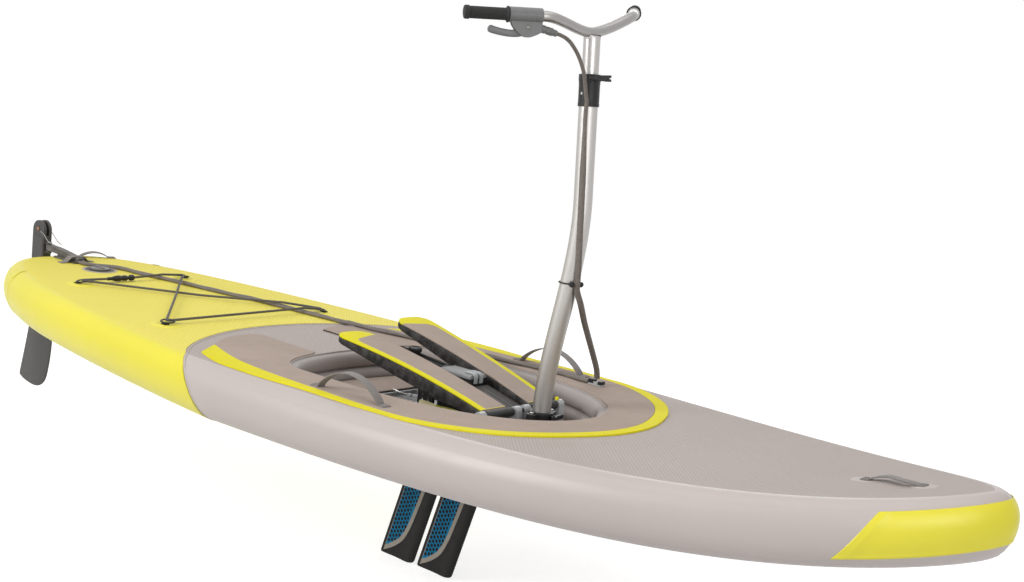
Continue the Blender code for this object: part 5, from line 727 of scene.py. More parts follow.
@dataclass(frozen=True)
class BoardShape:
    """Outline, rails and deck of the inflated board.

    A turn names a place on the outline, from -90 at the stern to 90 at the bow. An angle names a
    place round the rail, from 90 at the deck to -90 at the bottom.
    """

    half_length: float = 1.675
    half_width: float = 0.495
    thickness: float = 0.141
    rail_reach: float = 0.052
    widest_x: float = -0.331
    bow: Flat = (2.931, 1.639)
    stern: Flat = (1.143, 3.005)
    nose_rise: Triple = (0.105, 3.95, 0.05)
    tail_rise: Triple = (0.035, 1.1, -0.20)
    skin_x: float = -0.350
    skin_arc: float = 0.20
    skin_slant: float = 0.135
    fade: float = 0.8
    skin: float = 0.0015

    def rocker(self, x: float) -> float:
        """Return the height of the bottom at a station."""
        rise, power, start = self.nose_rise
        if x > start:
            return rise * ((x - start) / (self.half_length - start)) ** power
        rise, power, start = self.tail_rise
        if x < start:
            return rise * ((start - x) / (self.half_length + start)) ** power
        return 0.0

    def reach_share(self, turn: float) -> float:
        """Return how far along its half of the outline a turn lies."""
        power = self.bow[0] if turn >= 0 else self.stern[0]
        return sin(radians(abs(turn))) ** (2 / power)

    def turn_at(self, x: float) -> float:
        """Return the turn at which the outline crosses a station."""
        if x >= self.widest_x:
            share = min(1.0, (x - self.widest_x) / (self.half_length - self.widest_x))
            return degrees(asin(share ** (self.bow[0] / 2)))
        share = min(1.0, (self.widest_x - x) / (self.half_length + self.widest_x))
        return -degrees(asin(share ** (self.stern[0] / 2)))

    def outline(self, turn: float) -> Flat:
        """Return the station and half width of the outline at a turn."""
        share = self.reach_share(turn)
        power = self.bow[1] if turn >= 0 else self.stern[1]
        width = self.half_width * max(0.0, cos(radians(abs(turn)))) ** (2 / power)
        if turn >= 0:
            return self.widest_x + share * (self.half_length - self.widest_x), width
        return self.widest_x - share * (self.half_length + self.widest_x), width

    def rim(self, turn: float) -> tuple[float, float, float, float]:
        """Return where the deck's edge lies at a turn, and the plan direction out of it."""
        x, width = self.outline(turn)
        if abs(turn) >= 89.99:
            out = (1.0 if turn > 0 else -1.0, 0.0)
        else:
            step = 0.02
            a, b = self.outline(turn - step), self.outline(turn + step)
            dx, dw = b[0] - a[0], b[1] - a[1]
            size = hypot(dx, dw)
            out = (-dw / size, dx / size)
        inner = (x - self.rail_reach * out[0], max(0.0, width - self.rail_reach * out[1]))
        return inner[0], inner[1], x - inner[0], width - inner[1]

    def follow(self, x: float) -> float:
        """Return how far the rows of faces follow the edge of the stern's skin."""
        return max(0.0, 1 - abs(x - self.skin_x) / self.fade)

    def rail(self, turn: float, angle: float, side: int, lift: float = 0.0) -> Vector:
        """Return a point on the rail, raised from it by a lift.

        Args:
            turn: Place on the outline.
            angle: Place round the rail.
            side: 1 for port, -1 for starboard.
            lift: Distance out of the surface.

        Returns:
            The point.
        """
        inner_x, inner_w, out_x, out_w = self.rim(turn)
        high = sin(radians(angle))
        reach = cos(radians(angle)) if abs(angle) < 89.9 else 0.0
        slant = self.skin_slant * max(0.0, (1 - high) / 2) ** 0.62 * self.follow(inner_x)
        x, w = inner_x + out_x * reach + slant, inner_w + out_w * reach
        half = self.thickness / 2
        flat, tall = reach / self.rail_reach, high / half
        size = hypot(flat, tall)
        spread = hypot(out_x, out_w) or 1.0
        push = lift * flat / size / spread
        return Vector((x + out_x * push, side * (w + out_w * push),
                       self.rocker(x) + half * (1 + high) + lift * tall / size))

    def rail_row(self, turn: float, side: int, angles: Sequence[float],
                 lifts: Sequence[float]) -> list[Vector]:
        """Return points round the rail at one turn, each with its own lift."""
        return [self.rail(turn, angle, side, lift) for angle, lift in zip(angles, lifts)]

    def deck_row(self, turn: float, columns: int, lift: float = 0.0) -> list[Vector]:
        """Return points across the deck from starboard to port, in a row that bends with the skin."""
        inner_x, inner_w = self.rim(turn)[:2]
        row = []
        for k in range(columns + 1):
            y = inner_w * (2 * k / columns - 1)
            x = inner_x + self.follow(inner_x) * (self.skin_edge(y) - self.skin_x)
            row.append(Vector((x, y, self.rocker(x) + self.thickness + lift)))
        return row

    def skin_edge(self, y: float) -> float:
        """Return where the stern's skin ends on the deck."""
        share = max(0.0, 1 - (y / (self.half_width - self.rail_reach)) ** 2)
        return self.skin_x - self.skin_arc * share ** 0.8

    def deck_z(self, x: float, y: float = 0.0) -> float:
        """Return the height of the deck, on the stern's skin where it lies there."""
        height = self.rocker(x) + self.thickness
        return height + self.skin if x < self.skin_edge(y) + 0.006 else height

    def on_deck(self, x: float, y: float, lift: float = 0.0) -> Vector:
        """Return a point above the deck."""
        return Vector((x, y, self.deck_z(x, y) + lift))

    def deck_normal(self, x: float) -> Vector:
        """Return the direction square to the deck."""
        slope = (self.rocker(x + 0.02) - self.rocker(x - 0.02)) / 0.04
        return Vector((-slope, 0.0, 1.0)).normalized()

    def flat_half(self, x: float) -> float:
        """Return the half width of the deck's flat, less a margin."""
        return self.outline(self.turn_at(x))[1] - self.rail_reach - 0.004

    def ring(self, turn: float, columns: int, steps: int, lift: float = 0.0) -> list[Vector]:
        """Return one closed ring of points round the board.

        Args:
            turn: Place on the outline.
            columns: Spans across the deck.
            steps: Spans round each rail.
            lift: Distance out of the surface.

        Returns:
            Points across the deck, down the port rail, under the bottom and up the starboard rail.
        """
        row = self.deck_row(turn, columns, lift)
        angles = [90 - 180 * k / steps for k in range(1, steps + 1)]
        port = [self.rail(turn, angle, 1, lift) for angle in angles]
        low = [port[-1].lerp(self.rail(turn, -90, -1, lift), k / 4) for k in range(1, 4)]
        starboard = [self.rail(turn, angle, -1, lift) for angle in angles[::-1]]
        return row + port + low + starboard

    def turns(self, start: float, end: float, count: int) -> list[float]:
        """Return turns between two, close together toward the tips."""
        low = self.reach_share(start) * (1 if start >= 0 else -1)
        high = self.reach_share(end) * (1 if end >= 0 else -1)
        found = []
        for k in range(count + 1):
            part = k / count
            if end >= 89.99:
                part = 1 - (1 - part) ** 1.7
            elif start <= -89.99:
                part = part ** 1.7
            share = low + (high - low) * part
            power = self.bow[0] if share >= 0 else self.stern[0]
            found.append(degrees(asin(min(1.0, abs(share)) ** (power / 2))) * (1 if share >= 0 else -1))
        return found


BOARD = BoardShape()
SKIN_TURN = BOARD.turn_at(BOARD.skin_x)

# The gap between neighbours, places and heights that several sub-assemblies share, in metres, and the
# lean of the post in degrees.
GAP = 0.0003
RAIL_LAYER = 0.0009
PAD_LIFT = 0.0046
WELL_BED = 0.0503
PLATE_TOP = 0.0626
HANDLE_X = 0.195
HANDLE_Y = BOARD.flat_half(HANDLE_X) - 0.058
PEDAL_AXIS = (0.412, 0.0, 0.118)
FOOT_X = 0.478
BEND_TOP = (0.5357, 0.0, 0.660)
LEAN = 3.69


@dataclass
class Pattern:
    """A Geometry Nodes tree that sets copies of one unit on marked points."""

    name: str
    unit: Piece
    finish: Finish

    def tree(self) -> bpy.types.NodeTree:
        """Build the tree: points in, turned and sized copies of the unit out."""
        tree = bpy.data.node_groups.new(self.name + "_tree", "GeometryNodeTree")
        for label, kind in (("Points", "NodeSocketGeometry"), ("Unit", "NodeSocketObject"),
                            ("Finish", "NodeSocketMaterial"), ("Size", "NodeSocketFloat")):
            tree.interface.new_socket(label, in_out="INPUT", socket_type=kind)
        tree.interface.new_socket("Copies", in_out="OUTPUT", socket_type="NodeSocketGeometry")
        nodes, links = tree.nodes, tree.links
        entry, leave = nodes.new("NodeGroupInput"), nodes.new("NodeGroupOutput")
        unit = nodes.new("GeometryNodeObjectInfo")
        unit.inputs["As Instance"].default_value = True
        turn, share = (nodes.new("GeometryNodeInputNamedAttribute") for _ in range(2))
        for node, kind, name in ((turn, "FLOAT_VECTOR", "turn"), (share, "FLOAT", "share")):
            node.data_type = kind
            node.inputs["Name"].default_value = name
        turned = nodes.new("FunctionNodeEulerToRotation")
        sized = nodes.new("ShaderNodeMath")
        sized.operation = "MULTIPLY"
        place = nodes.new("GeometryNodeInstanceOnPoints")
        whole = nodes.new("GeometryNodeRealizeInstances")
        coat_node = nodes.new("GeometryNodeSetMaterial")
        for start, end in ((entry.outputs["Unit"], unit.inputs["Object"]),
                           (turn.outputs["Attribute"], turned.inputs[0]),
                           (share.outputs["Attribute"], sized.inputs[0]),
                           (entry.outputs["Size"], sized.inputs[1]),
                           (entry.outputs["Points"], place.inputs["Points"]),
                           (unit.outputs["Geometry"], place.inputs["Instance"]),
                           (turned.outputs[0], place.inputs["Rotation"]),
                           (sized.outputs[0], place.inputs["Scale"]), (place.outputs[0], whole.inputs[0]),
                           (whole.outputs[0], coat_node.inputs["Geometry"]),
                           (entry.outputs["Finish"], coat_node.inputs["Material"]),
                           (coat_node.outputs[0], leave.inputs["Copies"])):
            links.new(start, end)
        return tree

    def spread(self, places: Iterable[Matrix], sizes: Sequence[float] | None = None) -> Piece:
        """Set the unit on places and return the plain mesh.

        Args:
            places: Place and turn of each copy.
            sizes: Size of each copy, or None for 1.

        Returns:
            The object.
        """
        spots = list(places)
        mesh = bpy.data.meshes.new(self.name)
        mesh.from_pydata([spot.translation for spot in spots], [], [])
        mesh.attributes.new("turn", "FLOAT_VECTOR", "POINT")
        mesh.attributes.new("share", "FLOAT", "POINT")
        turn, share = mesh.attributes["turn"], mesh.attributes["share"]
        for i, spot in enumerate(spots):
            turn.data[i].vector = spot.to_euler()
            share.data[i].value = sizes[i] if sizes else 1.0
        piece = in_scene(self.name, mesh)
        tree = self.tree()
        step = piece.modifiers.new("copies", "NODES")
        step.node_group = tree
        values = {"Unit": self.unit, "Finish": self.finish.material(), "Size": 1.0}
        for item in tree.interface.items_tree:
            if item.in_out == "INPUT" and item.name in values:
                step[item.identifier] = values[item.name]
        baked(piece)
        bpy.data.objects.remove(self.unit)
        piece.data.shade_smooth()
        piece.data.set_sharp_from_angle(angle=radians(35))
        return piece


def facing(place: Place, normal: Place) -> Matrix:
    """Return a place turned so that its Z looks along a normal."""
    turn = UP.rotation_difference(Vector(normal).normalized()).to_matrix().to_4x4()
    return Matrix.Translation(Vector(place)) @ turn


def along_frame(place: Place, x_axis: Place, z_near: Place = UP) -> Matrix:
    """Return a place whose X lies along a direction, with Z as near as it can be to another."""
    x = Vector(x_axis).normalized()
    z = Vector(z_near)
    z = (z - x * z.dot(x)).normalized()
    turn = Matrix((x, z.cross(x), z)).transposed().to_4x4()
    return Matrix.Translation(Vector(place)) @ turn


@dataclass
class Hull:
    """The inflated hull with its smooth rails, its seams and the opening for the well."""

    columns: int = 28
    steps: int = 18
    spans: tuple[int, int] = (46, 74)
    well_floor: float = 0.050
    slot: Triple = (0.062, 0.365, 0.034)
    band: Flat = (44.0, -62.0)

    def _kind(self, _: int, k: int) -> int:
        """Return the finish of the faces in a column of a ring."""
        if k < self.columns:
            return 0
        if k < self.columns + self.steps:
            return 1
        return 2 if k < self.columns + self.steps + 4 else 1

    def build(self) -> None:
        """Build the hull and its rail layer."""
        turns = BOARD.turns(-90, SKIN_TURN, self.spans[0]) + BOARD.turns(SKIN_TURN, 90, self.spans[1])[1:]
        rings = [BOARD.ring(turn, self.columns, self.steps) for turn in turns]
        hull = Draft("hull_shell").grid(rings, closed=True, pick=self._kind)
        hull = hull.made(DECK_GREY, RAIL_GREY, BOTTOM_GREY_AND_SHADE)
        well = Draft("well_cutter").prism(well_outline(), "z", self.well_floor, 0.4)
        middle = ((self.slot[0] + self.slot[1]) / 2, 0.0)
        slot = rounded((self.slot[1] - self.slot[0]) / 2, self.slot[2], 0.012, 6, middle)
        hole = Draft("slot_cutter").prism(slot, "z", -0.05, 0.2)
        carved(hull, well.made(LINING_GREY), hole.made(LINING_GREY))
        settle(hull, "root", "hull_grey", "hull")
        self._rail_layer()
        self._seam()

    def _rail_layer(self) -> None:
        """Add the second layer of fabric along the rail, whose edge shows as a soft line."""
        top, low = self.band
        drops = [0.0, 1.2, 3.0] + [3.0 + (abs(top - low) - 4.2) * k / 8 for k in range(1, 8)]
        angles = [top - drop for drop in drops] + [low + 1.2, low + 0.4, low]
        lifts = [0.0001, 0.0005] + [RAIL_LAYER] * (len(angles) - 4) + [0.0008, 0.0001]
        turns = BOARD.turns(SKIN_TURN + 0.4, 90, 90)
        rows = [BOARD.rail_row(turn, -1, angles, lifts) for turn in turns]
        rows += [BOARD.rail_row(turn, 1, angles, lifts) for turn in turns[-2::-1]]
        band = Draft("rail_layer").grid(rows).made(RAIL_GREY, outward=False)
        settle(facing_out(band), "root", "hull_grey")

    def _seam(self) -> None:
        """Add the welded seam that runs beside the stern's skin."""
        rows = []
        for gap, lift in ((0.0080, 0.0001), (0.0084, 0.0006), (0.0100, 0.0006), (0.0104, 0.0001)):
            turn = BOARD.turn_at(BOARD.skin_x + gap)
            rows.append(BOARD.ring(turn, self.columns, self.steps, lift + RAIL_LAYER))
        seam = Draft("hull_seam").grid(rows, closed=True).made(RAIL_GREY, outward=False)
        settle(facing_out(seam), "root", "hull_grey")


def flipped(piece: Piece, wrong: Callable[[list], list]) -> Piece:
    """Turn round the faces that point the wrong way.

    Args:
        piece: The piece.
        wrong: Rule that picks them out of all its faces.

    Returns:
        The piece.
    """
    work = bmesh.new()
    work.from_mesh(piece.data)
    work.normal_update()
    bmesh.ops.reverse_faces(work, faces=wrong(list(work.faces)))
    work.to_mesh(piece.data)
    work.free()
    return piece


def facing_by(piece: Piece, outwards: Callable[[object], float]) -> Piece:
    """Turn a whole sheet round if its faces, weighed by a rule, look the wrong way."""
    return flipped(piece, lambda faces: faces if sum(outwards(face) for face in faces) < 0 else [])


def facing_out(piece: Piece) -> Piece:
    """Turn the faces of an open sheet away from the middle of the board."""
    def outwards(face: bmesh.types.BMFace) -> float:
        """Return how far a face looks away from the board's core."""
        middle = face.calc_center_median()
        core = Vector((max(-1.45, min(1.45, middle.x)), middle.y * 0.75, 0.07 + BOARD.rocker(middle.x)))
        return face.calc_area() * face.normal.dot((middle - core).normalized())

    return facing_by(piece, outwards)


def facing_up(piece: Piece) -> Piece:
    """Turn the faces of a sheet upwards."""
    return facing_by(piece, lambda face: face.normal.z * face.calc_area())


def facing_away(piece: Piece) -> Piece:
    """Turn the faces of sheets on both sides of the middle plane outwards."""
    return flipped(piece, lambda faces: [f for f in faces if f.normal.y * f.calc_center_median().y < 0])


def well_outline(inset: float = 0.0, steps: int = 40) -> Outline:
    """Return the outline of the foot well, clockwise from its aft point."""
    front, aft, widest, half_width = 0.62, -0.22, -0.03, 0.288
    half = []
    for i in range(steps + 1):
        turn = radians(90 * i / steps)
        half.append((widest + sin(turn) ** (2 / 3.2) * (front - widest), half_width * cos(turn)))
    back = []
    for i in range(1, steps // 2 + 1):
        turn = radians(90 * i / (steps // 2))
        back.append((widest - sin(turn) ** (2 / 3.5) * (widest - aft), half_width * cos(turn)))
    line = back[::-1] + half
    line[0], line[-1] = (aft, 0.0), (front, 0.0)
    return moved_right(line + [(x, -w) for x, w in line[-2:0:-1]], inset)


@dataclass
class TailSkin:
    """The yellow skin that wraps the stern, with its own rail layer and seams."""

    columns: int = 28
    steps: int = 18
    spans: int = 60
    lift: float = 0.0015
    stern_seam: float = -1.455

    def build(self) -> None:
        """Build the skin, its layers and its seams."""
        hull = Hull(self.columns, self.steps)
        turns = BOARD.turns(-90, SKIN_TURN, self.spans)
        rings = [BOARD.ring(turn, self.columns, self.steps, self.lift) for turn in turns]
        rings.append(BOARD.ring(SKIN_TURN, self.columns, self.steps, 0.0001))
        skin = Draft("tail_wrap").grid(rings, closed=True, pick=lambda i, k: min(1, hull._kind(i, k)))
        settle(facing_out(skin.made(DECK_YELLOW, RAIL_YELLOW, outward=False)), "root", "skin_yellow",
               "tail_skin")
        self._layer("tail_rail_layer", hull.band, turns)
        self._cross_seam()

    def _layer(self, name: str, band: Flat, turns: list[float]) -> None:
        """Add a second layer of fabric round the stern's rail."""
        top, low = band
        angles = [top, top - 1.2, top - 3.0] + [top - 3.0 + (low - top + 3.5) * k / 9 for k in range(1, 9)]
        angles += [low + 0.5, low]
        lifts = [self.lift + 0.0001, self.lift + 0.0005] + [self.lift + RAIL_LAYER] * (len(angles) - 3)
        lifts.append(self.lift + 0.0001)
        inner = turns[:-1] + [SKIN_TURN - 0.15]
        rows = [BOARD.rail_row(turn, -1, angles, lifts) for turn in inner[::-1]]
        rows += [BOARD.rail_row(turn, 1, angles, lifts) for turn in inner[1:]]
        settle(facing_out(Draft(name).grid(rows).made(RAIL_YELLOW, outward=False)), "root", "skin_yellow")

    def _cross_seam(self) -> None:
        """Add the seams that cross the stern's rails."""
        draft = Draft("tail_seams")
        angles = [88 - 170 * k / 20 for k in range(21)]
        for side in (-1, 1):
            rows = []
            for shift, rise in ((0.0, 0.0001), (0.0015, 0.0007), (0.0235, 0.0007), (0.025, 0.0001)):
                turn = BOARD.turn_at(self.stern_seam + shift)
                rows.append([BOARD.rail(turn, a, side, self.lift + RAIL_LAYER + rise) for a in angles])
            draft.grid(rows)
        settle(facing_out(draft.made(RAIL_YELLOW, outward=False)), "root", "skin_yellow")


@dataclass
class NosePanel:
    """The yellow rail panel that wraps the nose, with slanted ends."""

    aft_x: Flat = (1.492, 1.422)
    top: Flat = (45.0, 50.0)
    low: Flat = (-40.0, -30.0)
    lift: float = 0.0016

    def build(self) -> None:
        """Build the panel with its raised seam."""
        spots = [(0.0, 0.1), (0.004, 1.0), (0.03, 1.0), (0.034, 1.25), (0.046, 1.25), (0.05, 1.0)]
        spots += [(0.05 + 0.95 * (k / 26) ** 0.9, 1.0) for k in range(1, 27)]
        lanes = [(0.0, 0.1), (0.012, 1.0), (0.05, 1.0)] + [(0.05 + 0.87 * k / 12, 1.0) for k in range(1, 12)]
        lanes += [(0.92, 1.0), (0.93, 1.4), (0.96, 1.4), (0.97, 1.0), (0.988, 1.0), (1.0, 0.1)]
        ends = [BOARD.turn_at(x) for x in self.aft_x]

        def row(share: float, rise: float, side: int) -> list[Vector]:
            """Return one row of points across the panel."""
            top = self.top[0] + (self.top[1] - self.top[0]) * share
            low = self.low[0] + (self.low[1] - self.low[0]) * share
            points = []
            for across, height in lanes:
                start = ends[0] + (ends[1] - ends[0]) * across
                turn = start + (90 - start) * share
                most = min(rise, height) if min(rise, height) < 1 else max(rise, height)
                points.append(BOARD.rail(turn, top + (low - top) * across, side,
                                         RAIL_LAYER + self.lift * most))
            return points

        rows = [row(share, rise, -1) for share, rise in spots]
        rows += [row(share, rise, 1) for share, rise in spots[-2::-1]]
        panel = Draft("nose_wrap").grid(rows).made(RAIL_YELLOW, outward=False)
        settle(facing_out(panel), "root", "skin_yellow", "nose_panel")


@dataclass
class FootWell:
    """The lining of the well, its floor pad and what lies on the floor."""

    low: float = WELL_BED
    crease: float = 0.094
    lower_bulge: float = 0.031
    upper_bulge: float = 0.021
    foam_top: float = 0.068
    foam_x: float = -0.048

    def build(self) -> None:
        """Build the lining, the foam step and the small parts."""
        self._lining()
        self._foam()
        self._loose_parts()

    def _profile(self) -> Outline:
        """Return inset and height of the lining from the deck down to the floor."""
        top = BOARD.thickness
        line = [(-0.0035, 0.0011), (-0.002, 0.0013), (0.0, 0.0003), (0.0012, -0.003)]
        points = [(inset, top + drop) for inset, drop in line]
        for bulge, high, low in ((self.upper_bulge, top - 0.004, self.crease),
                                 (self.lower_bulge, self.crease, self.low)):
            for k in range(1, 12):
                turn = pi * k / 12
                rise = sin(turn) ** 0.75
                points.append((0.002 + bulge * rise, high + (low - high) * (1 - cos(turn)) / 2))
        points.append((0.003, self.low))
        return points

    def _lining(self) -> None:
        """Build the two soft lobes of the well's wall."""
        rows = [at_height(well_outline(inset), z) for inset, z in self._profile()]
        lining = Draft("well_lining").grid(rows, closed=True).made(LINING_GREY, outward=False)
        middle = Vector((0.15, 0.0, 0.1))
        facing_by(lining, lambda face: face.normal.dot(middle - face.calc_center_median()))
        settle(lining, "root", "hull_grey", "well_liner")

    def _foam(self) -> None:
        """Build the foam step on the aft floor, pale on top with a dark cut edge."""
        inner = well_outline(self.lower_bulge + 0.005)
        aft = sorted((p for p in inner if p[0] < self.foam_x - 0.002),
                     key=lambda p: (p[1] > 0, p[0] if p[1] > 0 else -p[0]))
        edge = max(abs(y) for _, y in aft)
        port = [p for p in aft if p[1] > 1e-6]
        starboard = [p for p in aft if p[1] < -1e-6]
        outline = [(self.foam_x, -edge)] + sorted(starboard, key=lambda p: -p[0])
        outline += sorted(port, key=lambda p: p[0]) + [(self.foam_x, edge)]
        foam = Draft("heel_foam")
        rows = [at_height(outline, self.low), at_height(outline, self.foam_top - 0.0015)]
        foam.grid(rows, closed=True, slot=1)
        trimmed = moved_right(outline, 0.0015)
        if max(p[0] for p in trimmed) > self.foam_x:
            trimmed = moved_right(outline, -0.0015)
        top = at_height(trimmed, self.foam_top)
        foam.grid([rows[1], top], closed=True)
        foam.face(top)
        foam.face(rows[0][::-1], 1)
        settle(foam.made(PAD_TAN, PAD_EDGE), "root", "pad_tan", "well_foam")

    def _loose_parts(self) -> None:
        """Build the line, the clasps, the latches with springs and the tag on the floor."""
        z = 0.0665
        line = smooth_path([(-0.044, 0.016, 0.0700), (-0.020, 0.018, z), (0.010, 0.019, z), (0.040, 0.022, z),
                            (0.074, 0.024, z)], 40)
        settle(Draft("floor_line").tube(line, 0.0016, 10).made(STEEL), "root", "steel")
        clasps = Draft("floor_clasps")
        for x, y, long in ((0.014, 0.019, 0.006), (0.034, 0.021, 0.010), (0.056, 0.023, 0.005)):
            clasps.block((x - long, y - 0.0045, 0.0625), (x + long, y + 0.0045, 0.0705))
        settle(baked(clasps.made(PALE, round_edges=0.0014)), "root", "pale_plastic")
        latches = Draft("floor_latches")
        for x, y, high in ((0.104, -0.036, 0.118), (0.126, -0.037, 0.112), (0.145, -0.037, 0.104)):
            latches.block((x - 0.007, y - 0.0035, PLATE_TOP), (x + 0.007, y + 0.0045, high))
            latches.rod(0.0058, (x, y - 0.0045, high - 0.009), (x, y + 0.008, high - 0.009), sides=20)
        latches.rod(0.0028, (0.148, -0.0372, 0.095), (0.300, -0.0372, 0.084))
        settle(baked(latches.made(BLACK, round_edges=0.0015)), "root", "black_plastic")
        springs = Draft("latch_springs")
        for x, y in ((0.1145, -0.0362), (0.1355, -0.0362)):
            coil = [Vector((x + 0.0038 * cos(2 * pi * t / 12), y + 0.0038 * sin(2 * pi * t / 12),
                            0.080 + 0.030 * t / 84)) for t in range(85)]
            springs.tube(coil, 0.0009, 6)
        settle(springs.made(STEEL), "root", "steel")
        tag = Draft("floor_tag")
        rows = []
        for k, (y, z) in enumerate(((-0.047, 0.084), (-0.048, 0.080), (-0.050, 0.076), (-0.054, 0.072),
                                    (-0.060, 0.0685))):
            rows.append([Vector((0.114 + 0.142 * i / 20, y - 0.0015 * sin(i * 0.6 + k),
                                 z + 0.0015 * sin(i * 0.5 + k)))
                         for i in range(21)])
        tag.grid(rows, pick=lambda _, k: 0 if k < 8 else 1)
        settle(tag.made(TAG_CREAM, TAG_LIME, outward=False), "root", "skin_yellow")


@dataclass
class TractionPad:
    """The tan pad in a horseshoe round the well, with its yellow border."""

    thickness: float = 0.0043
    outer: tuple = ((-0.335, 0.402), (-0.230, 0.432), (-0.075, 0.438), (0.060, 0.430), (0.160, 0.429),
                    (0.262, 0.433), (0.340, 0.433), (0.420, 0.425), (0.500, 0.398), (0.570, 0.358),
                    (0.635, 0.305), (0.690, 0.232), (0.732, 0.148), (0.757, 0.072), (0.765, 0.0))
    inner: tuple = ((-0.389, 0.318), (-0.249, 0.364), (-0.100, 0.388), (0.050, 0.397), (0.155, 0.402),
                    (0.255, 0.407), (0.330, 0.407), (0.405, 0.400), (0.480, 0.375), (0.547, 0.336),
                    (0.608, 0.285), (0.661, 0.216), (0.701, 0.138), (0.726, 0.066), (0.733, 0.0))
    lobe: tuple = ((-0.440, 0.112), (-0.460, 0.150), (-0.455, 0.210), (-0.425, 0.270))

    def _held(self, points: Sequence, least: float = 0.0) -> Outline:
        """Return outline points held on the flat of the deck."""
        return [(x, min(y, BOARD.flat_half(x) - least)) for x, y in points]

    def _band(self, name: str, outer: list, inner: list, rows: int) -> Draft:
        """Draw a sheet between two plan lines, with eased edges.

        Args:
            name: Name of the piece.
            outer: Outer line, port end first.
            inner: Inner line, point for point.
            rows: Spans between them.

        Returns:
            The draft.
        """
        thick = self.thickness
        width = [hypot(a[0] - b[0], a[1] - b[1]) or 1.0 for a, b in zip(outer, inner)]
        spots = [(0.0, 0.0002, 0), (0.0, thick - 0.0008, 0), (0.0008, thick, 1)]
        spots += [(k / rows, thick, 2) for k in range(1, rows)]
        spots += [(0.0008, thick, 3), (0.0, thick - 0.0008, 4), (0.0, 0.0002, 4)]
        lines = []
        for amount, lift, kind in spots:
            line = []
            for a, b, reach in zip(outer, inner, width):
                share = {0: 0.0, 1: amount / reach, 2: amount, 3: 1 - amount / reach, 4: 1.0}[kind]
                x, y = a[0] + (b[0] - a[0]) * share, a[1] + (b[1] - a[1]) * share
                line.append(BOARD.on_deck(x, y, lift))
            lines.append(line)
        return Draft(name).grid(lines)

    def build(self) -> None:
        """Build the border and the pad."""
        count = 96
        outer = spread_2d(self._held(self.outer), count)
        inner = spread_2d(self._held(self.inner, 0.020), count)
        border = self._band("pad_edge_strip", both_sides(outer), both_sides(inner), 3)
        settle(facing_up(border.made(PAD_YELLOW, outward=False)), "root", "pad_yellow", "pad_border")
        seam = moved_right(inner, 0.0006, closed=False)
        seam[-1] = (seam[-1][0], 0.0)
        lobe = spread_2d(list(self.lobe) + [seam[0]], 24)
        rim = [p for p in well_outline(-0.004) if p[1] > self.lobe[0][1] or (p[1] > -1e-9 and p[0] > 0)]
        rim = spread_2d([(-0.224, self.lobe[0][1])] + sorted(rim), count + 23)
        pad = self._band("pad_sheet", both_sides(lobe[:-1] + seam), both_sides(rim), 9)
        settle(facing_up(pad.made(PAD_TAN, outward=False)), "root", "pad_tan", "traction_pad")


def both_sides(half: list) -> list:
    """Return a half line that ends on the centreline, with its mirror."""
    return half + [(x, -y) for x, y in half[-2::-1]]


def strap(name: str, line: Sequence[Vector], across: Sequence[Vector], thickness: float = 0.0024) -> Draft:
    """Draw webbing along a line.

    Args:
        name: Name of the piece.
        line: Points on the underside of the webbing.
        across: Half width at each point, as a direction.
        thickness: Thickness of the webbing.

    Returns:
        The draft.
    """
    bulge, edge = 0.0004, 0.94
    section = ((-1, 0), (-edge, -bulge), (edge, -bulge), (1, 0), (1, thickness), (edge, thickness + bulge),
               (-edge, thickness + bulge), (-1, thickness))
    rows = []
    for place, wide, way in zip(line, across, ways_along(line)):
        up = wide.normalized().cross(way)
        up = up if up.z >= 0 else -up
        rows.append([place + wide * out + up * rise for out, rise in section])
    return Draft(name).grid(rows, closed=True, caps=True)


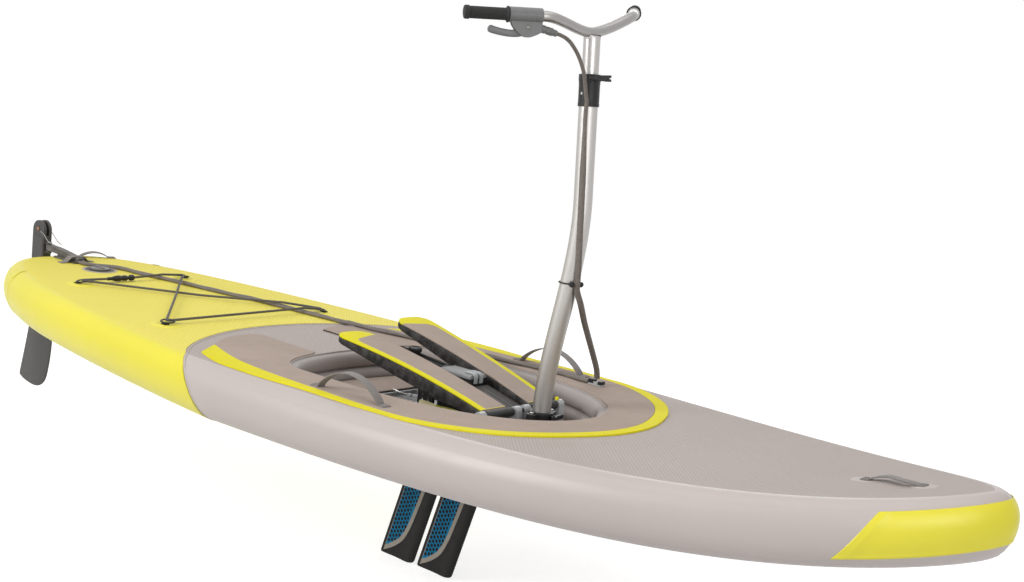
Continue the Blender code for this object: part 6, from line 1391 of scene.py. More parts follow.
@dataclass
class Handle:
    """A carry handle of webbing, sewn down at both feet."""

    name: str
    node: str
    centre: Flat
    turn: float
    span: float
    height: float
    base_lift: float
    foot: float = 0.024
    half_wide: float = 0.0125
    wave: float = 0.0
    pale_feet: bool = False

    def build(self) -> None:
        """Build the webbing, its stitches and the patches under its feet."""
        along = heading(self.turn)
        normal = BOARD.deck_normal(self.centre[0])
        across = Vector((-along.y, along.x, 0.0))
        across = (across - normal * across.dot(normal)).normalized() * self.half_wide
        steps = 44
        line, wides = [], []
        for k in range(-8, steps + 9):
            share = k / steps
            inner = min(max(share, 0.0), 1.0)
            rise = sin(pi * inner) ** 0.72 if 0 < inner < 1 else 0.0
            height = self.height * rise
            beyond = share * steps if share < 0 else (share - 1) * steps if share > 1 else 0.0
            s = -self.span / 2 + self.span * inner + self.foot * beyond / 8
            plan = Vector((*self.centre, 0.0)) + along * s
            plan += across.normalized() * self.wave * sin(2 * pi * inner)
            line.append(BOARD.on_deck(plan.x, plan.y, self.base_lift + height))
            wides.append(across)
        piece = strap(self.name, line, wides).made(WEBBING, sharp=50)
        settle(piece, "root", "webbing", self.node)
        self._stitches(along, across, normal)
        if self.pale_feet:
            self._patches(along)

    def _stitches(self, along: Vector, across: Vector, normal: Vector) -> None:
        """Sew a crossed box at each foot."""
        unit = Draft("stitch_unit").rod(0.0004, (-0.0012, 0, 0), (0.0012, 0, 0), 0.0001, 6).made(WEBBING)
        places = []
        side = across.normalized()
        for end in (-1, 1):
            middle = Vector((*self.centre, 0.0)) + along * end * (self.span / 2 + self.foot / 2)
            long, wide = self.foot / 2 - 0.003, self.half_wide - 0.003
            box = [(-long, -wide), (long, -wide), (long, wide), (-long, wide)]
            runs = list(zip(box, box[1:] + box[:1])) + [(box[0], box[2]), (box[3], box[1])]
            for (a, b), (c, d) in runs:
                count = max(3, round(hypot(c - a, d - b) / 0.0034))
                way = (along * (c - a) + side * (d - b)).normalized()
                for k in range(count):
                    share = (k + 0.5) / count
                    plan = middle + along * (a + (c - a) * share) + side * (b + (d - b) * share)
                    spot = BOARD.on_deck(plan.x, plan.y, self.base_lift + 0.0029)
                    places.append(along_frame(spot, way, normal))
        settle(Pattern(self.name + "_stitches", unit, THREAD).spread(places), "root", "webbing")

    def _patches(self, along: Vector) -> None:
        """Weld a round patch of the deck's own colour under each foot."""
        draft = Draft(self.name + "_patches")
        for end in (-1, 1):
            plan = Vector((*self.centre, 0.0)) + along * end * (self.span / 2 + self.foot * 0.7)
            draft.turned([(0, 0.0006), (0.027, 0.0006), (0.028, 0.0003), (0.0285, -0.0003)],
                         BOARD.on_deck(plan.x, plan.y), BOARD.deck_normal(plan.x), 40)
        settle(facing_up(draft.made(PATCH_GREY, outward=False)), "root", "hull_grey")


def make_handles() -> None:
    """Build the four carry handles."""
    for name, side in (("starboard", -1), ("port", 1)):
        Handle(name + "_carry_handle", name + "_handle", (HANDLE_X, side * HANDLE_Y), 0.0, 0.205, 0.052,
               PAD_LIFT).build()
    Handle("bow_carry_handle", "bow_handle", (1.413, 0.0), 0.0, 0.112, 0.010, 0.0008, foot=0.014,
           wave=0.012, pale_feet=True).build()
    Handle("stern_carry_handle", "stern_handle", (-1.582, 0.112), 70.0, 0.092, 0.016, 0.0006).build()


@dataclass
class DeckCable:
    """The steering cable's run over the deck, flattened and braided."""

    radius: float = 0.006
    clip_x: float = 0.392
    clip_inset: float = 0.050
    stern_end: float = -1.4894
    beside: tuple = ((0.325, 0.046), (0.262, 0.040), (0.164, 0.051), (0.089, 0.065), (-0.050, 0.067))
    far: tuple = ((-0.200, 0.292), (-0.377, 0.250), (-0.505, 0.237), (-0.658, 0.217), (-0.830, 0.192),
                  (-0.955, 0.160), (-1.137, 0.124), (-1.268, 0.090), (-1.350, 0.078))

    def bed(self, x: float, y: float) -> float:
        """Return the height of what the cable lies on."""
        heights = []
        for near in (x - 0.022, x, x + 0.022):
            on_pad = near > -0.46 and (near > -0.389 or y < 0.27)
            heights.append(BOARD.deck_z(near, y) + (PAD_LIFT if on_pad else GAP))
        return max(heights)

    def line(self, count: int) -> list[Vector]:
        """Return points on the cable's centre line."""
        clip_end = self.clip_x - 0.0236
        clip_y = HANDLE_Y - self.clip_inset
        plan = [(clip_end, clip_y), (clip_end - 0.020, clip_y)]
        plan += [(x, HANDLE_Y - inset) for x, inset in self.beside] + list(self.far)
        end = self.stern_end
        plan += [(end + 0.090, 0.058), (end + 0.062, 0.030), (end + 0.036, 0.004), (end + 0.018, 0.0),
                 (end, 0.0)]
        return [Vector((p.x, p.y, self.bed(p.x, p.y) + self.radius + GAP))
                for p in smooth_path([(x, y, 0.0) for x, y in plan], count)]

    def build(self) -> None:
        """Build the double strand over the deck and the clip that holds it."""
        path = self.line(260)
        cable = Draft("deck_sleeve")
        frames = carried(path)
        for side in (-1, 1):
            strand = []
            for i, (place, way, _, _) in enumerate(frames):
                flat = Vector((-way.y, way.x, 0.0)).normalized()
                sway = 0.0006 * sin(i * 0.35 + side) - 0.0014
                strand.append(place + flat * side * 0.0057 + Vector((0, 0, sway)))
            cable.tube(strand, 0.0056, 14, flat=0.8)
        settle(cable.made(SLEEVE), "root", "cable_sleeve", "cable_deck")
        self._clip()

    def _clip(self) -> None:
        """Build the clip at the front end of the run."""
        x, y = self.clip_x, HANDLE_Y - self.clip_inset
        base = BOARD.deck_z(x, y) + PAD_LIFT
        plate = Draft("clip_plate")
        plate.prism(rounded(0.023, 0.011, 0.006, 6, (x, y)), "z", base, base + 0.004)
        plate.prism(rounded(0.010, 0.0085, 0.004, 5, (x + 0.004, y)), "z", base + 0.0035, base + 0.010)
        settle(baked(plate.made(PALE, round_edges=0.001)), "root", "pale_plastic", "deck_clip")
        jaw = Draft("clip_jaw")
        jaw.prism(rounded(0.011, 0.0065, 0.003, 5, (x - 0.013, y)), "z", base + 0.0035, base + 0.015)
        jaw.prism(rounded(0.006, 0.0105, 0.003, 5, (x + 0.016, y)), "z", base + 0.0035, base + 0.013)
        settle(baked(jaw.made(BLACK, round_edges=0.0012)), "root", "black_plastic")


@dataclass
class Bungee:
    """The deck bungee with its anchors and hook."""

    aft_x: float = -1.198
    aft_y: float = 0.187
    fore_x: float = -0.643
    fore_y: float = 0.281
    ring: float = 0.0090
    wire: float = 0.0019
    cord: float = 0.0036
    loop: float = 0.0190
    band: float = 0.0030
    tilt: float = 8.0
    turn: float = 0.012
    hook_start: float = 0.095
    hook_length: float = 0.088

    def places(self) -> Outline:
        """Return where the anchors lie, in the order that the cord runs."""
        return [(self.aft_x, -self.aft_y), (self.fore_x, self.fore_y),
                (self.fore_x, -self.fore_y), (self.aft_x, self.aft_y)]

    def centre(self, place: Flat) -> Vector:
        """Return the centre of an anchor's ring."""
        lift = 0.0018 + self.ring + self.wire / 2
        return BOARD.on_deck(*place) + BOARD.deck_normal(place[0]) * lift

    def inward(self, i: int) -> Vector:
        """Return the plan direction from an anchor into the cord's turn."""
        spots = [Vector(p) for p in self.places()]
        a = (spots[i - 1] - spots[i]).normalized() + (spots[(i + 1) % 4] - spots[i]).normalized()
        return Vector((a.x, a.y, 0.0)).normalized()

    def build(self) -> None:
        """Build the patches, the rings, the cord and the hook."""
        patches, rings = Draft("anchor_patches"), Draft("anchor_rings")
        profile = [(0, 0.0018), (0.030, 0.0018), (0.0305, 0.0026), (0.0325, 0.0026), (0.033, 0.0018),
                   (0.0445, 0.0016), (0.0458, 0.0008), (0.046, 0.0)]
        for i, place in enumerate(self.places()):
            patches.turned(profile, BOARD.on_deck(*place), BOARD.deck_normal(place[0]), 56)
            inward = self.inward(i)
            side = Vector((-inward.y, inward.x, 0.0))
            hub = BOARD.on_deck(*place, 0.0095)
            tilted = inward * cos(radians(self.tilt)) + Vector((0, 0, sin(radians(self.tilt))))
            upright = side.cross(tilted).normalized()
            rows = []
            for spot in [hub + tilted * (x * 0.85) + side * y for x, y in circle(self.loop, 40)]:
                out = (spot - hub).normalized()
                rows.append([spot + out * x + upright * (y * 0.7) for x, y in circle(self.band, 12)])
            rings.grid(rows, closed=True, looped=True)
            foot = BOARD.on_deck(*place) - inward * 0.013
            rings.block(foot - Vector((0.008, 0.008, -0.001)), foot + Vector((0.008, 0.008, 0.0050)))
        settle(facing_up(patches.made(PATCH_YELLOW, outward=False)), "root", "skin_yellow",
               "aft_starboard_anchor", "fore_port_anchor", "fore_starboard_anchor", "aft_port_anchor")
        settle(rings.made(BLACK), "root", "black_plastic")
        self._cord()

    def _cord(self) -> None:
        """Lace the cord from ring to ring, over the steering cable, and add the hook."""
        cable = DeckCable().line(120)
        over = 0.012 + self.cord + 0.0016
        hubs = [self.centre(place) for place in self.places()]
        across = (hubs[3] - hubs[0]).normalized()
        hook_from = hubs[0] + across * self.hook_start
        hook_to = hook_from + across * self.hook_length
        route = [hook_from]
        for i, hub in enumerate(hubs):
            inward = self.inward(i)
            before = (hubs[i - 1] if i else hook_from) - hub
            after = (hubs[i + 1] if i < 3 else hook_to) - hub
            middle = hub + inward * self.turn
            ends = []
            for way in (before, after):
                way = way.normalized()
                ends.append(middle + (way - inward * way.dot(inward)) * self.turn)
            for k in range(13):
                swing = ends[0].lerp(ends[1], k / 12) - middle
                route.append(middle + swing - inward * sqrt(max(0.0, self.turn ** 2 - swing.length ** 2)))
            target = hubs[i + 1] if i < 3 else hook_to
            stops = [(share, Vector((x, y, BOARD.deck_z(x, y) + over))) for share, x, y in
                     crossings(hub, target, cable)]
            if i in (0, 2):
                centre = (hub + target) / 2
                centre.z += 0.005 * (0.55 if i else -0.55)
                stops.append((0.5, centre))
            route += [spot for _, spot in sorted(stops, key=lambda stop: stop[0])]
        route.append(hook_to)
        path = [route[0]]
        for a, b in zip(route, route[1:]):
            parts = max(1, round((b - a).length / 0.02))
            path += [a.lerp(b, k / parts) for k in range(1, parts + 1)]
        settle(Draft("deck_bungee").tube(path, self.cord, 12).made(BUNGEE), "root", "webbing", "bungee_cord")
        small, big, long = 0.0052, 0.0092, self.hook_length
        profile = [(0, -0.006), (small, -0.006), (small, 0.010), (big * 0.8, 0.016), (big, 0.026),
                   (big, 0.040), (big * 0.8, 0.043), (big * 0.8, 0.047), (big * 0.95, 0.050),
                   (big * 0.95, 0.062), (small * 1.1, 0.067), (small * 1.1, 0.072), (big, 0.076),
                   (big, long - 0.001), (small, long + 0.004), (0, long + 0.004)]
        hook = Draft("bungee_joiner").turned(profile, hook_from, across, 28)
        settle(hook.made(BLACK), "root", "black_plastic", "bungee_hook")


def crossings(start: Vector, end: Vector, line: list[Vector]) -> list[Triple]:
    """Return where a straight run crosses a line in plan: the share of the run, and the place."""
    found = []
    run = (end.x - start.x, end.y - start.y)
    for a, b in zip(line, line[1:]):
        step = (b.x - a.x, b.y - a.y)
        area = run[0] * step[1] - run[1] * step[0]
        if abs(area) < 1e-12:
            continue
        share = ((a.x - start.x) * step[1] - (a.y - start.y) * step[0]) / area
        along = ((a.x - start.x) * run[1] - (a.y - start.y) * run[0]) / area
        if 0 < share < 1 and 0 <= along < 1:
            found.append((share, start.x + run[0] * share, start.y + run[1] * share))
    return found


@dataclass
class Valve:
    """The inflation valve with its bayonet cap."""

    x: float = -1.383

    def build(self) -> None:
        """Build the seat and the cap."""
        base, up = BOARD.on_deck(self.x, 0.0, GAP), BOARD.deck_normal(self.x)
        seat = Draft("valve_flange")
        seat.turned([(0, 0.0005), (0.046, 0.0005), (0.0475, 0.0016), (0.0530, 0.0018), (0.0545, 0.0010),
                     (0.0552, 0.0)], base, up, 64, slot=1)
        seat.turned([(0, 0.002), (0.0335, 0.002), (0.0345, 0.0026), (0.036, 0.0026), (0.037, 0.002),
                     (0.0445, 0.0018), (0.0458, 0.0008), (0.046, 0.0)], base, up, 64)
        settle(facing_up(seat.made(CHARCOAL, VALVE_RIM, outward=False)), "root", "pale_plastic", "valve_seat")
        cap = Draft("valve_lid")
        cap.turned([(0.016, 0.0028), (0.030, 0.0028), (0.031, 0.0038), (0.031, 0.0068), (0.0298, 0.008),
                    (0.024, 0.0085), (0.0235, 0.0078), (0.012, 0.0078), (0.0115, 0.0085), (0, 0.0085)], base,
                    up, 64)
        ridge = Draft("valve_grip").prism(rounded(0.0235, 0.0036, 0.0034, 6), "z", 0.0075, 0.0123)
        ridge.placed(facing(base, up))
        lid = joined(cap.made(VALVE_GREY), baked(ridge.made(VALVE_GREY, round_edges=0.001)))
        settle(lid, "valve_cover", "dark_plastic", "valve_cap")
        notch = Draft("notch_unit").rod(0.0011, (0, 0, 0.0035), (0, 0, 0.0072), 0.0004, 8).made(BLACK)
        spots = [facing(base, up) @ Matrix.Translation((x, y, 0)) for x, y in circle(0.0308, 30)]
        settle(Pattern("valve_lid_ribs", notch, VALVE_GREY).spread(spots), "valve_cover", "dark_plastic")


def joined(first: Piece, second: Piece) -> Piece:
    """Join a piece of the same finish into another."""
    work = bmesh.new()
    for piece in (first, second):
        work.from_mesh(piece.data)
    work.to_mesh(first.data)
    work.free()
    bpy.data.objects.remove(second)
    return first


@dataclass
class Pedal:
    """One pedal: its textured body, its hub and its two-colour tread."""

    side: int
    rock: float
    pivot: Triple = PEDAL_AXIS
    front_x: float = 0.400
    length: float = 0.505
    corner: float = 0.040
    tread: float = 0.005
    strip: float = 0.0175

    @property
    def name(self) -> str:
        """Return the pedal's name."""
        return "starboard" if self.side < 0 else "port"

    def top(self, s: float) -> float:
        """Return the height of the tread at a distance from the front."""
        return 0.131 + 0.283 * s - 0.145 * s * s

    def depth(self, s: float) -> float:
        """Return the depth of the side wall."""
        share = s / self.length
        ends = 0.014 - 0.001 * share
        return ends + 0.0225 * sin(pi * min(1.0, share ** 0.8))

    def edges(self, s: float) -> Flat:
        """Return the inner and outer edge at a distance from the front."""
        share = s / self.length
        inner = 0.043 + 0.003 * share
        outer = 0.134 + 0.030 * share - 0.006 * sin(pi * share)
        tuck = drawn_in(self.corner, self.length - s)
        return inner + tuck, outer - tuck

    def spots(self) -> list[float]:
        """Return distances from the front, close together at the aft corner."""
        even = [(self.length - self.corner) * k / 44 for k in range(45)]
        return even + [self.length - self.corner * (1 - sin(radians(90 * k / 10))) for k in range(1, 11)]

    def layer(self, draft: Draft, high: Callable, low: Callable, edge: float, inset: float = 0.0,
              pick: Callable[[int, int], int] | None = None) -> None:
        """Draw a closed layer along the pedal.

        Args:
            draft: The draft.
            high: Height of its top at a distance.
            low: Height of its bottom at a distance.
            edge: Radius of its edges.
            inset: Distance in from the pedal's edges.
            pick: Finish number of the face at a row and column.
        """
        rows = []
        for s in self.spots():
            inner, outer = self.edges(s)
            inner, outer = inner + inset, outer - inset
            x, up, down = self.front_x - s, high(s), low(s)
            row = []
            for y, z, start in ((inner, down, 180), (outer, down, 270), (outer, up, 0), (inner, up, 90)):
                cy = y + (edge if y == inner else -edge)
                cz = z + (edge if z == down else -edge)
                for k in range(4):
                    turn = radians(start + 30 * k)
                    row.append(Vector((x, self.side * (cy + edge * cos(turn)), cz + edge * sin(turn))))
            rows.append(row)
        draft.grid(rows, closed=True, caps=True, slot=1 if pick else 0, pick=pick)

    def build(self) -> None:
        """Build the pedal's pieces and turn them to the rest position."""
        rest = Matrix.Translation(self.pivot) @ Matrix.Rotation(radians(self.rock), 4, "Y")
        rest = rest @ Matrix.Translation([-v for v in self.pivot])
        arm = self.name + "_pedal_arm"
        body = Draft(self.name + "_pedal_body")
        under = self.tread + GAP
        self.layer(body, lambda s: self.top(s) - under, lambda s: self.top(s) - self.depth(s) - under, 0.0045)
        neck = sorted((self.side * 0.046, self.side * 0.130))
        body.block((0.385, neck[0], 0.109), (0.412, neck[1], 0.1235))
        settle(body.placed(rest).made(SLATE, sharp=60), arm, "black_plastic", self.name + "_pedal")
        hub = Draft(self.name + "_pedal_hub")
        profile = [(0.0055, 0.0), (0.0105, 0.0), (0.0112, 0.001), (0.0112, 0.004), (0.012, 0.0048),
                   (0.012, 0.0952), (0.0112, 0.096), (0.0112, 0.099), (0.0105, 0.1), (0.0055, 0.1)]
        hub.turned(profile, (self.pivot[0], self.side * 0.034, self.pivot[2]), (0, self.side, 0), 40)
        settle(hub.placed(rest).made(KNURL), arm, "black_plastic")
        self._tread(arm, rest)

    def _tread(self, arm: str, rest: Matrix) -> None:
        """Build the sheet, yellow outboard and aft and tan inboard, and the tan inlay on it."""
        sheet = Draft(self.name + "_tread_sheet")
        self.layer(sheet, lambda s: self.top(s) - 0.0006, lambda s: self.top(s) - self.tread, 0.001, 0.0012,
                   lambda i, k: 1 if i < 44 and (k < 3 or k > 11) else 0)
        settle(sheet.placed(rest).made(PAD_YELLOW, PAD_TAN, sharp=50), arm, "pad_yellow",
               self.name + "_pedal_tread")
        inlay = Draft(self.name + "_tread_inlay")
        columns = 22
        rows = []
        for i in range(61):
            row = []
            for k in range(columns + 1):
                share = k / columns
                end = self.length - 0.036 - 0.022 * share
                if share > 0.72:
                    bend = (share - 0.72) / 0.28
                    end -= 0.034 * (1 - sqrt(max(0.0, 1 - bend * bend)))
                s = end * i / 60
                inner, outer = self.edges(min(s, self.length - self.corner))
                inner += 0.0013
                y = inner + (outer - self.strip - inner) * share
                rim = i in (0, 60) or k in (0, columns)
                row.append(Vector((self.front_x - s, self.side * y, self.top(s) - (0.0008 if rim else 0.0))))
            rows.append(row)
        inlay.grid(rows)
        piece = inlay.placed(rest).made(PAD_TAN, outward=False, sharp=50)
        settle(facing_up(piece), arm, "pad_tan")


@dataclass
class Drive:
    """The pedal drive: base, brackets, housing, ribbed cover, bands, apron and spine."""

    floor: float = PLATE_TOP
    aft: float = 0.157
    front: float = 0.2635
    half: float = 0.031
    top: float = 0.166
    cover: float = 0.010
    ribs: int = 7
    bracket_y: tuple = (-0.147, -0.018, 0.018, 0.147)

    def build(self) -> None:
        """Build the drive from the base up."""
        self._base()
        self._brackets()
        self._housing()
        self._cover()
        self._apron()
        self._spine()
        coat("drive_sprockets", STEEL)
        coat("drum_shaft", STEEL)

    def _base(self) -> None:
        """Build the plate on the well floor, the tray, the keel and its hangers."""
        low = WELL_BED
        outline = [(0.056, -0.088), (0.367, -0.088), (0.387, -0.160), (0.437, -0.160), (0.449, -0.068),
                   (0.512, -0.055)]
        outline += [(x, -y) for x, y in outline[::-1]]
        base = Draft("drive_plate").prism(outline, "z", low, 0.0623)
        base.block((0.0713, -0.022, 0.0075), (0.3552, 0.022, low + 0.002))
        for start in (0.0713, 0.2083, 0.3453):
            shape = arc((0.0, -0.012), 0.015, 180, 360, 14) + [(0.015, 0.0115), (-0.015, 0.0115)]
            base.prism(shape, "x", start, start + 0.010)
        settle(baked(base.made(LEDGE, round_edges=0.0012)), "root", "dark_plastic", "drive_base")
        tray = Draft("drive_tray")
        middle = (0.009, 0.0)
        rings = []
        for half_x, half_y, z in ((0.049, 0.102, low), (0.049, 0.102, low + 0.013),
                                  (0.0485, 0.1015, low + 0.014), (0.0425, 0.0955, low + 0.014),
                                  (0.0415, 0.0945, low + 0.013), (0.041, 0.092, low + 0.005),
                                  (0.037, 0.088, low + 0.004)):
            rings.append(at_height(rounded(half_x, half_y, 0.010, 8, middle), z))
        tray.grid(rings, closed=True)
        tray.face(rings[-1])
        settle(tray.made(LEDGE), "root", "pale_plastic")
        bead = Draft("rib_unit").rod(0.0016, (0, -0.080, 0), (0, 0.080, 0), 0.0006, 10).made(LEDGE)
        spots = [Matrix.Translation((0.335 + 0.012 * k, 0.0, 0.0624)) for k in (*range(10), 13)]
        spots += [Matrix.Translation((-0.018 + 0.012 * k, 0.0, 0.0545)) for k in range(5)]
        settle(Pattern("plate_ribs", bead, LEDGE).spread(spots), "root", "pale_plastic")

    def _brackets(self) -> None:
        """Build the pale brackets that carry the pedal shaft, and the shaft."""
        low, (x, _, z) = self.floor, PEDAL_AXIS
        frame_draft = Draft("shaft_brackets")
        frame_draft.block((x - 0.0145, -0.157, low), (x + 0.0145, 0.157, low + 0.008))
        for y in self.bracket_y:
            outline = arc((x, z), 0.0125, 0, 180, 16) + [(x - 0.0145, low), (x + 0.0145, low)]
            frame_draft.prism(outline, "y", y - 0.010, y + 0.010)
            for rim in (-0.0103, 0.0091):
                frame_draft.turned([(0.0064, 0), (0.0092, 0), (0.0095, 0.0004), (0.0095, 0.0012),
                                    (0.0064, 0.0012)], (x, y + rim, z), (0, 1, 0), 28)
        brackets = baked(frame_draft.made(BRACKET, round_edges=0.0018, segments=3))
        settle(brackets, "root", "pale_plastic", "pedal_bracket")
        shaft = Draft("pedal_axle").rod(0.005, (x, -0.156, z), (x, 0.156, z), 0.0008, 28)
        for end in (-1, 1):
            shaft.turned([(0, 0.0045), (0.0035, 0.0045), (0.004, 0.003), (0.0072, 0.003), (0.008, 0.0022),
                          (0.008, 0)], (x, end * 0.1575, z), (0, end, 0), 28)
        settle(shaft.made(BLACK), "root", "steel", "pedal_shaft")
        cap = Draft("cap_unit").rod(0.004, (0, 0, 0), (0, 0, 0.0035), 0.0008, 6).made(BLACK)
        spots = [Matrix.Translation((x + dx, y, low + 0.0075)) for y in (-0.118, -0.055, 0.055, 0.118)
                 for dx in (-0.007, 0.007)]
        settle(Pattern("bracket_bolts", cap, BLACK).spread(spots), "root", "steel")
        dot = Draft("shaft_mark").rod(0.0055, (x, 0.1365, z + 0.0145), (x, 0.1425, z + 0.0145), 0.0015, 24)
        settle(dot.made(PAD_YELLOW), "root", "pad_yellow")

    def _housing(self) -> None:
        """Build the black gear housing with its side ribs and screws."""
        box = Draft("gear_box")
        wall = 0.003
        middle = ((self.aft + self.front) / 2, 0.0)
        rings = []
        for grow, z in ((0.0, self.floor), (0.0, self.top - 0.001), (-0.001, self.top), (-wall, self.top),
                        (-wall, self.floor + wall)):
            outline = rounded((self.front - self.aft) / 2 + grow, self.half + grow, 0.004, 5, middle)
            rings.append(at_height(outline, z))
        box.grid(rings, closed=True)
        box.face(rings[-1])
        box.face(rings[0][::-1])
        settle(box.made(BLACK), "root", "black_plastic", "drive_housing")
        rib = Draft("rib_unit").rod(0.0018, (0, 0, -0.045), (0, 0, 0.045), 0.0008, 10).made(BLACK)
        spots = [Matrix.Translation((self.aft + 0.014 + 0.0155 * k, side * self.half, 0.114))
                 for k in range(6) for side in (-1, 1)]
        settle(Pattern("gear_box_ribs", rib, BLACK).spread(spots), "root", "black_plastic")

    def _cover(self) -> None:
        """Build the ribbed cover and the two ribbed bands that fold over its front."""
        low = self.top + GAP
        high = low + self.cover
        profile = [(-self.half, low), (-self.half, high - 0.004)]
        pitch = 2 * (self.half - 0.003) / self.ribs
        for k in range(self.ribs):
            start = -self.half + 0.003 + pitch * k
            profile += [(start, high - 0.003), (start + pitch * 0.2, high - 0.0004),
                        (start + pitch * 0.5, high), (start + pitch * 0.8, high - 0.0004)]
        profile += [(self.half - 0.003, high - 0.003), (self.half, high - 0.004), (self.half, low)]
        cover = Draft("ribbed_cover").prism(profile, "x", self.aft, self.front)
        settle(cover.made(COVER_GREY, sharp=50), "root", "dark_plastic", "housing_cover")
        bands = Draft("ribbed_bands")
        path = [(-0.030, high + 0.0022), (-0.008, high + 0.0024), (0.0008, high + 0.0002),
                (0.0028, high - 0.006), (0.0024, 0.163), (0.0021, 0.1545)]
        line = smooth_path([(self.front + x, 0.0, z) for x, z in path], 30)
        for y in (-0.0115, 0.0085):
            for shift in (-0.0044, 0.0, 0.0044):
                bands.tube([p + Vector((0, y + shift, 0)) for p in line], 0.0024, 10)
        settle(bands.made(BAND_GREY), "root", "pale_plastic", "belt_loops")

    def _apron(self) -> None:
        """Build the sloping plate before the housing."""
        start, end = 0.271, 0.391
        outline = [(start, self.floor), (start, 0.150), (end, 0.121), (end, self.floor)]
        apron = Draft("sloping_plate").prism(outline, "y", -self.half, self.half)
        settle(baked(apron.made(APRON_GREY, round_edges=0.0025, segments=3)), "root", "dark_plastic",
               "drive_apron")
        groove = Draft("rib_unit").rod(0.0010, (-0.058, 0, 0), (0.058, 0, 0), 0.0004, 8).made(CHARCOAL)
        tilt = Matrix.Rotation(radians(13.6), 4, "Y")
        spots = [Matrix.Translation(((start + end) / 2, y, 0.1356)) @ tilt
                 for y in (-0.022, -0.008, 0.008, 0.022)]
        settle(Pattern("plate_beads", groove, APRON_GREY).spread(spots), "root", "dark_plastic")

    def _spine(self) -> None:
        """Build the twin rails aft of the housing, with their knob."""
        tilt = Matrix.Translation((0.1567, 0.0, 0.167)) @ Matrix.Rotation(radians(4.6), 4, "Y")
        rails = Draft("spine_bars")
        for y in (-0.0125, 0.0125):
            rails.block((-0.190, y - 0.0045, 0), (-0.0012, y + 0.0045, 0.009))
            rails.block((-0.185, y - 0.0012, 0.0085), (-0.006, y + 0.0012, 0.0105))
        for low, high in ((-0.190, -0.180), (-0.138, -0.106), (-0.012, -0.0012)):
            rails.block((low, -0.0085, 0.0), (high, 0.0085, 0.0088))
        spine = baked(rails.placed(tilt).made(BLACK, round_edges=0.001))
        settle(spine, "root", "black_plastic", "spine_rails")
        knob = Draft("spine_wheel")
        knob.turned([(0.010, 0.008), (0.010, 0.0115), (0.0152, 0.0125), (0.0165, 0.0145), (0.0165, 0.0225),
                     (0.0150, 0.0255), (0.009, 0.026), (0.0085, 0.0245), (0, 0.0245)], (-0.122, 0, 0),
                     sides=44)
        settle(knob.placed(tilt).made(BLACK), "root", "black_plastic")
        flute = Draft("flute_unit").rod(0.0013, (0, 0, 0.0145), (0, 0, 0.0235), 0.0005, 8).made(BLACK)
        spots = [tilt @ Matrix.Translation((x - 0.122, y, 0)) for x, y in circle(0.0165, 22)]
        settle(Pattern("spine_wheel_flutes", flute, BLACK).spread(spots), "root", "black_plastic")


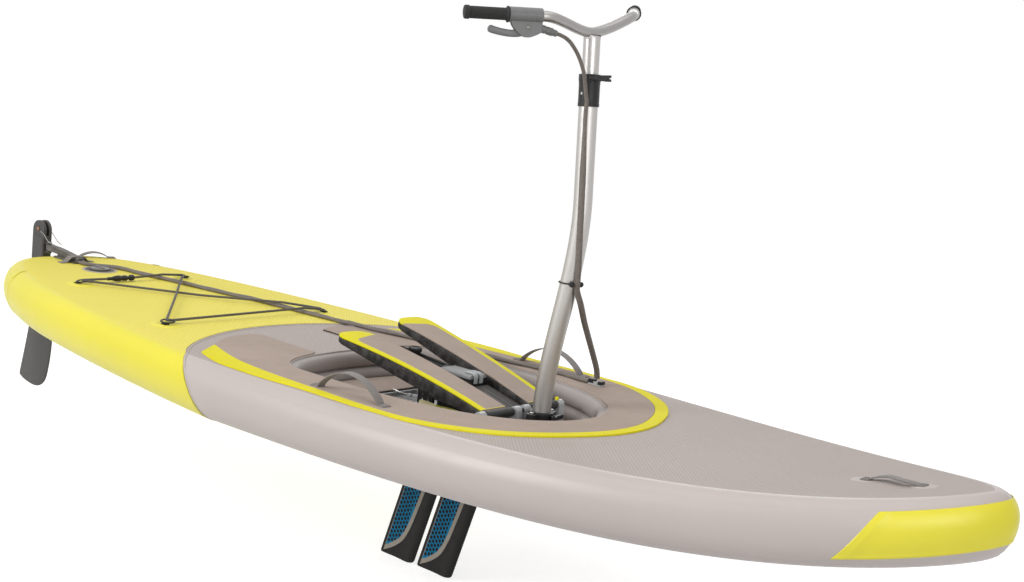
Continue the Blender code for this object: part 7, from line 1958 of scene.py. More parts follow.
@dataclass
class Fin:
    """One swinging fin: black leading part, pale stripe and a cellular blue panel."""

    name: str
    drum_x: float
    body: str
    axis_z: float = -0.012
    rake: float = 0.30
    chord: float = 0.124
    length: float = 0.334
    top: float = 0.024
    corner: float = 0.010
    thick: float = 0.0085
    stripe_out: tuple = ((0.30, -0.036), (0.303, -0.154), (0.34, -0.235), (0.37, -0.274), (0.445, -0.311),
                         (0.576, -0.333), (0.728, -0.349), (0.925, -0.363))
    stripe_in: tuple = ((0.415, -0.036), (0.418, -0.157), (0.426, -0.201), (0.448, -0.242), (0.482, -0.275),
                        (0.526, -0.295), (0.60, -0.3145), (0.716, -0.329), (0.856, -0.343), (0.92, -0.3465))

    def nose(self, depth: float) -> float:
        """Return the leading edge's station at a depth under the drum."""
        return self.drum_x + 0.1264 - self.rake * depth

    def half_thick(self, u: float, depth: float) -> float:
        """Return the half thickness at a share of the chord."""
        marks = ((0.0, 0.0), (0.006, 0.28), (0.015, 0.45), (0.05, 0.80), (0.11, 1.0), (0.19, 0.93),
                 (0.32, 0.60), (0.55, 0.30), (1.0, 0.13))
        share = 1 - 0.18 * depth / (self.length + self.top)
        for (a, low), (b, high) in zip(marks, marks[1:]):
            if u <= b:
                t = (u - a) / (b - a)
                return self.thick * share * (low + (high - low) * t)
        return self.thick * share * marks[-1][1]

    def spot(self, u: float, z: float, side: int, lift: float = 0.0) -> Vector:
        """Return a point on a side of the fin."""
        depth = self.axis_z - z
        return Vector((self.nose(depth) - self.chord * u, side * (self.half_thick(u, depth) + lift), z))

    def build(self) -> None:
        """Build the fin with its stripe, panel and cells."""
        self._blade()
        self._sheets()
        self._cells()
        coat(self.name + "_drum", BLACK)
        coat(self.name + "_mast", STEEL)

    def _blade(self) -> None:
        """Build the black blade with its rounded corners."""
        shares = [0.0, 0.006, 0.015, 0.03, 0.05, 0.08, 0.11, 0.15, 0.19, 0.25, 0.32, 0.42, 0.55, 0.7, 0.85,
                  0.985, 1.0]
        depths = [self.top + 0.012 * (1 - cos(pi * k / 12)) for k in range(7)]
        depths += [0.036 + (self.length + self.top - self.corner - 0.036) * k / 24 for k in range(1, 25)]
        depths += [self.length + self.top - self.corner * (1 - sin(radians(90 * k / 8))) for k in range(1, 9)]
        rows = []
        for depth in depths:
            tuck = drawn_in(0.012, depth - self.top)
            bend = drawn_in(self.corner, self.length + self.top - depth)
            nose = self.nose(depth) - tuck - bend
            chord = self.chord - 2 * tuck - bend * 1.6
            upper = [Vector((nose - chord * u, self.half_thick(u, depth),
                             self.axis_z - depth)) for u in shares]
            row = upper + [Vector((p.x, -p.y, p.z)) for p in upper[::-1]]
            rows.append(row)
        blade = Draft(self.name + "_fin_blade").grid(rows, closed=True, caps=True)
        settle(blade.made(FIN_BLACK, sharp=60), self.body, "fin_rubber", self.name + "_fin")

    def _sheets(self) -> None:
        """Lay the stripe and the blue panel on both sides."""
        outer = spread_2d(self.stripe_out, 48)
        inner = spread_2d(self.stripe_in, 48)
        stripe, panel, line = (Draft(self.name + tail) for tail in ("_fin_stripe", "_fin_panel", "_fin_line"))
        for side in (-1, 1):
            lanes = []
            for share, lift in ((0, 0.0), (0.03, 0.0010), (0.5, 0.0010), (0.97, 0.0010), (1, 0.0)):
                lanes.append([self.spot(a[0] + (b[0] - a[0]) * share, a[1] + (b[1] - a[1]) * share, side,
                                        lift)
                              for a, b in zip(outer, inner)])
            stripe.grid(lanes if side > 0 else lanes[::-1])
            edge = [(min(u, 0.892), z) for u, z in inner]
            lanes = []
            for share, lift in ((0, 0.0), (0.02, 0.0003), (0.35, 0.0003), (0.7, 0.0003), (0.98, 0.0003),
                                (1, 0.0)):
                lanes.append([self.spot(u + (0.908 - u) * share, z, side, lift) for u, z in edge])
            panel.grid(lanes if side > 0 else lanes[::-1])
            lanes = []
            for u, lift in ((0.908, 0.0), (0.910, 0.0007), (0.920, 0.0007), (0.922, 0.0)):
                lanes.append([self.spot(u, -0.036 - 0.322 * k / 40, side, lift) for k in range(41)])
            line.grid(lanes if side > 0 else lanes[::-1])
        for draft, finish in ((stripe, FIN_STRIPE), (panel, FIN_BLUE), (line, FIN_STRIPE)):
            settle(facing_away(draft.made(finish, outward=False)), self.body, "fin_rubber")

    def _cells(self) -> None:
        """Set rows of dark oval cells in the blue panel."""
        unit = Draft("cell_unit").turned([(0, 0.0004), (0.0048, 0.0004), (0.0051, 0.0002), (0.0052, -0.0004)],
                                         sides=14)
        unit = unit.placed(Matrix.Diagonal((0.88, 1.0, 1.0, 1.0))).made(FIN_CELL, outward=False)
        places = []
        edge = spread_2d(self.stripe_in, 200)
        for row in range(30):
            for column in range(7):
                u, z = 0.862 - column * 0.0846, -0.043 - row * 0.0125 + column * 0.0037
                inner_u = next((share for share, low in edge if low <= z), 0.9)
                if inner_u + 0.006 < u and z < -0.030:
                    for side in (-1, 1):
                        places.append(facing(self.spot(u, z, side, 0.0002), (0, side, 0)))
        settle(Pattern(self.name + "_fin_cells", unit, FIN_CELL).spread(places), self.body, "fin_rubber")


def post_centre(z: float) -> Vector:
    """Return the centre of the post at a height."""
    start, (end_x, _, end) = 0.135, BEND_TOP
    lean = -sin(radians(LEAN)) / cos(radians(LEAN))
    if z <= start:
        return Vector((FOOT_X, 0.0, z))
    if z >= end:
        return Vector((end_x + lean * (z - end), 0.0, z))
    span = end - start
    t = (z - start) / span
    shift = (end_x - FOOT_X) * (3 * t * t - 2 * t ** 3) + lean * span * (t ** 3 - t * t)
    return Vector((FOOT_X + shift, 0.0, z))


def beside_post(z: float, angle: float, clear: float) -> Vector:
    """Return a point beside the post."""
    return post_centre(z) + heading(angle) * clear


POST = Matrix.Translation(BEND_TOP) @ Matrix.Rotation(radians(-LEAN), 4, "Y")
BAR = POST @ Matrix.Translation((0, 0, 0.3888)) @ Matrix.Rotation(radians(5.0), 4, "X")


def bar_line() -> tuple[list[Vector], Vector, Vector]:
    """Return the port half of the bar's centre line, where its grip starts, and its direction there."""
    end = Vector((-0.0057, 0.1654, 0.0374))
    out = Vector((-sin(radians(35)), cos(radians(35)), 0.06)).normalized()
    points = []
    for i in range(25):
        t = i / 24
        h01, h10, h11 = 3 * t * t - 2 * t ** 3, t ** 3 - 2 * t * t + t, t ** 3 - t * t
        points.append(end * h01 + Vector((0, 1, 0)) * (0.16 * h10) + out * (0.12 * h11))
    return points, end + out * 0.085, out


def mirrored(point: Vector) -> Vector:
    """Return the same point on the starboard side."""
    return Vector((point.x, -point.y, point.z))


@dataclass
class Steering:
    """Post, collar, handlebar, grips and the steering lever."""

    lower_radius: float = 0.0225
    upper_radius: float = 0.0200
    bar_radius: float = 0.0127
    grip_radius: float = 0.0140
    grip_length: float = 0.103
    housing_half: float = 0.039
    lever_at: Flat = (-0.005, -0.027)
    clamp_x: float = 0.518
    cam_reach: float = 0.034
    ear_half: float = 0.006
    barrel_length: float = 0.0415
    cable_radius: float = 0.0052

    def build(self) -> None:
        """Build the steering from the socket up."""
        self._socket()
        self._posts()
        self._collar()
        self._bar()
        self._lever()

    def _socket(self) -> None:
        """Build the socket at the post's foot with its bolts and clamp lever."""
        foot = Vector((FOOT_X, 0.0, 0.0))
        base = Draft("foot_socket")
        base.turned([(0.0228, 0.098), (0.0228, 0.132), (0.0285, 0.132), (0.0312, 0.1305), (0.0315, 0.128),
                     (0.0315, 0.124), (0.0300, 0.1235), (0.0300, 0.112), (0.0315, 0.1115),
                     (0.0315, PLATE_TOP), (0.001, PLATE_TOP), (0.001, 0.098)], foot, sides=48)
        base.prism(rounded(0.013, 0.046, 0.008, 6, (FOOT_X, 0.0)), "z", 0.112, 0.1275)
        boss = [(0.5035, -0.0075)] + arc((self.clamp_x, 0.0), 0.0075, -90, 90, 10) + [(0.5035, 0.0075)]
        base.prism(boss, "z", 0.109, 0.115)
        base.rod(0.0028, (self.clamp_x, 0, 0.114), (self.clamp_x, 0, 0.1292), 0.0005, 16)
        settle(baked(base.made(BLACK, round_edges=0.0012)), "root", "black_plastic", "post_socket")
        bolt = Draft("bolt_unit").turned([(0.0055, 0), (0.0055, 0.0035), (0.0045, 0.0048), (0.0028, 0.005),
                                          (0.0026, 0.0035), (0, 0.0035)], sides=18).made(STEEL)
        spots = [Matrix.Translation((FOOT_X, y, 0.1275)) for y in (-0.0375, 0.0375)]
        out = heading(-75)
        spots.append(facing(foot + out * 0.0303 + Vector((0, 0, 0.118)), out))
        settle(Pattern("socket_bolts", bolt, STEEL).spread(spots, [1.0, 1.0, 0.8]), "root", "steel")
        place = Matrix.Translation((self.clamp_x, 0.0, 0.1153)) @ Matrix.Rotation(radians(100), 4, "Z")
        lever = self._cam_shape("foot_clamp_lever", 0.042, 0.008, 0.0068, 0.011).placed(place)
        settle(baked(lever.made(BLACK, round_edges=0.0014, segments=3)), "foot_lever", "black_plastic",
               "base_lever")

    def _cam_shape(self, name: str, length: float, thick: float, hub: float, height: float) -> Draft:
        """Draw a clamp lever: a hub, a waisted bar and a forked tip."""
        half = thick / 2
        outline = arc((0, 0), hub, 38, 322, 22)
        outline += [(0.012, -half * 0.8), (length * 0.55, -half * 0.85), (length, -half),
                    (length, -half * 0.35), (length - 0.005, 0.0), (length, half * 0.35), (length, half),
                    (length * 0.55, half * 0.95), (0.012, half * 0.9)]
        return Draft(name).prism(outline, "z", 0.0, height)

    def _posts(self) -> None:
        """Build both post tubes and the weld under the bar."""
        heights = [0.098 + (BEND_TOP[2] - 0.098) * k / 60 for k in range(61)]
        path = [post_centre(z) for z in heights]
        top = POST @ Vector((0, 0, 0.274))
        path += [path[-1].lerp(top, k / 12) for k in range(1, 13)]
        outer = Draft("post_tube").tube(path, self.lower_radius, 64, caps=False)
        mouth = ((0.0202, 0.10), (0.0202, 0.274), (0.0222, 0.2742))
        outer.grid([[POST @ p for p in at_height(circle(radius, 64), z)] for radius, z in mouth], closed=True)
        settle(outer.made(TUBE), "root", "alloy", "lower_post")
        upper, r = Draft("slide_tube"), self.upper_radius
        upper.turned([(0.0180, 0.117), (0.0180, 0.115), (0.0195, 0.115), (r, 0.116), (r, 0.345),
                      (r, 0.3720), (0.0197, 0.3765), (0.0185, 0.3795), (0.016, 0.3810), (0.0, 0.3815)],
                     sides=64)
        settle(upper.placed(POST).made(SLIDE_TUBE), "steering_upper", "alloy", "upper_post")
        weld = Draft("bar_weld")
        rows = []
        for j in range(9):
            t = j / 8
            ring = []
            for k in range(64):
                turn = 2 * pi * k / 64
                ripple = 0.0003 * sin(turn * 26 + j)
                radius = r + 0.0030 * t * t + ripple * sin(pi * t)
                spread = abs(cos(turn))
                ring.append(Vector((radius * cos(turn) * (1 - 0.35 * t * t),
                                    radius * sin(turn) * (1 + 0.25 * t * t),
                                    0.3722 + 0.0078 * t + 0.0040 * t * (1 - spread))))
            rows.append(ring)
        weld.grid(rows, closed=True)
        settle(weld.placed(POST).made(SLIDE_TUBE), "steering_upper", "alloy")

    def _collar(self) -> None:
        """Build the height collar, its ring with ears and its cam lever."""
        collar = Draft("slide_collar")
        collar.turned([(0.0228, 0.216), (0.0248, 0.216), (0.0255, 0.2168), (0.0255, 0.224), (0.0250, 0.2245),
                       (0.0250, 0.268), (0.0255, 0.2685), (0.0255, 0.275), (0.0263, 0.2755), (0.0263, 0.2900),
                       (0.0253, 0.2912), (0.0203, 0.2912), (0.0203, 0.2743), (0.0228, 0.2743)],
                      sides=64)
        toward = heading(-46)
        side, pin, root = Vector((-toward.y, toward.x, 0.0)), toward * self.cam_reach, toward * 0.022
        ear = [root - side * self.ear_half, pin - side * self.ear_half]
        ear += [pin + toward * x + side * y for x, y in arc((0, 0), self.ear_half, -90, 90, 12)[1:-1]]
        ear += [pin + side * self.ear_half, root + side * self.ear_half]
        for low, high in ((0.275, 0.2778), (0.2882, 0.291)):
            collar.prism([spot[:2] for spot in ear], "z", low, high)
        collar.rod(0.0022, pin + Vector((0, 0, 0.276)), pin + Vector((0, 0, 0.290)), 0.0003, 16)
        piece = collar.placed(POST).made(BLACK, round_edges=0.0006, segments=2)
        settle(baked(piece), "root", "black_plastic", "height_collar")
        rivet = Draft("rivet_unit").turned([(0.0036, 0), (0.0036, 0.0006), (0.0025, 0.0017), (0.001, 0.002),
                                            (0, 0.002)], sides=20).made(STEEL)
        out = heading(-95)
        spots = [POST @ facing(way * 0.0248 + Vector((0, 0, 0.246)), way) for way in (out, -out)]
        settle(Pattern("collar_rivets", rivet, STEEL).spread(spots), "root", "steel")
        place = POST @ Matrix.Translation(pin + Vector((0, 0, 0.2781)))
        place = place @ Matrix.Rotation(radians(40), 4, "Z")
        lever = Draft("collar_cam_lever").prism(arc((0, 0), 0.0058, 0, 360, 25)[:-1], "z", 0.0, 0.0098)
        bar = [(0.002, 0.0004), (0.010, -0.0010), (0.034, -0.0030), (0.0465, -0.0030), (0.0465, 0.0022),
               (0.0405, 0.0044), (0.0465, 0.0066), (0.0465, 0.0122), (0.034, 0.0118), (0.010, 0.0108),
               (0.002, 0.0094)]
        lever.prism(bar, "y", -0.0042, 0.0042).placed(place)
        settle(baked(lever.made(BLACK, round_edges=0.0014, segments=3)), "collar_lever", "black_plastic",
               "cam_lever")

    def _bar(self) -> None:
        """Build the bar and both grips."""
        half, junction, out = bar_line()
        end = junction + out * 0.097
        port = half + [half[-1].lerp(end, k / 16) for k in range(1, 17)]
        line = [mirrored(p) for p in port[:0:-1]] + port
        bar = Draft("steering_bar").tube(line, self.bar_radius, 48)
        settle(bar.placed(BAR).made(BAR_TUBE_SHADED), "steering_upper", "alloy", "handlebar")
        r, long = self.grip_radius, self.grip_length
        for name, start, way in (("port", junction, out), ("starboard", mirrored(junction), mirrored(out))):
            profile = [(self.bar_radius, 0.0), (r + 0.0036, 0.0), (r + 0.0045, 0.0008), (r + 0.0045, 0.0032),
                       (r + 0.0026, 0.0045), (r, 0.0065)]
            rings = 22
            for k in range(rings):
                s = 0.010 + (long - 0.024) * k / rings
                profile += [(r, s), (r, s + 0.0026), (r - 0.0005, s + 0.0030), (r - 0.0005, s + 0.0038)]
            profile += [(r, long - 0.0125), (r + 0.0016, long - 0.0115), (r + 0.0016, long - 0.0035),
                        (r + 0.0006, long - 0.0012), (r - 0.003, long), (0, long)]
            grip = Draft(name + "_hand_grip").turned(profile, start, way, 48)
            settle(grip.placed(BAR).made(GRIP), "steering_upper", "grip_rubber", name + "_grip")
        ring = Draft("bar_end_ring").turned([(self.bar_radius, -0.0095), (0.0148, -0.0095), (0.0152, -0.009),
                                             (0.0152, -0.0015), (0.0148, -0.001), (self.bar_radius, -0.001)],
                                            junction, out, 48)
        settle(ring.placed(BAR).made(STEEL), "steering_upper", "steel")

    def _lever(self) -> None:
        """Build the clamp on the bar, its screws, the cable barrel and the lever."""
        junction, out = mirrored(bar_line()[1]), mirrored(bar_line()[2])
        mount = BAR @ along_frame(junction - out * (self.housing_half + GAP), out)
        half, (s, w) = self.housing_half, self.lever_at
        clamp = Draft("lever_clamp")
        clamp.turned([(self.bar_radius, 0), (0.0165, 0), (0.0175, 0.001), (0.0175, 0.016), (0.0170, 0.0165),
                      (0.0170, 0.0175), (0.0175, 0.018), (0.0175, 2 * half - 0.001), (0.0165, 2 * half),
                      (self.bar_radius, 2 * half)], (-half, 0, 0), (1, 0, 0), 48)
        lobe = [(-half + 0.001, -0.010), (half - 0.010, -0.010), (half - 0.006, -0.017),
                (half - 0.012, -0.029), (s + 0.020, w - 0.015), (s, w - 0.0225), (s - 0.020, w - 0.0165),
                (-half + 0.001, w - 0.009)]
        lobe = spread_2d(lobe, 40)
        for low, high in ((-0.010, -0.0036), (0.0036, 0.010)):
            clamp.prism(lobe, "y", low, high)
        clamp.prism([(-half + 0.001, -0.010), (s - 0.014, -0.010), (s - 0.017, w - 0.010),
                     (-half + 0.001, w - 0.006)], "y", -0.0037, 0.0037)
        clamp.prism([(-half + 0.002, -0.012), (half - 0.010, -0.012), (half - 0.008, -0.0155),
                     (-half + 0.002, -0.018)], "y", -0.0037, 0.0037)
        clamp.placed(mount)
        settle(baked(clamp.made(LEVER_GREY, round_edges=0.0012)), "steering_upper", "dark_plastic",
               "lever_housing")
        barrel = Draft("cable_barrel")
        barrel.turned([(0, 0), (0.0088, 0), (0.0094, 0.001), (0.0094, 0.012), (0.0082, 0.013),
                       (0.0082, 0.016), (0.0092, 0.017), (0.0092, 0.030), (0.0078, 0.032),
                       (0.0072, self.barrel_length), (0, self.barrel_length)], *self._barrel(), 32)
        settle(barrel.placed(mount).made(LEVER_GREY), "steering_upper", "dark_plastic")
        screw = Draft("screw_unit").turned([(0.0030, 0), (0.0030, 0.0012), (0.0024, 0.0018), (0.0013, 0.0018),
                                            (0.0012, 0.0008), (0, 0.0008)], sides=16).made(DARK_STEEL)
        spots = [mount @ facing((s, side * 0.010, w), (0, side, 0)) for side in (-1, 1)]
        spots += [mount @ facing((x, -0.0125, 0.0122), (0, -1, 1)) for x in (-half + 0.009, half - 0.012)]
        settle(Pattern("clamp_screws", screw, DARK_STEEL).spread(spots, [1.3, 1.3, 0.9, 0.9]),
               "steering_upper", "steel")
        spine = smooth_path([(0.0, 0, -0.002), (0.014, 0, -0.0115), (0.034, 0, -0.0150), (0.058, 0, -0.0130),
                             (0.078, 0, -0.0090), (0.0905, 0, -0.0050)], 46)
        rows = []
        for i, (spot, way) in enumerate(zip(spine, ways_along(spine))):
            t = i / 45
            up = Vector((-way.z, 0, way.x))
            wide = 0.0031 + 0.0026 * held((t - 0.12) / 0.25)
            high = 0.0100 - 0.0018 * min(1.0, t * 2.5) + 0.0004 * max(0.0, t - 0.6) / 0.4
            if t > 0.94:
                high *= sqrt(max(0.05, 1 - ((t - 0.94) / 0.062) ** 2))
                wide *= sqrt(max(0.3, 1 - ((t - 0.94) / 0.075) ** 2))
            rows.append([spot + up * (high * signed(y, 0.6)) + Vector((0, wide * signed(x, 0.6), 0))
                         for x, y in circle(1.0, 20)])
        lever = Draft("finger_lever").grid(rows, closed=True, caps=True)
        hub = [(0, -0.0032), (0.0096, -0.0032), (0.0100, -0.0027), (0.0100, 0.0027), (0.0096, 0.0032),
               (0, 0.0032)]
        lever.turned(hub, direction=(0, 1, 0), sides=36)
        lever.placed(mount @ Matrix.Translation((s, 0, w)))
        settle(lever.made(LEVER_GREY, sharp=60), "steering_lever_arm", "dark_plastic", "steering_lever")
        self._cables(mount)

    def _barrel(self) -> tuple[Vector, Vector]:
        """Return where the cable barrel starts, in the clamp's own axes, and its direction."""
        lean = radians(15)
        start = Vector((0.0045 - self.housing_half, 0, self.lever_at[1]))
        return start, Vector((-cos(lean), 0, -sin(lean)))

    def _sleeve(self, share: float) -> float:
        """Return the radius of the cable in front of the post, which widens to a braided sleeve."""
        return self.cable_radius + 0.0030 * held((share - 0.09) / 0.10)

    def _cables(self, mount: Matrix) -> None:
        """Build the braided cable from the lever down the post to the deck clip."""
        barrel, way = self._barrel()
        start = mount @ (barrel + way * self.barrel_length)
        ahead = (start - mount @ barrel).normalized()
        radius, by_collar, by_post = 0.0063, 0.0328, 0.0298
        split = beside_post(0.905, -62, by_collar + 0.006)
        down = Vector((0.03, 0.27, -1.0)).normalized()
        upper = [start, start + ahead * 0.010, Vector((0.520, -0.104, 1.026)), Vector((0.529, -0.093, 1.014)),
                 (0.5365, -0.074, 0.989), (0.5415, -0.056, 0.955), split - down * 0.020, split - down * 0.010,
                 split + down * 0.0008]
        cable = Draft("upper_sleeve").tube(smooth_path(upper, 90), self.cable_radius, 20,
                                           flat=0.86).made(SLEEVE)
        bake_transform(cable)
        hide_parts("cable_upper")
        tie = 0.456
        clip_x, clip_y = DeckCable.clip_x, HANDLE_Y - DeckCable.clip_inset
        deck = BOARD.deck_z(clip_x, clip_y) + PAD_LIFT
        clip_top = Vector((clip_x, clip_y, deck + 0.016 + radius * 0.85))
        lower = [split, split + down * 0.010, split + down * 0.020,
                 beside_post(0.860, -62, by_collar - 0.001), beside_post(0.825, -62, by_post + 0.001),
                 beside_post(0.740, -60, by_post), beside_post(tie + 0.184, -58, by_post),
                 beside_post(tie + 0.104, -46, by_post), beside_post(tie + 0.044, -28, by_post),
                 beside_post(tie, -13, by_post), beside_post(tie - 0.016, -5, by_post + 0.001),
                 (0.5475, 0.020, tie - 0.051), (0.523, 0.075, tie - 0.104), (0.484, 0.160, 0.283),
                 (0.441, 0.246, 0.220), clip_top + Vector((0.010, -0.018, 0.022)), clip_top]
        front = Draft("front_sleeve").tube(smooth_path(lower, 240), self._sleeve, 20, flat=0.86)
        settle(front.made(SLEEVE), "root", "cable_sleeve", "cable_front")
        centre = post_centre(tie)
        near, far = 15.0, 319.0
        loop = [centre + heading(near + (far - near) * k / 60) * 0.0250 for k in range(61)]
        band = Draft("ball_tie").tube(loop, 0.0017, 10)
        for angle in (near, far):
            ball = centre + heading(angle) * 0.0302
            profile = [(0.0066 * sin(pi * k / 14), -0.0066 * cos(pi * k / 14)) for k in range(15)]
            band.turned(profile, ball, sides=24)
        settle(band.made(GRIP), "root", "grip_rubber", "cable_tie")


@dataclass
class Rudder:
    """The stern bracket, the rudder head and the blade that kicks up."""

    pin_x: float = -1.675
    head_top: float = 0.283
    head_low: float = 0.105
    half: float = 0.015
    pivot_z: float = 0.255
    pivot_back: float = 0.045
    lug: float = 0.006
    play: float = 0.0006

    def build(self) -> None:
        """Build the bracket, the head, the blade and their rods."""
        front, heel = self.pin_x + 0.185, self.pin_x + 0.064
        deck_front, deck_heel = BOARD.deck_z(front) + GAP, BOARD.deck_z(heel) + GAP
        low = deck_heel + 0.010
        high = low + 0.022
        arm = spread_corners([(front, deck_front + 0.001), (front, deck_front + 0.017),
                              (front - 0.030, deck_front + 0.021), (heel, high - 0.003), (self.pin_x, high),
                              (self.pin_x, low + 0.004), (heel + 0.004, deck_heel + 0.010),
                              (heel + 0.004, deck_heel + 0.0005)])
        bracket = Draft("rudder_arm").prism(arm, "y", -0.012, 0.012)
        foot = [(front, deck_front + 0.001), (front, deck_front + 0.005), (heel + 0.004, deck_heel + 0.006),
                (heel + 0.004, deck_heel + 0.0005)]
        bracket.prism(foot, "y", -0.026, 0.026)
        bracket.turned([(0.0043, low), (0.0085, low), (0.009, low + 0.0006), (0.009, high - 0.0006),
                        (0.0085, high), (0.0043, high)], (self.pin_x, 0, 0), sides=36)
        for y in (-0.0128, 0.0128):
            bracket.prism([(front - 0.020, deck_front + 0.006), (heel + 0.010, deck_heel + 0.010),
                           (heel + 0.010, deck_heel + 0.013), (front - 0.020, deck_front + 0.009)], "y",
                          y - 0.0012, y + 0.0012)
        settle(baked(bracket.made(ARM_GREY, round_edges=0.0015)), "root", "dark_plastic", "rudder_bracket")
        plate = Draft("hole_plate")
        z = deck_front + 0.0065
        plate.prism(rounded(0.022, 0.0045, 0.002, 4, (front - 0.060, -0.0195)), "z", z - 0.003, z)
        settle(baked(plate.made(PALE, round_edges=0.0006)), "root", "pale_plastic")
        dimple = Draft("dimple_unit").turned([(0.0021, 0), (0.0021, 0.0004), (0.0016, 0.0004),
                                              (0.0015, 0.0001), (0, 0.0001)], sides=14).made(BLACK)
        spots = [Matrix.Translation((front - 0.060 + dx, -0.0195, z))
                 for dx in (-0.014, -0.005, 0.005, 0.014)]
        settle(Pattern("plate_holes", dimple, BLACK).spread(spots), "root", "dark_plastic")
        self._strap(front)
        coat("rudder_pin", STEEL)
        self._head(low, high)
        self._blade()
        self._rods()

    def _strap(self, front: float) -> None:
        """Build the webbing strap that holds the arm to the deck."""
        x = front - 0.028
        line = []
        for k in range(41):
            t = k / 40
            y = -0.060 + 0.120 * t
            over = max(0.0, cos(pi * (t - 0.5))) ** 0.55
            ramp = held((min(t, 1 - t) - 0.14) / 0.16)
            line.append(Vector((x, y, BOARD.deck_z(x, y) + 0.0006 + 0.0185 * over * ramp)))
        wides = [Vector((0.0125, 0, 0))] * len(line)
        settle(strap("rudder_arm_strap", line, wides, 0.002).made(WEBBING, sharp=50), "root", "webbing")

    def _head(self, low: float, high: float) -> None:
        """Build the two cheeks, the web and the lugs of the head."""
        fore, aft, radius = self.pin_x - 0.012, self.pin_x - 0.078, 0.033
        centre = (self.pin_x - self.pivot_back, self.head_top - radius)
        cheek = [(fore, self.head_low)] + arc(centre, radius, 0, 180, 28) + [(aft, self.head_low)]
        head = Draft("rudder_cheeks")
        for inner, outer in ((0.0048, self.half), (-self.half, -0.0048)):
            head.prism(cheek, "y", inner, outer)
        head.block((fore - 0.006, -0.005, self.head_low), (fore, 0.005, self.head_top - 0.048))
        for bottom in (low - self.play - self.lug, high + self.play):
            lug = [(fore - 0.004, -0.010), (self.pin_x, -0.009)]
            lug += arc((self.pin_x, 0), 0.009, -90, 90, 12)[1:-1]
            lug += [(self.pin_x, 0.009), (fore - 0.004, 0.010)]
            head.prism(lug, "z", bottom, bottom + self.lug)
        relief = [(fore - 0.004, 0.225), (aft + 0.010, 0.238), (aft + 0.004, 0.236), (aft + 0.004, 0.115),
                  (fore - 0.004, 0.112)]
        for side in (-1, 1):
            head.prism(relief, "y", side * self.half - 0.0012 * (side < 0),
                       side * self.half + 0.0012 * (side > 0))
        settle(baked(head.made(RUDDER_GREY, round_edges=0.0016, segments=3)), "rudder_head_unit",
               "dark_plastic", "rudder_head")
        bolt = Draft("head_bolt")
        profile = [(0, 0.0030), (0.0026, 0.0030), (0.0030, 0.0036), (0.0052, 0.0034), (0.0060, 0.0024),
                   (0.0060, 0.0)]
        for side in (-1, 1):
            bolt.turned(profile, (centre[0], side * self.half, self.pivot_z), (0, side, 0), 32)
        bolt.rod(0.0030, (centre[0], -self.half, self.pivot_z), (centre[0], self.half, self.pivot_z), 0.0002,
                 20)
        settle(bolt.made(COPPER), "rudder_head_unit", "steel", "blade_bolt")

    def _blade(self) -> None:
        """Build the blade with a thin foil edge."""
        line = arc((0, 0), 0.020, 0, 180, 20)
        line += spread_2d([(-0.020, 0.0), (-0.022, -0.17), (-0.033, -0.25), (-0.043, -0.31), (-0.057, -0.375),
                           (-0.078, -0.460), (-0.090, -0.508), (-0.084, -0.518), (-0.060, -0.528),
                           (-0.004, -0.536), (0.036, -0.528), (0.064, -0.503), (0.079, -0.455),
                           (0.087, -0.405), (0.090, -0.360), (0.088, -0.325), (0.068, -0.275),
                           (0.042, -0.232), (0.026, -0.195), (0.021, -0.150), (0.020, 0.0)], 110)[1:-1]
        blade = Draft("rudder_foil")
        rims = []
        for grow, y in ((0.006, -0.0039), (0.0015, -0.0026), (0.0, -0.0008), (0.0, 0.0008), (0.0015, 0.0026),
                        (0.006, 0.0039)):
            inset = moved_right(line, -grow)
            if max(x for x, _ in inset) > max(x for x, _ in line) + 1e-4:
                inset = moved_right(line, grow)
            rims.append([Vector((x, y, z)) for x, z in inset])
        blade.grid(rims, closed=True, caps=True)
        blade.placed(Matrix.Translation((self.pin_x - self.pivot_back, 0.0, self.pivot_z)))
        settle(blade.made(RUDDER_GREY, sharp=40), "rudder_blade_unit", "dark_plastic", "rudder_blade")

    def _rods(self) -> None:
        """Build the steel rods that turn the head."""
        rods = Draft("steering_rods")
        for y in (-0.0175, 0.0175):
            path = [(self.pin_x - 0.030, y * 0.95, 0.247), (self.pin_x - 0.012, y, 0.243),
                    (self.pin_x + 0.018, y, 0.222), (self.pin_x + 0.048, y * 0.8, 0.214)]
            rods.tube(smooth_path(path, 24), 0.0013, 10)
        settle(rods.made(STEEL), "rudder_head_unit", "steel")


def spread_corners(points: Sequence[Flat]) -> Outline:
    """Return an outline with a point in the middle of each long side."""
    line = []
    for a, b in zip(points, list(points[1:]) + [points[0]]):
        line.append(a)
        if hypot(a[0] - b[0], a[1] - b[1]) > 0.03:
            line.append(((a[0] + b[0]) / 2, (a[1] + b[1]) / 2))
    return line


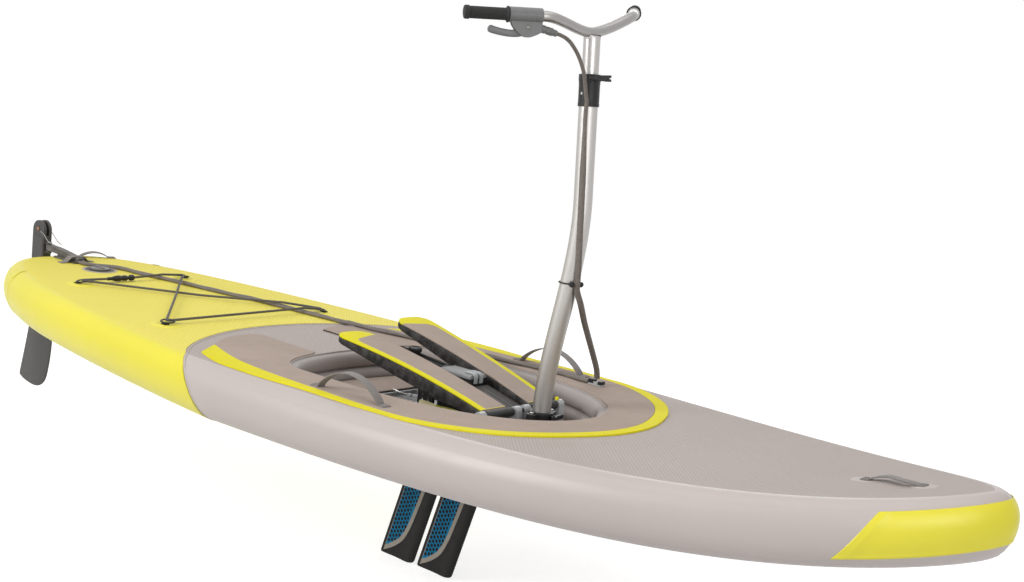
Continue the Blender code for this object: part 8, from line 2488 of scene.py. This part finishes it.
@dataclass
class Studio:
    """Camera, plain soft light and the pale floor."""

    azimuth: float = 40.16
    elevation: float = 8.598
    roll: float = 5.765
    distance: float = 4.169
    lens: float = 54.1
    target: Triple = (0.106, 0.284, 0.349)
    floor_z: float = -0.374
    floor_glow: float = 0.74

    def build(self) -> None:
        """Build the studio."""
        self._camera()
        self._world()
        self._lamps()
        self._floor()

    def _camera(self) -> None:
        """Place the camera."""
        turn, lift, roll = radians(self.azimuth), radians(self.elevation), radians(self.roll)
        back = Vector((sin(turn) * cos(lift), -cos(turn) * cos(lift), sin(lift)))
        right = Vector((cos(turn), sin(turn), 0.0))
        up = back.cross(right)
        across = right * cos(roll) + up * sin(roll)
        above = up * cos(roll) - right * sin(roll)
        data = bpy.data.cameras.new("camera")
        data.lens = self.lens
        data.sensor_width = 36.0
        data.clip_end = 60.0
        camera = in_scene("camera", data)
        matrix = Matrix((across, above, back)).transposed().to_4x4()
        matrix.translation = Vector(self.target) + back * self.distance
        camera.matrix_world = matrix
        bpy.context.scene.camera = camera

    def _world(self) -> None:
        """Light the room softly, with a white background."""
        world = bpy.data.worlds.new("studio_air")
        world.use_nodes = True
        tree = world.node_tree
        soft, white = tree.nodes["Background"], tree.nodes.new("ShaderNodeBackground")
        soft.inputs["Color"].default_value = (1.0, 0.985, 0.97, 1.0)
        soft.inputs["Strength"].default_value = 0.36
        white.inputs["Color"].default_value = (1, 1, 1, 1)
        white.inputs["Strength"].default_value = 1.0
        mix = tree.nodes.new("ShaderNodeMixShader")
        tree.links.new(self._seen(tree), mix.inputs[0])
        tree.links.new(soft.outputs[0], mix.inputs[1])
        tree.links.new(white.outputs[0], mix.inputs[2])
        tree.links.new(mix.outputs[0], tree.nodes["World Output"].inputs["Surface"])
        bpy.context.scene.world = world

    def _lamps(self) -> None:
        """Hang the soft boxes."""
        for name, place, aim, size, power, tint in (
                ("top_box", (0.3, -0.4, 3.6), (0.0, 0.0, 0.1), (4.5, 3.5), 42.0, (1.0, 0.985, 0.965)),
                ("key_box", (-1.5, -4.1, 2.3), (0.1, 0.0, 0.3), (1.4, 2.6), 118.0, (1.0, 0.99, 0.98)),
                ("bow_box", (3.9, -1.8, 1.5), (1.2, 0.0, 0.1), (2.0, 1.6), 40.0, (1.0, 0.99, 0.98)),
                ("back_box", (-2.0, 3.5, 2.4), (0.0, 0.0, 0.3), (2.6, 2.0), 26.0, (1.0, 1.0, 1.0))):
            data = bpy.data.lights.new(name, "AREA")
            data.shape = "RECTANGLE"
            data.size, data.size_y = size
            data.energy = power
            data.color = tint
            lamp = in_scene(name, data)
            lamp.location = place
            lamp.rotation_euler = (Vector(aim) - Vector(place)).to_track_quat("-Z", "Y").to_euler()

    def _floor(self) -> None:
        """Lay the pale floor."""
        floor = Draft("studio_floor")
        rows = [[Vector((-9 + 0.75 * i, -9 + 0.75 * k, self.floor_z)) for k in range(25)] for i in range(25)]
        piece = facing_up(floor.grid(rows).made(FLOOR, outward=False))
        tree = piece.data.materials[0].node_tree
        leave = next(node for node in tree.nodes if node.type == "OUTPUT_MATERIAL")
        lit = leave.inputs["Surface"].links[0].from_socket
        glow, total = tree.nodes.new("ShaderNodeEmission"), tree.nodes.new("ShaderNodeAddShader")
        glow.inputs["Color"].default_value = (1, 1, 1, 1)
        times = tree.nodes.new("ShaderNodeMath")
        times.operation = "MULTIPLY"
        tree.links.new(self._seen(tree), times.inputs[0])
        times.inputs[1].default_value = self.floor_glow
        tree.links.new(times.outputs[0], glow.inputs["Strength"])
        tree.links.new(lit, total.inputs[0])
        tree.links.new(glow.outputs[0], total.inputs[1])
        tree.links.new(total.outputs[0], leave.inputs["Surface"])

    def _seen(self, tree: bpy.types.NodeTree) -> Socket:
        """Return 1 for rays from the camera, a gloss or a clear piece, and 0 for all others."""
        path = tree.nodes.new("ShaderNodeLightPath")
        total = path.outputs["Is Camera Ray"]
        for ray in ("Is Glossy Ray", "Is Transmission Ray"):
            most = tree.nodes.new("ShaderNodeMath")
            most.operation = "MAXIMUM"
            tree.links.new(total, most.inputs[0])
            tree.links.new(path.outputs[ray], most.inputs[1])
            total = most.outputs[0]
        return total


def main() -> None:
    """Build every sub-assembly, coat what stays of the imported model, and light it."""
    logging.basicConfig(level=logging.INFO, format="%(name)s: %(message)s")
    for part in (Hull(), TailSkin(), NosePanel(), FootWell(), TractionPad(), DeckCable(), Bungee(), Valve(),
                 Pedal(-1, -1.45), Pedal(1, 1.45), Drive(), Fin("aft", 0.0816, "aft_fin_unit"),
                 Fin("forward", 0.2186, "forward_fin_unit"), Steering(), Rudder()):
        part.build()
        LOG.info("%s is built", type(part).__name__)
    make_handles()
    Studio().build()
    bpy.context.scene.view_settings.view_transform = "Standard"


if __name__ == "__main__":
    main()
